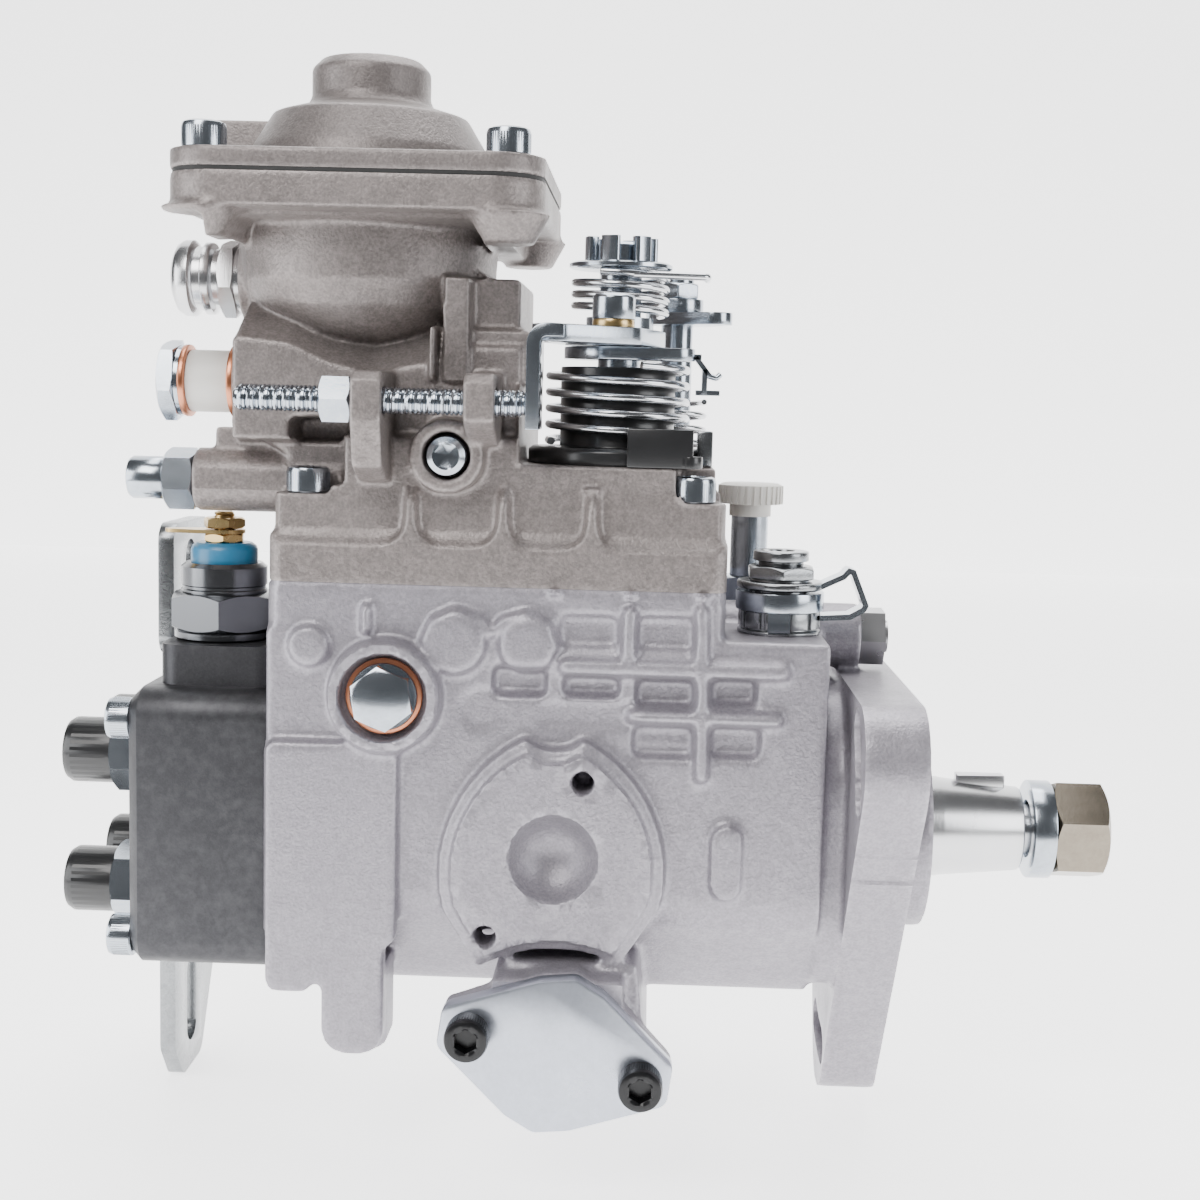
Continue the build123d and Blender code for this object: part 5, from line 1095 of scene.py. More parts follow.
@dataclass(frozen=True)
class HousingRelief:
    """Ribs, pads and pockets cast on the near flank of the housing.

    The flank is reshaped within fields, apart from kept. raised and sunk are measured from plain.
    """

    plain: float = -41.0
    nearest: float = -45.5
    farthest: float = -39.5
    facing: float = 0.4
    fields: tuple = (
        Field(0, (-147.0, 26.5), (-45.0, 60.8)),
        Field(0, (-46.0, 18.0), (-22.0, 49.6)),
        Field(0, (-116.0, 18.0), (-45.0, 27.0)),
    )
    kept: tuple = (Bead(0, 13.2, ((-121.3, 36.6),)), Bead(0, 28.5, ((-81.8, 0.6),)))
    raised: tuple = (
        Bead(2.5, 1.2, ((-125.8, 51.6), (-125.8, 56.3))),
        Bead(2.2, 4.7, ((-139.0, 47.4),)),
        Bead(3.0, 7.2, ((-105.6, 49.2),)),
        Bead(3.0, 6.5, ((-88.9, 49.0),)),
        Bead(2.5, 0.8, ((-112.9, 48.8), (-110.6, 54.2), (-105.6, 56.6), (-99.8, 54.8), (-97.1, 51.2))),
        Bead(2.5, 0.8, ((-97.1, 51.2), (-94.6, 54.6), (-89.3, 56.2), (-84.4, 54.0), (-82.4, 48.9))),
        Bead(2.5, 1.8, ((-80.0, 44.5), (-30.8, 44.5))),
        Bead(2.5, 1.6, ((-65.8, 46.6), (-65.8, 57.0))),
        Bead(2.5, 1.6, ((-49.6, 57.8), (-48.5, 20.0))),
        Bead(2.5, 1.5, ((-64.5, 33.5), (-31.8, 33.5))),
    )
    sunk: tuple = (
        Field(-1.8, (-81.6, 48.9), (-68.5, 56.0)),
        Field(-1.8, (-64.0, 48.7), (-50.8, 56.2)),
        Field(-3.4, (-96.8, 37.2), (-84.5, 43.7)),
        Field(-3.4, (-80.6, 37.3), (-67.8, 42.2)),
        Field(-3.4, (-64.0, 35.5), (-50.3, 41.9)),
        Field(-3.4, (-47.0, 36.3), (-36.5, 42.4)),
        Field(-2.8, (-64.4, 23.8), (-50.3, 31.0)),
        Field(-2.8, (-46.7, 24.3), (-35.3, 31.2)),
        Bead(-0.5, 4.9, ((-99.2, 33.9),)),
        Field(-0.6, (-86.0, 30.2), (-64.0, 36.4)),
    )

    @staticmethod
    def extend(shape: Shape) -> None:
        """Adds the raised rim of the near pivot bolt's seat.

        Args:
            shape: the housing's shape.
        """
        rim = turned((13.4, -1.0), (13.0, 5.0), (12.0, 6.0), (10.2, 6.0), (9.9, 5.4), (9.9, -1.0))
        x, z = LAYOUT.pivot
        shape.rings(rim, seat(x, -LAYOUT.wall, z, Way.NEAR), 72, loop=True)

    def carve(self, points: np.ndarray, facing: np.ndarray) -> None:
        """Moves the flank's points to the forms' heights.

        Args:
            points: the casting's points in millimetres, changed in place.
            facing: how far each point's skin faces away from the near side, from -1 to 1.
        """
        x, y, z = points.T
        share = spread(self.fields, x, z) * (1.0 - spread(self.kept, x, z))
        rise = np.max([form.height * soft(form.gap(x, z)) for form in self.raised], axis=0)
        sink = np.min([form.height * soft(form.gap(x, z)) for form in self.sunk], axis=0)
        moved = (y > self.nearest) & (y < self.farthest) & (facing < self.facing)
        target = self.plain - rise - sink
        points[:, 1] = np.where(moved, y + share * (target - y), y)


@dataclass(frozen=True)
class CoverRelief:
    """Near wall of the governor cover: ledge, ribs, tower wall and the round bowl above it.

    Y is smaller nearer to the front. open_space is a Y behind everything, where a form has no wall.
    """

    plain: float = -41.0
    nearest: float = -42.6
    farthest: float = -22.0
    wall_back: float = -34.2
    facing: float = 0.3
    open_space: float = 40.0
    reach_x: tuple = (-159.5, -44.0)
    reach_z: tuple = (62.4, 144.0)
    hollow: tuple = ((116.0, 0.0), (117.0, 14.0), (141.0, 28.9))
    bowl: tuple = (
        (104.0, 0.1),
        (110.0, 4.0),
        (114.0, 12.5),
        (119.0, 21.0),
        (125.0, 27.5),
        (131.0, 30.5),
        (146.0, 31.5),
    )
    bowl_wall: float = 3.4
    brow: tuple = (
        (-160.0, 117.5),
        (-146.0, 116.0),
        (-137.0, 112.0),
        (-127.6, 109.5),
        (-113.0, 112.5),
        (-104.0, 116.0),
    )
    brow_lean: float = 1.7
    lean_limit: float = -18.0
    inset: tuple = ((62.0, 0.0), (70.6, 0.0), (72.2, 1.6), (74.2, 2.7), (84.0, 3.6), (95.6, 3.2))
    ribs: tuple = (-116.3, -95.2, -75.0)
    rib_half: float = 1.3
    rib_flare: float = 4.5
    rib_foot: float = 71.0
    rib_fade: float = 1.8
    rib_top: float = 83.0
    ends: tuple = (-145.0, -48.0)
    tower: tuple = (-134.5, -92.4)
    right_low: float = 90.0
    shelf: float = 93.6
    upper_wall: float = -32.0
    upper_low: float = 95.7
    pocket: Field = Field(0, (-146.0, 93.6), (-131.0, 99.2))
    pocket_floor: float = -20.0
    columns: tuple = (
        (Field(0, (-110.6, 108.0), (-104.2, 132.2)), -33.5),
        (Field(0, (-113.6, 108.0), (-111.4, 120.8)), -35.5),
        (Field(0, (-104.8, 108.0), (-93.1, 131.9), 0.8), -28.0),
        (Field(0, (-104.8, 108.0), (-90.2, 120.0), 0.8), -30.5),
    )
    blocks: tuple = (
        ((11.7, 43.0, 24.0), (-98.95, -6.5, 119.9)),
        ((14.5, 45.0, 12.0), (-97.45, -7.5, 114.0)),
        ((36.5, 10.0, 10.8), (-74.5, -32.6, 84.4)),
        ((46.0, 55.0, 9.8), (-70.0, 0.0, 84.9)),
        ((8.0, 26.0, 44.0), (-154.6, -11.5, 118.0)),
    )
    boss_z: tuple = (118.0, 144.0)
    rim_top: float = 88.0
    rim_y: float = 27.0
    rim_x: tuple = (-135.4, -54.4, -40.0)

    def extend(self, shape: Shape) -> None:
        """Adds what the solid leaves plain: the fuller bowl, the stepped blocks and the deck's near edge.

        Args:
            shape: the cover's shape.
        """
        heights = self.bowl[2:]
        skin = [circle(radius, height) for height, radius in heights]
        lining = [circle(radius - self.bowl_wall, height + 2.0) for height, radius in reversed(heights[:-1])]
        shape.rings(skin + [circle(28.0, 146.0)] + lining, seat(*LAYOUT.boost, 0), 90, loop=True)
        for x, y in LAYOUT.bowl_screws:
            shape.rings(turned((6.0, 138.6), (9.8, 145.6)), seat(x, y, 0))
        for size, middle in self.blocks:
            shape.box(size, seat(*middle))

    def carve(self, points: np.ndarray, facing: np.ndarray) -> None:
        """Moves the near wall's points back or forward to its forms.

        Args:
            points: the casting's points in millimetres, changed in place.
            facing: how far each point's skin faces away from the near side, from -1 to 1.
        """
        x, y, z = points.T
        left, right = self.tower
        floor = LAYOUT.cover_face
        low = z < np.where(x > right, self.right_low, np.where(x < left, floor + 2.0, self.upper_low))
        hollow = np.hypot(x - LAYOUT.boost[0], y - LAYOUT.boost[1]) < np.interp(z, *zip(*self.hollow))
        moved = (y > self.nearest) & (facing < self.facing) & ~hollow
        moved &= (z > self.reach_z[0]) & (z < self.reach_z[1]) & (x > self.reach_x[0]) & (x < self.reach_x[1])
        moved &= y < np.where(low, self.wall_back, self.farthest)
        wall = np.where(low, self._lower_wall(x, y, z), self._upper_wall(x, y, z))
        points[:, 1] = np.where(moved, wall, y)
        boss = (x < LAYOUT.union_face) & (z > self.boss_z[0]) & (z < self.boss_z[1])
        points[:, 0] = np.where(boss, LAYOUT.union_face, x)
        outer = (x < self.rim_x[0]) | ((x > self.rim_x[1]) & (x < self.rim_x[2]))
        rim = (z > floor) & (z < self.rim_top) & (np.abs(y) > self.rim_y) & outer
        points[:, 2] = np.where(rim, floor, z)

    def _lower_wall(self, x: np.ndarray, y: np.ndarray, z: np.ndarray) -> np.ndarray:
        """Finds the ribbed wall below the tower.

        Args:
            x: places along X.
            y: places along Y.
            z: places along Z.

        Returns:
            The wall's Y at each place.
        """
        half = self.rib_half + self.rib_flare * np.exp(-(z - self.rib_foot).clip(0, None) / self.rib_fade)
        rib = np.max([soft(np.abs(x - middle) - half) for middle in self.ribs], axis=0)
        rib = rib * (1.0 - soft(self.rib_top - z, 3.0))
        wall = self.plain + np.interp(z, *zip(*self.inset)) * (1.0 - rib)
        return np.where((x < self.ends[0]) | (x > self.ends[1]), np.maximum(y, wall), wall)

    def _upper_wall(self, x: np.ndarray, y: np.ndarray, z: np.ndarray) -> np.ndarray:
        """Finds the tower's wall, which leans back at its brow, with its pocket, bowl and columns.

        Args:
            x: places along X.
            y: places along Y.
            z: places along Z.

        Returns:
            The nearest form's Y at each place, or y where there is none.
        """
        left, right = self.tower
        lean = self.upper_wall + self.brow_lean * (z - np.interp(x, *zip(*self.brow))).clip(0, None)
        wall = np.where((lean < self.lean_limit) & (x < right), lean, self.open_space)
        wall = np.where(soft(self.pocket.gap(x, z), 0.4) > 0.5, self.pocket_floor, wall)
        reach = np.interp(z, *zip(*self.bowl)) ** 2 - (x - LAYOUT.boost[0]) ** 2
        inside = (reach > 0) & (z > self.bowl[0][0])
        bowl = LAYOUT.boost[1] - np.sqrt(reach.clip(0, None))
        wall = np.minimum(wall, np.where(inside, bowl, self.open_space))
        for field, height in self.columns:
            wall = np.where(field.gap(x, z) < 0, np.minimum(wall, height), wall)
        shelf = (x < left) & (z < self.shelf)
        return np.where(shelf | (wall >= self.open_space), y, wall)


# ---------------------------------------------------------------- pieces
# Points closer than MERGE metres are joined, and so are faces that meet within FLAT degrees.
ROOT = "pump_body"
MERGE = 1e-7
FLAT = 0.4


def place_piece(made: bpy.types.Object, body: str, nodes: Sequence[str]) -> bpy.types.Object:
    """Ties a finished piece to the frame.

    Args:
        made: the piece, in the row's frame.
        body: CAD body that it moves with.
        nodes: CAD nodes that it stands for.

    Returns:
        The piece.
    """
    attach(made, body)
    if nodes:
        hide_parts(*nodes)
    LOG.info("piece %s: %d faces on %s", made.name, len(made.data.polygons), body)
    return made


def node_shape(node: str) -> Shape:
    """Starts a shape from a merged copy of a CAD node's mesh.

    Args:
        node: the node's name.

    Returns:
        The shape, in millimetres.
    """
    shape = Shape()
    shape.bm.from_mesh(frame["nodes"][node].data)
    bmesh.ops.remove_doubles(shape.bm, verts=shape.bm.verts, dist=MERGE)
    bmesh.ops.dissolve_limit(
        shape.bm,
        angle_limit=math.radians(FLAT),
        verts=shape.bm.verts,
        edges=shape.bm.edges,
        use_dissolve_boundaries=False,
    )
    shape.bm.transform(Matrix.Scale(1 / MM, 4))
    return shape


@dataclass(frozen=True)
class Refined:
    """A CAD node shown by its own merged copy with rounded edges."""

    node: str
    body: str
    finish: Finish
    bevel: float

    def build(self) -> bpy.types.Object:
        """Builds the piece.

        Returns:
            The placed piece.
        """
        shape = node_shape(self.node)
        made = shape.build(self.node + "_skin", self.finish, self.bevel)
        return place_piece(made, self.body, (self.node,))


@dataclass(frozen=True)
class Casting:
    """A cast node, remade on a fine grid so that its inner and outer corners are round.

    faces are its machined planes as (axis number, millimetres), which stay flat and sharp. grid is
    in millimetres, rounds is how often the corners are eased, and face_reach is the share of the grid
    within which a point belongs to a plane.
    """

    node: str
    finish: Finish
    grid: float
    rounds: int
    faces: tuple
    triangles: int
    extra: Optional[Callable[[Shape], None]] = None
    carve: Optional[Callable[[np.ndarray, np.ndarray], None]] = None
    face_reach: float = 0.55
    sharp: float = 48.0

    def build(self) -> bpy.types.Object:
        """Builds the piece.

        Returns:
            The placed piece.
        """
        shape = node_shape(self.node)
        if self.extra:
            self.extra(shape)
        made = self._gridded(shape.build(self.node + "_cast", self.finish))
        if self.carve:
            points = self._points(made) / MM
            normals = np.zeros(points.size)
            made.data.vertex_normals.foreach_get("vector", normals)
            self.carve(points, normals.reshape(-1, 3)[:, 1])
            made.data.vertices.foreach_set("co", (points * MM).ravel())
            made = self._gridded(made)
        made = self._thinned(self._eased(made))
        made.data.materials.clear()
        made.data.materials.append(self.finish.material())
        shade(made.data, self.sharp)
        return place_piece(made, ROOT, (self.node,))

    def _eased(self, made: bpy.types.Object) -> bpy.types.Object:
        """Rounds the casting's corners and puts its machined planes back.

        Args:
            made: the casting.

        Returns:
            The same object.
        """
        before = self._points(made)
        smooth = made.modifiers.new("cast", "SMOOTH")
        smooth.factor = 0.5
        smooth.iterations = self.rounds
        made = evaluated(made)
        after = self._points(made)
        for axis, height in self.faces:
            on_face = np.abs(before[:, axis] - height * MM) < self.grid * MM * self.face_reach
            after[on_face, axis] = height * MM
        made.data.vertices.foreach_set("co", after.ravel())
        return made

    def _thinned(self, made: bpy.types.Object) -> bpy.types.Object:
        """Brings the casting down to its number of triangles.

        Args:
            made: the casting.

        Returns:
            The same object.
        """
        count = sum(len(face.vertices) - 2 for face in made.data.polygons)
        if count > self.triangles:
            thin = made.modifiers.new("thin", "DECIMATE")
            thin.ratio = self.triangles / count
            made = evaluated(made)
        return made

    def _gridded(self, made: bpy.types.Object) -> bpy.types.Object:
        """Remakes an object's skin on the fine grid.

        Args:
            made: the object.

        Returns:
            The same object.
        """
        remesh = made.modifiers.new("grid", "REMESH")
        remesh.mode = "VOXEL"
        remesh.voxel_size = self.grid * MM
        return evaluated(made)

    @staticmethod
    def _points(made: bpy.types.Object) -> np.ndarray:
        """Reads an object's vertices.

        Args:
            made: the object.

        Returns:
            Their places, one row each.
        """
        points = np.zeros(len(made.data.vertices) * 3)
        made.data.vertices.foreach_get("co", points)
        return points.reshape(-1, 3)


@dataclass(frozen=True)
class Built:
    """A piece grown from plain forms that stands for CAD nodes."""

    name: str
    body: str
    finish: Finish
    grow: Callable[[Shape], None]
    nodes: tuple = ()
    bevel: float = 0.0

    def build(self) -> bpy.types.Object:
        """Builds the piece.

        Returns:
            The placed piece.
        """
        shape = Shape()
        self.grow(shape)
        made = shape.build(self.name, self.finish, self.bevel)
        return place_piece(made, self.body, self.nodes)


@dataclass(frozen=True)
class Coil:
    """A spring of round wire that stands for a CAD node. Its places are in millimetres.

    A spring with a second body in towards is attached to neither body; its place is baked into its points.
    """

    node: str
    body: str
    radius: float
    wire: float
    height: float
    turns: float
    places: tuple
    towards: str = ""

    def build(self) -> bpy.types.Object:
        """Builds the spring.

        Returns:
            The placed piece.
        """
        values = {
            "Radius": self.radius * MM,
            "Wire": self.wire / 2 * MM,
            "Height": (self.height - self.wire) * MM,
            "Turns": self.turns,
        }
        wound = SHOP.run(Former.COIL, values, SPRING.material())
        shape = Shape()
        for place in self.places:
            shape.add(wound, lifted(place, self.wire / 2))
        made = shape.build(self.node + "_coil", SPRING, sharp=60)
        if not self.towards:
            return place_piece(made, self.body, (self.node,))
        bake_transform(made)
        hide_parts(self.node)
        faces = len(made.data.polygons)
        LOG.info("piece %s: %d faces from %s to %s", made.name, faces, self.body, self.towards)
        return made


def socket_screw(shape: Shape, place: Matrix, reach: float) -> None:
    """Adds a knurled M6 socket screw, its head standing on the place.

    Args:
        shape: what it is added to.
        place: its seat, its own Z out of the head.
        reach: length of the shank below the seat.
    """
    radius, tall, shank, socket = 5.0, 6.0, 3.0, 4.9
    skirt = radius - 0.05
    foot = turned((shank, -reach), (shank, 0), (radius - 0.35, 0), (skirt, 0.35), (skirt, tall - 1.0))
    crown = turned((radius - 0.3, tall - 0.35), (radius - 1.0, tall), (radius * 0.62, tall))
    shape.rings(foot + crown + [hexagon(socket, tall - 0.4), hexagon(socket, tall - 3.0)], place)
    shape.flutes(radius - 0.16, 52, 0.7, tall - 1.3, place, 0.3)


def hex_nut(shape: Shape, place: Matrix, flats: float, tall: float, hole: float) -> None:
    """Adds a nut with chamfered corners at both ends.

    Args:
        shape: what it is added to.
        place: its lower face.
        flats: width across flats.
        tall: its height.
        hole: radius of its hole.
    """
    rim = flats / 2 * 0.97
    chamfer = 0.5
    sides = [hexagon(flats, 0.15, -0.6), hexagon(flats, tall - 0.15, 0.6)]
    bore = turned((hole + chamfer, tall), (hole, tall - chamfer), (hole, chamfer))
    outlines = turned((hole + chamfer, 0), (rim, 0)) + sides + turned((rim, tall)) + bore
    shape.rings(outlines, place, 72, loop=True)


def hex_head(shape: Shape, place: Matrix, flats: float, tall: float, dish: float = 0.0) -> None:
    """Adds a hexagon head with chamfered top corners.

    Args:
        shape: what it is added to.
        place: its seat.
        flats: width across flats.
        tall: its height.
        dish: depth of the round hollow in its top.
    """
    sides = [hexagon(flats, 0.1, -0.2), hexagon(flats, tall - 0.15, 0.6)]
    outlines = turned((flats / 2 * 0.98, 0)) + sides + turned((flats / 2 * 0.95, tall))
    if dish:
        outlines += turned((flats * 0.34, tall), (flats * 0.31, tall - dish))
    shape.rings(outlines, place, 72)


@dataclass(frozen=True)
class DriveGroup:
    """Taper shaft with its key, washer and nut."""

    body: str = "drive"
    shoulder: float = 15.0
    journal: float = 12.5
    core: float = 6.1
    thread: float = 7.0
    pitch: float = 1.5
    claw: tuple = (10.0, 7.5, 9.0)
    claw_at: tuple = (-76.0, 11.25)
    washer_at: float = 35.2
    nut_at: float = 40.7
    nut_flats: float = 22.0

    def pieces(self) -> list:
        """Lists the group's pieces.

        Returns:
            The pieces to build.
        """
        return [
            Built("taper_shaft", self.body, BRIGHT, self._shaft, ("drive_shaft",)),
            Refined("shaft_key", self.body, BRIGHT, 0.3),
            Built("spring_washer", self.body, ZINC, self._washer, ("lock_washer",), 0.35),
            Built("taper_nut", self.body, YELLOW, self._nut, ("shaft_nut",)),
        ]

    def _shaft(self, shape: Shape) -> None:
        """Adds the turned shaft with its thread and the two claws at its inner end.

        Args:
            shape: the shape that takes it.
        """
        place = seat(0, 0, 0, Way.OUT)
        shoulder = turned((self.shoulder, -71), (self.shoulder, -67.5))
        journal = turned((self.journal, -67.5), (self.journal, 12.6))
        taper = turned((12.3, 13.0), (10.5, 32.6), (10.2, 33.0))
        end = turned((self.core, 33.0), (self.core, 36.0), (self.core, 53.2), (5.4, 54.0))
        shape.rings(shoulder + journal + taper + end, place, 96)
        shape.thread(self.thread, self.pitch, 36.5, 53.0, place)
        for side in (-1, 1):
            shape.box(self.claw, seat(self.claw_at[0], side * self.claw_at[1], 0))

    def _washer(self, shape: Shape) -> None:
        """Adds the spring washer."""
        shape.tube(12.3, 7.2, 5.5, seat(self.washer_at, 0, 0, Way.OUT), 90)

    def _nut(self, shape: Shape) -> None:
        """Adds the taper nut."""
        hex_nut(shape, seat(self.nut_at, 0, 0, Way.OUT, 10), self.nut_flats, 13.3, 7.02)


@dataclass(frozen=True)
class TimingGroup:
    """Covers and screws of the timing device."""

    corners: tuple = ((-25.0, 9.7), (-3.7, 17.4), (4.6, 18.0), (11.0, 14.3), (26.6, -2.8), (25.6, -9.5))
    screws: tuple = ((-99.4, -37.0), (-60.4, -47.0))
    thick: float = 5.0
    rounding: float = 3.0

    def pieces(self) -> list:
        """Lists the group's pieces.

        Returns:
            The pieces to build.
        """
        return [
            Built("timing_cover_plates", ROOT, BRIGHT_ZINC, self._plates, ("timing_covers",), 0.7),
            Built("timing_cover_screws", ROOT, BLACK_STEEL, self._screws, ("timing_screws",)),
        ]

    def _plates(self, shape: Shape) -> None:
        """Adds both plates, with round corners.

        Args:
            shape: the shape that takes them.
        """
        circles = []
        for x, z in self.corners + tuple((-x, -z) for x, z in self.corners):
            share = 1.0 - self.rounding / math.hypot(x, z)
            circles.append((x * share, z * share, self.rounding))
        outline = [(x + LAYOUT.timing[0], z + LAYOUT.timing[1]) for x, z in hull(circles, 24)]
        across = Matrix(((1, 0, 0, 0), (0, 0, 1, 0), (0, 1, 0, 0), (0, 0, 0, 1)))
        for low in (-LAYOUT.timing_face - self.thick, LAYOUT.timing_face):
            shape.slab(outline, low, low + self.thick, across)

    def _screws(self, shape: Shape) -> None:
        """Adds two socket screws in each plate.

        Args:
            shape: the shape that takes them.
        """
        face = LAYOUT.timing_face + self.thick
        for x, z in self.screws:
            socket_screw(shape, seat(x, -face, z, Way.NEAR), reach=12)
            socket_screw(shape, seat(x, face, z, Way.FAR), reach=12)


@dataclass(frozen=True)
class CoverGroup:
    """Governor cover with its screws, plugs and connections. Each line is its (Y, Z)."""

    cover_screws: tuple = ((-52.0, -33.0), (-52.0, 33.0), (-141.0, -33.0), (-141.0, 33.0))
    bowl_flange: float = 158.0
    idle_line: tuple = (-47.5, 103.5)
    full_load_line: tuple = (-20.0, 83.7)
    full_load_face: float = -170.0
    overflow_line: tuple = (-20.0, 106.9)
    washer: float = 1.5
    cover_faces: tuple = ((2, 62.0), (2, 152.7))
    dome_faces: tuple = ((2, 153.7),)

    def pieces(self) -> list:
        """Lists the group's pieces.

        Returns:
            The pieces to build.
        """
        relief = CoverRelief()
        return [
            Casting("governor_cover", COVER, 0.62, 4, self.cover_faces, 190000, relief.extend, relief.carve),
            Casting("aneroid_cover", DOME, 0.6, 3, self.dome_faces, 90000),
            Built("cover_socket_screws", ROOT, ZINC, self._screws, ("cover_screws",)),
            Built("side_plug_screw", ROOT, ZINC, self._plug, ("side_plug",)),
            Built("idle_stop_screw", ROOT, ZINC, self._idle, ("idle_screw",)),
            Built("stop_screw_nuts", ROOT, ZINC, self._nuts, ("lock_nuts",)),
            Built("full_load_cap", ROOT, ZINC, self._full_load, ("full_load_screw",)),
            Built("overflow_bolt_head", ROOT, ZINC, self._overflow, ("overflow_bolt",)),
            Built("overflow_transit_sleeve", ROOT, WHITE, self._sleeve, ("transit_sleeve",), 0.3),
            Built("sealing_washers", ROOT, COPPER, self._washers, ("copper_washers",), 0.35),
            Built("return_pipe_union", ROOT, BRIGHT, self._union, ("return_union",)),
            Built("pivot_bolt_heads", ROOT, ZINC, self._pivots, ("pivot_bolts",)),
        ]

    def _screws(self, shape: Shape) -> None:
        """Adds the socket screws of the cover and of the boost bowl.

        Args:
            shape: the shape that takes them.
        """
        for x, y in self.cover_screws:
            socket_screw(shape, seat(x, y, LAYOUT.cover_face), reach=20)
        for x, y in LAYOUT.bowl_screws:
            socket_screw(shape, seat(x, y, self.bowl_flange), reach=14)

    @staticmethod
    def _plug(shape: Shape) -> None:
        """Adds the button-headed plug in the side boss, plain on its face.

        Args:
            shape: the shape that takes it.
        """
        head = turned((3.0, -13.0), (3.0, 0), (4.6, 0), (4.7, 1.2), (4.3, 2.2), (3.1, 2.9))
        socket = [hexagon(5.0, 2.8), hexagon(5.0, -0.4), circle(0.8, -0.9)]
        shape.rings(head + socket, seat(-107.9, -42.0, 91.5, Way.NEAR, 20))

    def _idle(self, shape: Shape) -> None:
        """Adds the long threaded idle screw.

        Args:
            shape: the shape that takes it.
        """
        place = seat(-154.5, *self.idle_line, Way.OUT)
        shape.rings(turned((2.0, 0), (2.5, 0.5), (2.55, 64.2), (2.1, 64.7)), place)
        shape.thread(3.0, 1.0, 0.9, 64.0, place)

    def _nuts(self, shape: Shape) -> None:
        """Adds the lock nuts of the two stop screws."""
        hex_nut(shape, seat(self.full_load_face, *self.full_load_line, Way.LEFT, 12), 13.0, 7.4, 3.0)
        hex_nut(shape, seat(-128.25, *self.idle_line, Way.LEFT, 30), 10.0, 7.0, 3.0)

    def _full_load(self, shape: Shape) -> None:
        """Adds the cap of the full-load screw.

        Args:
            shape: the shape that takes it.
        """
        shank = turned((3.0, -28.0), (3.0, 7.4))
        cap = turned((4.9, 7.4), (5.1, 7.7), (5.1, 15.4), (4.6, 16.2), (3.6, 16.6), (1.6, 16.6), (1.4, 15.6))
        shape.rings(shank + cap, seat(self.full_load_face, *self.full_load_line, Way.LEFT), 72)

    def _overflow(self, shape: Shape) -> None:
        """Adds the hollow bolt of the overflow.

        Args:
            shape: the shape that takes it.
        """
        place = seat(-173.0, *self.overflow_line, Way.LEFT, 15)
        shape.rings(turned((5.0, -24), (5.0, 0), (8.2, 0), (8.3, 0.9), (7.8, 1.1)), place)
        hex_head(shape, lifted(place, 1.0), 17.0, 4.0, 1.2)

    def _sleeve(self, shape: Shape) -> None:
        """Adds the white transit sleeve in the overflow's place."""
        shape.tube(7.3, 5.05, 10, seat(-161.5, *self.overflow_line, Way.LEFT), 72)

    def _washers(self, shape: Shape) -> None:
        """Adds the copper washers of the overflow and of the pivot bolts.

        Args:
            shape: the shape that takes them.
        """
        for x in (-160.0, -171.5):
            shape.tube(8.5, 5.0, self.washer, seat(x, *self.overflow_line, Way.LEFT), 72)
        x, z = LAYOUT.pivot
        for y, way in ((-LAYOUT.wall - self.washer, Way.NEAR), (LAYOUT.wall, Way.FAR)):
            shape.tube(8.8, 4.0, self.washer, seat(x, y, z, way), 72)

    @staticmethod
    def _union(shape: Shape) -> None:
        """Adds the rounded union of the return pipe.

        Args:
            shape: the shape that takes it.
        """
        place = seat(LAYOUT.union_face, LAYOUT.boost[1], 131.8, Way.LEFT, 15)
        shape.rings(turned((6.0, -7.5), (6.0, 0), (8.0, 0), (8.0, 1.5)), place, 72)
        hex_head(shape, lifted(place, 1.5), 17.0, 4.0)
        neck = turned((3.5, 3.0), (7.2, 5.0), (7.2, 7.0))
        bead = turned((8.5, 7.6), (8.7, 8.0), (8.7, 9.4), (7.7, 9.9), (7.7, 11.6))
        rim = turned((8.9, 12.2), (9.2, 12.6), (9.1, 14.6), (8.3, 16.0))
        mouth = turned((6.4, 17.0), (4.0, 17.0), (3.5, 16.5))
        shape.rings(neck + bead + rim + mouth, place, 84, loop=True)

    def _pivots(self, shape: Shape) -> None:
        """Adds the hexagon bolts of the governor lever's pivot.

        Args:
            shape: the shape that takes them.
        """
        x, z = LAYOUT.pivot
        for y, way in ((-LAYOUT.wall - 2 * self.washer, Way.NEAR), (LAYOUT.wall + self.washer, Way.FAR)):
            place = seat(x, y, z, way, 8)
            shape.rings(turned((4.0, -17.0), (4.0, 0.2)), place)
            shape.rings(turned((7.6, 0), (7.8, 0.3), (7.6, 0.8)), place)
            hex_head(shape, lifted(place, 0.6), 13.0, 4.4)


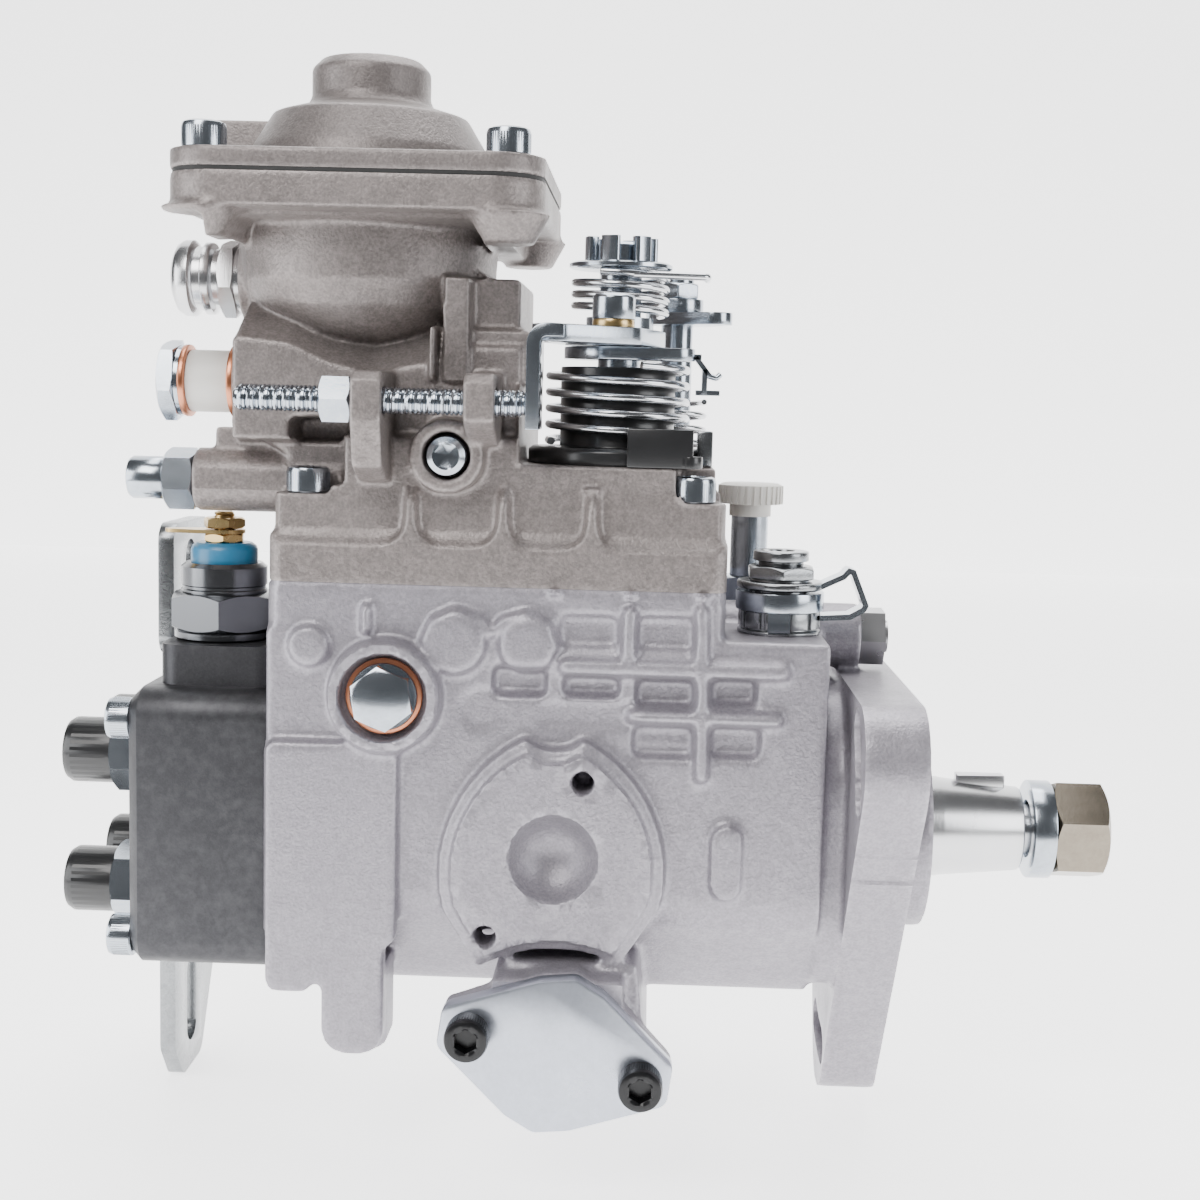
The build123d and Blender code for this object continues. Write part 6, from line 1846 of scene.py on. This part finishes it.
@dataclass(frozen=True)
class HeadGroup:
    """Distributor head with its outlets, plug, bracket and solenoid."""

    outlet: float = 16.263
    screw_rows: tuple = (-25.0, 27.5)
    screw_columns: tuple = ((-32.5, -182.0), (32.5, -186.0))
    stem: tuple = (-165.0, -15.0)
    stem_foot: float = 45.0
    stem_top: float = 63.5
    stud_foot: float = 68.3

    def pieces(self) -> list:
        """Lists the group's pieces.

        Returns:
            The pieces to build.
        """
        return [
            Refined("distributor_head", ROOT, PHOSPHATE, 0.5),
            Refined("rear_bracket", ROOT, ZINC_DULL, 0.4),
            Built("head_socket_screws", ROOT, ZINC, self._screws, ("head_screws",)),
            Built("outlet_holders", ROOT, ZINC, self._holders, ("delivery_valve_holders",)),
            Built("outlet_caps", ROOT, BLACK, self._caps, ("delivery_caps",)),
            Built("central_plug", ROOT, ZINC, self._plug, ("head_plug",)),
            Built("solenoid_case", ROOT, BURNISHED, self._solenoid, ("solenoid_body",)),
            Built("solenoid_cap", ROOT, BLUE, self._cap, ("solenoid_insulator",)),
            Built("solenoid_stud", ROOT, BRASS, self._stud, ("solenoid_terminal",)),
        ]

    def _outlets(self) -> list:
        """Lists the (Y, Z) of the outlets."""
        return [(self.outlet * a, self.outlet * b) for a, b in ((1, 1), (-1, 1), (-1, -1), (1, -1))]

    def _screws(self, shape: Shape) -> None:
        """Adds the socket screws of the head and of the bracket.

        Args:
            shape: the shape that takes them.
        """
        for y, x in self.screw_columns:
            for z in self.screw_rows:
                socket_screw(shape, seat(x, y, z, Way.LEFT), reach=30)

    def _holders(self, shape: Shape) -> None:
        """Adds the delivery valve holders.

        Args:
            shape: the shape that takes them.
        """
        for y, z in self._outlets():
            place = seat(LAYOUT.head_face, y, z, Way.LEFT, 15)
            hex_head(shape, place, 17.0, 9.0)
            shape.rings(turned((8.0, -13.5), (8.0, 0), (6.0, 9.0), (6.0, 19.0)), place)

    def _caps(self, shape: Shape) -> None:
        """Adds the black transit caps over the outlets.

        Args:
            shape: the shape that takes them.
        """
        for y, z in self._outlets():
            place = seat(LAYOUT.head_face - 9.0, y, z, Way.LEFT)
            shape.rings(turned((8.0, 0), (8.0, 10.2), (7.2, 11.5), (3.0, 11.5), (2.8, 12.7)), place)
            shape.flutes(7.85, 30, 1.0, 9.5, place, 0.3)

    @staticmethod
    def _plug(shape: Shape) -> None:
        """Adds the plug in the middle of the head.

        Args:
            shape: the shape that takes it.
        """
        place = seat(LAYOUT.head_face, 0, 0, Way.LEFT)
        collar = turned((11.0, -10), (11.0, 0), (12.4, 0), (12.5, 0.4), (12.5, 2.1), (12.1, 2.5))
        shape.rings(collar, place)
        hex_head(shape, lifted(place, 2.5), 17.0, 6.0, 0.6)

    def _solenoid(self, shape: Shape) -> None:
        """Adds the collar, hexagon and can of the stop solenoid.

        Args:
            shape: the shape that takes them.
        """
        place = seat(*self.stem, self.stem_foot, Way.UP, 8)
        shape.rings(turned((11.3, 0), (11.8, 0.5), (11.8, 1.9), (11.4, 2.3)), place, 72)
        hex_nut(shape, lifted(place, 2.3), 23.5, 9.0, 9.0)
        groove = turned((10.3, 11.3), (10.3, 12.0), (10.0, 12.3), (10.0, 12.9), (10.3, 13.2))
        shape.rings(groove + turned((10.3, 17.5), (9.1, 18.5)), place, 72)

    def _cap(self, shape: Shape) -> None:
        """Adds the insulating cap of the solenoid."""
        shape.rings(turned((8.0, 0), (8.0, 3.1), (7.6, 4.1), (6.6, 4.8)), seat(*self.stem, self.stem_top), 72)

    def _stud(self, shape: Shape) -> None:
        """Adds the terminal stud with its nuts and tag.

        Args:
            shape: the shape that takes them.
        """
        place = seat(*self.stem, self.stud_foot)
        hex_nut(shape, lifted(place, 0.0, 10), 9.0, 2.2, 2.5)
        hex_nut(shape, lifted(place, 3.4, 25), 9.0, 2.6, 2.5)
        shape.rings(turned((2.2, -4), (2.2, 7.2), (1.8, 7.5)), place)
        shape.thread(2.5, 0.8, 0.2, 7.0, place)
        tag = hull([(0, 0, 5.0), (-9.5, -1.2, 2.6), (-12.0, -1.4, 2.0)])
        shape.slab(tag, 2.2, 3.1, place)


@dataclass(frozen=True)
class LeverGroup:
    """Throttle and stop levers with their springs. Heights are along Z."""

    axis: tuple = (-70.5, -15.0)
    stop_axis: tuple = (-56.5, 13.0)
    shaft_foot: float = 71.0
    guide_foot: float = 89.8
    lever_top: float = 121.2
    upper_foot: float = 124.4
    strap_left: float = -89.75
    strap_low: float = 98.0
    strap_thick: float = 3.0
    strap_bend: float = 4.5
    strap_sink: float = 0.15

    def pieces(self) -> list:
        """Lists the group's pieces.

        Returns:
            The pieces to build.
        """
        coil = seat(*self.axis, 94.0, Way.UP, 200)
        upper_coil = seat(*self.axis, self.upper_foot, Way.UP, 30)
        stop_coil = seat(*self.stop_axis, 90.1)
        return [
            Built("spring_housing", ROOT, BLACK, self._sleeve, ("spring_sleeve",), 0.3),
            Coil("throttle_spring", ROOT, 16.3, 1.9, 19.9, 4.75, (coil,)),
            Coil("upper_spring", "throttle", 10.8, 1.9, 11.0, 3.4, (upper_coil,)),
            Built("upper_spring_hook", "throttle", SPRING, self._hook),
            Built("throttle_shaft_cap", "throttle", ZINC, self._shaft, ("throttle_shaft",)),
            Built("throttle_lever_plates", "throttle", ZINC, self._lever, ("throttle_lever",), 0.3),
            Built("lever_spring_catch", "throttle", ZINC, self._catch, (), 0.2),
            Built("clamp_screw_washer", "throttle", BRASS, self._clamp_washer),
            Built("spring_stop_block", ROOT, ZINC_DULL, self._stop_block, (), 0.4),
            Coil("stop_spring", ROOT, 7.5, 1.4, 15.6, 4.0, (stop_coil,)),
            Built("stop_lever_plates", "stop", ZINC, self._stop, ("stop_lever",), 0.25),
        ]

    def _clamp_seat(self) -> Matrix:
        """Gives the clamp screw's seat on the lever."""
        return seat(self.axis[0] - 1, self.axis[1] - 18, self.lever_top)

    def _sleeve(self, shape: Shape) -> None:
        """Adds the black guide inside the throttle spring, with its lug and block.

        Args:
            shape: the shape that takes them.
        """
        x, y = self.axis
        foot = turned((5.5, 0), (21.0, 0), (21.0, 3.2), (20.0, 4.0), (13.6, 4.0), (13.6, 22.7), (5.5, 22.7))
        shape.rings(foot, seat(x, y, self.guide_foot), 84, loop=True)
        lug = hull([(x, y, 20.0), (x + 17, y - 19.5, 3.2)])
        ring = [(a, b) for a, b in lug if math.hypot(a - x, b - y) > 14.5 and b < y]
        outline = ring + [(x + 8, y - 13.7), (x - 8, y - 13.7)]
        shape.slab(outline, self.guide_foot, self.guide_foot + 2.8, seat(0, 0, 0))
        shape.box((15.0, 4.4, 8.8), seat(x + 10.4, y - 20.3, 94.2))

    def _shaft(self, shape: Shape) -> None:
        """Adds the throttle shaft with the castle nut at its top.

        Args:
            shape: the shape that takes them.
        """
        place = seat(*self.axis, 0)
        shape.rings(turned((5.0, self.shaft_foot), (5.0, 138.0)), place)
        shape.rings(turned((8.0, self.shaft_foot), (8.0, 75.0)), place)
        shape.rings(turned((8.0, self.lever_top), (8.0, 124.2)), place)
        shape.rings(turned((11.6, 135.5), (12.2, 135.8), (12.2, 136.6), (11.4, 137.0)), place)
        lug = hull([(7.6, -1.4, 0.9), (7.6, 1.4, 0.9), (6.2, -1.2, 0.6), (6.2, 1.2, 0.6)], 12)
        for step in range(6):
            shape.slab(lug, 136.8, 142.9, lifted(place, 0.0, 60 * step + 12))
        shape.rings(turned((5.0, 138.0), (5.0, 141.2), (4.4, 141.8)), place)

    def _lever(self, shape: Shape) -> None:
        """Adds the throttle lever's stacked plates, its stop's strap and its clamp screw.

        Args:
            shape: the shape that takes them.
        """
        x, y = self.axis
        flat = seat(0, 0, 0)
        hub = hull([(x, y, 13.0), (x + 13, y - 6, 5.0)])
        shape.slab(hub, 114.3, 117.2, flat)
        plate = hull([(x, y, 11.0), (x - 1, y - 18, 7.0), (-83.7, -44.5, 5.5)])
        shape.slab(plate, 117.4, self.lever_top, flat)
        shape.slab(self._strap(), 0, 12.0, seat(0, -41.5, 0, Way.NEAR))
        head = turned((3.0, -2), (3.0, 1.8), (4.8, 1.8), (4.9, 2.0), (4.9, 6.9), (4.2, 7.6), (3.2, 7.6))
        shape.rings(head + [hexagon(5.0, 7.3), hexagon(5.0, 4.6)], self._clamp_seat())

    def _strap(self) -> list:
        """Draws the bent strap that meets the idle screw.

        Returns:
            Its outline as (X, Z) points. Its inner end is sunk a little into the lever's plate.
        """
        left, bend, top = self.strap_left, self.strap_bend, self.lever_top
        inside = bend - self.strap_thick
        steps = [math.radians(angle) for angle in range(0, 91, 15)]
        x, z = left + bend, top - bend
        outer = [(x - bend * math.cos(a), z + bend * math.sin(a)) for a in steps]
        inner = [(x - inside * math.cos(a), z + inside * math.sin(a)) for a in reversed(steps)]
        end = [(left + 8.0, top - self.strap_sink), (left + 8.0, top - self.strap_thick)]
        return [(left, self.strap_low)] + outer + end + inner + [(left + self.strap_thick, self.strap_low)]

    def _hook(self, shape: Shape) -> None:
        """Adds the straight end of the upper spring's wire with its bent tip.

        Args:
            shape: the shape that takes it.
        """
        x, y = self.axis
        path = [(x + 3.0, y - 10.4, 133.9), (x + 20.4, y - 4.5, 134.0), (x + 20.6, y + 1.0, 133.9)]
        shape.wire(path, 0.9, 1.5)

    def _catch(self, shape: Shape) -> None:
        """Adds the bent strip, hook and tab under the lever's outer end.

        Args:
            shape: the shape that takes them.
        """
        x, y = self.axis[0], self.axis[1] - 5.0
        shape.box((5.0, 4.0, 1.2), seat(x + 17.0, y, 115.4))
        lean = seat(x + 19.9, y, 113.2) @ Matrix.Rotation(math.radians(52), 4, "Y")
        shape.box((5.6, 4.0, 1.1), lean)
        shape.box((1.2, 4.0, 6.0), seat(x + 20.4, y, 109.6))
        shape.wire([(x + 20.6, y, 111.3), (x + 23.2, y, 110.6), (x + 24.2, y, 111.6)], 0.7, 0.6)
        shape.box((5.6, 3.6, 1.2), seat(x + 21.2, y, 107.1))

    def _clamp_washer(self, shape: Shape) -> None:
        """Adds the brass washer under the clamp screw."""
        outlines = turned((4.7, 0), (4.8, 0.2), (4.8, 1.6), (4.7, 1.8), (3.1, 1.8), (3.1, 0))
        shape.rings(outlines, self._clamp_seat(), loop=True)

    @staticmethod
    def _stop_block(shape: Shape) -> None:
        """Adds the plain block on the deck behind the black guide's lug."""
        shape.box((3.6, 7.0, 8.4), seat(-49.6, -22.0, 94.0))

    def _stop(self, shape: Shape) -> None:
        """Adds the stop lever on its shaft.

        Args:
            shape: the shape that takes it.
        """
        x, y = self.stop_axis
        place = seat(x, y, 0)
        shape.rings(turned((4.0, self.shaft_foot), (4.0, 136.3), (3.4, 137.0)), place)
        shape.rings(turned((6.0, self.shaft_foot), (6.0, 74.5)), place)
        shape.slab(hull([(x, y, 8.0), (x + 9, y - 10, 4.5)]), 124.0, 127.0, seat(0, 0, 0))
        shape.rings(turned((6.5, 127.0), (6.5, 130.5)), place)
        hex_nut(shape, lifted(place, 130.5), 10.0, 4.0, 4.0)


@dataclass(frozen=True)
class DeckGroup:
    """Pressure valve, its bail and the fuel inlet on the front deck."""

    valve: tuple = (-30.5, -20.0)
    inlet: tuple = (-36.0, 19.0)
    cap_foot: float = 25.0
    flutes: int = 10
    bail: tuple = (
        (-21.4, 62.2),
        (-15.8, 64.9),
        (-14.6, 66.3),
        (-13.6, 66.0),
        (-10.4, 58.2),
        (-10.9, 57.2),
        (-14.0, 55.4),
        (-21.2, 54.9),
    )
    bail_thick: float = 1.3
    bail_wide: float = 7.0

    def pieces(self) -> list:
        """Lists the group's pieces.

        Returns:
            The pieces to build.
        """
        return [
            Built("pressure_valve", ROOT, ZINC_DULL, self._valve, ("regulating_valve",), 0.25),
            Built("bail_clip", ROOT, ZINC, self._clip, ("valve_clip",)),
            Built("inlet_stub", ROOT, ZINC, self._stub, ("inlet_union",)),
            Built("inlet_transit_cap", ROOT, WHITE, self._cap, ("inlet_cap",)),
        ]

    def _valve(self, shape: Shape) -> None:
        """Adds the fluted barrel, disc, nut and nose of the pressure valve.

        Args:
            shape: the shape that takes them.
        """
        place = seat(*self.valve, LAYOUT.deck)
        barrel = turned((7.0, -7.5), (7.0, 0), (9.9, 0), (9.9, 0.8), (9.2, 1.1), (9.2, 5.6))
        shape.rings(barrel, place)
        flute = hull([(9.0, -2.0, 0.5), (9.0, 2.0, 0.5), (8.4, 0, 0.5)], 8)
        for step in range(self.flutes):
            shape.slab(flute, 1.4, 5.3, lifted(place, 0.0, 360 / self.flutes * step + 8))
        shape.rings(turned((7.0, 5.5), (7.0, 13.0)), place)
        shape.rings(turned((9.6, 10.4), (10.3, 10.8), (10.3, 12.0), (9.8, 12.4)), place)
        hex_head(shape, lifted(place, 12.8), 15.0, 3.2)
        nose = turned((5.4, 16.0), (5.4, 17.0), (6.6, 17.2), (6.6, 19.2), (6.2, 19.5))
        shape.rings(nose + turned((3.2, 19.5), (3.0, 17.5)), place)

    def _clip(self, shape: Shape) -> None:
        """Adds the rough ring with its lug and the bent bail.

        Args:
            shape: the shape that takes them.
        """
        ring = turned((10.4, 5.6), (10.5, 6.0), (10.5, 9.6), (10.4, 9.9), (7.1, 9.9), (7.1, 5.6))
        shape.rings(ring, seat(*self.valve, LAYOUT.deck), 72, loop=True)
        shape.box((5.2, 1.6, 4.6), seat(-31.2, -29.6, 54.3))
        shape.slab(strip(self.bail, self.bail_thick), 0, self.bail_wide, seat(0, -16.5, 0, Way.NEAR))

    def _stub(self, shape: Shape) -> None:
        """Adds the fuel inlet's stub.

        Args:
            shape: the shape that takes it.
        """
        place = seat(*self.inlet, LAYOUT.deck, Way.UP, 10)
        shape.rings(turned((7.0, -7.5), (7.0, 0), (8.0, 0), (8.0, 1.5)), place)
        hex_head(shape, lifted(place, 1.5), 14.0, 8.0)
        shape.rings(turned((4.8, 9.0), (4.8, 31.5)), place)

    def _cap(self, shape: Shape) -> None:
        """Adds the ribbed white transit cap on the inlet.

        Args:
            shape: the shape that takes it.
        """
        place = seat(*self.inlet, LAYOUT.deck + self.cap_foot)
        shape.rings(turned((5.4, 0), (5.4, 3.0), (7.9, 3.2), (8.1, 8.0), (7.2, 8.5)), place)
        shape.flutes(8.0, 30, 3.3, 7.9, place, 0.9)


@dataclass(frozen=True)
class InsideGroup:
    """Springs inside the pump, remade with round wire."""

    boost_foot: float = 118.0
    timing_height: float = -44.0
    plunger_foot: float = -143.0
    plunger_reach: float = 19.0
    plunger_height: float = -8.0

    def pieces(self) -> list:
        """Lists the group's pieces.

        Returns:
            The pieces to build.
        """
        boost = seat(*LAYOUT.boost, self.boost_foot)
        timing = seat(LAYOUT.timing[0], LAYOUT.timing_face, self.timing_height, Way.NEAR)
        foot, reach, height = self.plunger_foot, self.plunger_reach, self.plunger_height
        plunger = tuple(seat(foot, side * reach, height, Way.OUT) for side in (-1, 1))
        return [
            Coil("aneroid_spring", ROOT, 6.6, 1.4, 32.7, 6.0, (boost,), "boost_pin"),
            Coil("timing_spring", ROOT, 5.5, 1.6, 37.0, 5.0, (timing,), "advance"),
            Coil("plunger_springs", ROOT, 4.0, 1.4, 42.25, 6.0, plunger),
        ]


@dataclass(frozen=True)
class PumpGroup:
    """Pump housing. Its machined faces are given as (axis number, millimetres)."""

    faces: tuple = ((0, 0.0), (0, 8.0), (0, -14.0), (0, -149.0), (1, -47.0), (1, -52.0), (1, 52.0), (2, 62.0))

    def pieces(self) -> list:
        """Lists the group's pieces."""
        relief = HousingRelief()
        return [Casting("pump_housing", HOUSING, 0.7, 5, self.faces, 195000, relief.extend, relief.carve)]


SLOT_FINISHES = (
    HOUSING, COVER, DOME, PHOSPHATE, ZINC, BRIGHT, YELLOW, BLACK_STEEL, SPRING,
    INNER, PISTON, COPPER, BRASS, BLUE, WHITE, BLACK, RUBBER,
)


def paint_carried_nodes(slots: dict) -> None:
    """Gives every CAD node that is still shown its slot's finish.

    Args:
        slots: slot name to finish.
    """
    slot_of = {part["node"]: part["material_slot"] for part in frame["record"]["subparts"]}
    for name, node in frame["nodes"].items():
        if node.hide_render:
            continue
        finish = slots[slot_of[name]]
        node.data.materials.clear()
        node.data.materials.append(finish.material())
        LOG.info("carried node %s: %s", name, finish.name)


# ---------------------------------------------------------------- studio
@dataclass(frozen=True)
class Studio:
    """Pale floor, soft lights and the camera. Lengths are in millimetres and angles in degrees.

    Each lamp is given as its name, place, side, power in watts and colour.
    """

    lamps: tuple = (
        ("key", (-330, -560, 620), 420, 5.2, (1.0, 0.985, 0.97)),
        ("left strip", (-620, -260, 160), 360, 2.2, (0.97, 0.985, 1.0)),
        ("right strip", (560, -330, 220), 360, 2.4, (0.97, 0.985, 1.0)),
        ("top", (-60, 110, 640), 480, 4.6, (1.0, 1.0, 1.0)),
    )
    lamp_aim: tuple = (-70, 0, 50)
    world_light: float = 0.15
    camera_at: tuple = (-62.04, -423.77, 104.78)
    heading: float = 1.6
    down: float = 6.7
    roll: float = 1.5
    lens: float = 51.0
    floor_at: float = -77.2
    floor_reach: float = 2000.0
    sweep_at: float = 1500.0
    floor_glow: float = 2.2

    def build(self) -> None:
        """Builds floor, lights, world and camera."""
        self._floor()
        self._world()
        for lamp in self.lamps:
            self._lamp(*lamp)
        self._camera()

    def _floor(self) -> None:
        """Adds the glowing floor and the wall that it runs up to, behind the pump."""
        mesh = bpy.data.meshes.new("floor")
        reach = self.floor_reach * MM
        height = self.floor_at * MM
        front = self.camera_at[1] * MM
        behind = self.sweep_at * MM
        rows = [(-reach, front, height), (reach, front, height)]
        rows += [(reach, behind, height), (-reach, behind, height)]
        rows += [(reach, behind, 2 * reach), (-reach, behind, 2 * reach)]
        mesh.from_pydata(rows, [], [(0, 1, 2, 3), (3, 2, 4, 5)])
        material = bpy.data.materials.new("Pale floor")
        material.use_nodes = True
        skin = material.node_tree.nodes["Principled BSDF"]
        skin.inputs["Base Color"].default_value = (0.86, 0.86, 0.86, 1)
        skin.inputs["Roughness"].default_value = 0.6
        skin.inputs["Emission Color"].default_value = (1, 1, 1, 1)
        skin.inputs["Emission Strength"].default_value = self.floor_glow
        mesh.materials.append(material)
        floor = bpy.data.objects.new("floor", mesh)
        bpy.context.scene.collection.objects.link(floor)
        floor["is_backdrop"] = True

    def _world(self) -> None:
        """Adds the pale surroundings."""
        world = bpy.data.worlds.new("studio")
        world.use_nodes = True
        back = world.node_tree.nodes["Background"]
        back.inputs["Color"].default_value = (0.93, 0.94, 0.96, 1)
        back.inputs["Strength"].default_value = self.world_light
        bpy.context.scene.world = world

    def _lamp(self, name: str, at: Point, size: float, power: float, colour: tuple) -> None:
        """Adds a soft square lamp aimed at the pump.

        Args:
            name: its name.
            at: its place.
            size: its side.
            power: its power in watts.
            colour: its colour.
        """
        lamp = bpy.data.lights.new(name, "AREA")
        lamp.size = size * MM
        lamp.energy = power
        lamp.color = colour
        holder = bpy.data.objects.new(name, lamp)
        spot = Vector(at) * MM
        aim = Vector(self.lamp_aim) * MM - spot
        holder.location = spot
        holder.rotation_mode = "QUATERNION"
        holder.rotation_quaternion = aim.to_track_quat("-Z", "Y")
        bpy.context.scene.collection.objects.link(holder)
        holder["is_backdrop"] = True

    def _camera(self) -> None:
        """Adds the camera."""
        heading, down, roll = (math.radians(value) for value in (self.heading, self.down, self.roll))
        level = math.cos(down)
        forward = Vector((-math.sin(heading) * level, math.cos(heading) * level, -math.sin(down)))
        right = forward.cross(Vector((0, 0, 1))).normalized()
        over = right.cross(forward)
        turned_right = math.cos(roll) * right + math.sin(roll) * over
        turned_over = math.cos(roll) * over - math.sin(roll) * right
        data = bpy.data.cameras.new("camera")
        data.lens = self.lens
        data.sensor_width = 36.0
        data.clip_start = 0.01
        camera = bpy.data.objects.new("camera", data)
        camera.matrix_world = Matrix(
            (
                (turned_right.x, turned_over.x, -forward.x, self.camera_at[0] * MM),
                (turned_right.y, turned_over.y, -forward.y, self.camera_at[1] * MM),
                (turned_right.z, turned_over.z, -forward.z, self.camera_at[2] * MM),
                (0, 0, 0, 1),
            )
        )
        bpy.context.scene.collection.objects.link(camera)
        bpy.context.scene.camera = camera


def corners() -> list:
    """Reads the shown object's box."""
    return [list(corner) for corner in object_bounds()]


def main() -> None:
    """Builds the whole scene."""
    logging.basicConfig(level=logging.INFO, format="%(name)s %(message)s")
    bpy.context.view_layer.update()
    groups = (PumpGroup, CoverGroup, HeadGroup, TimingGroup, DriveGroup, LeverGroup, DeckGroup, InsideGroup)
    for group in groups:
        for piece in group().pieces():
            piece.build()
    paint_carried_nodes({finish.slot: finish for finish in SLOT_FINISHES})
    Studio().build()


if __name__ == "__main__":
    main()
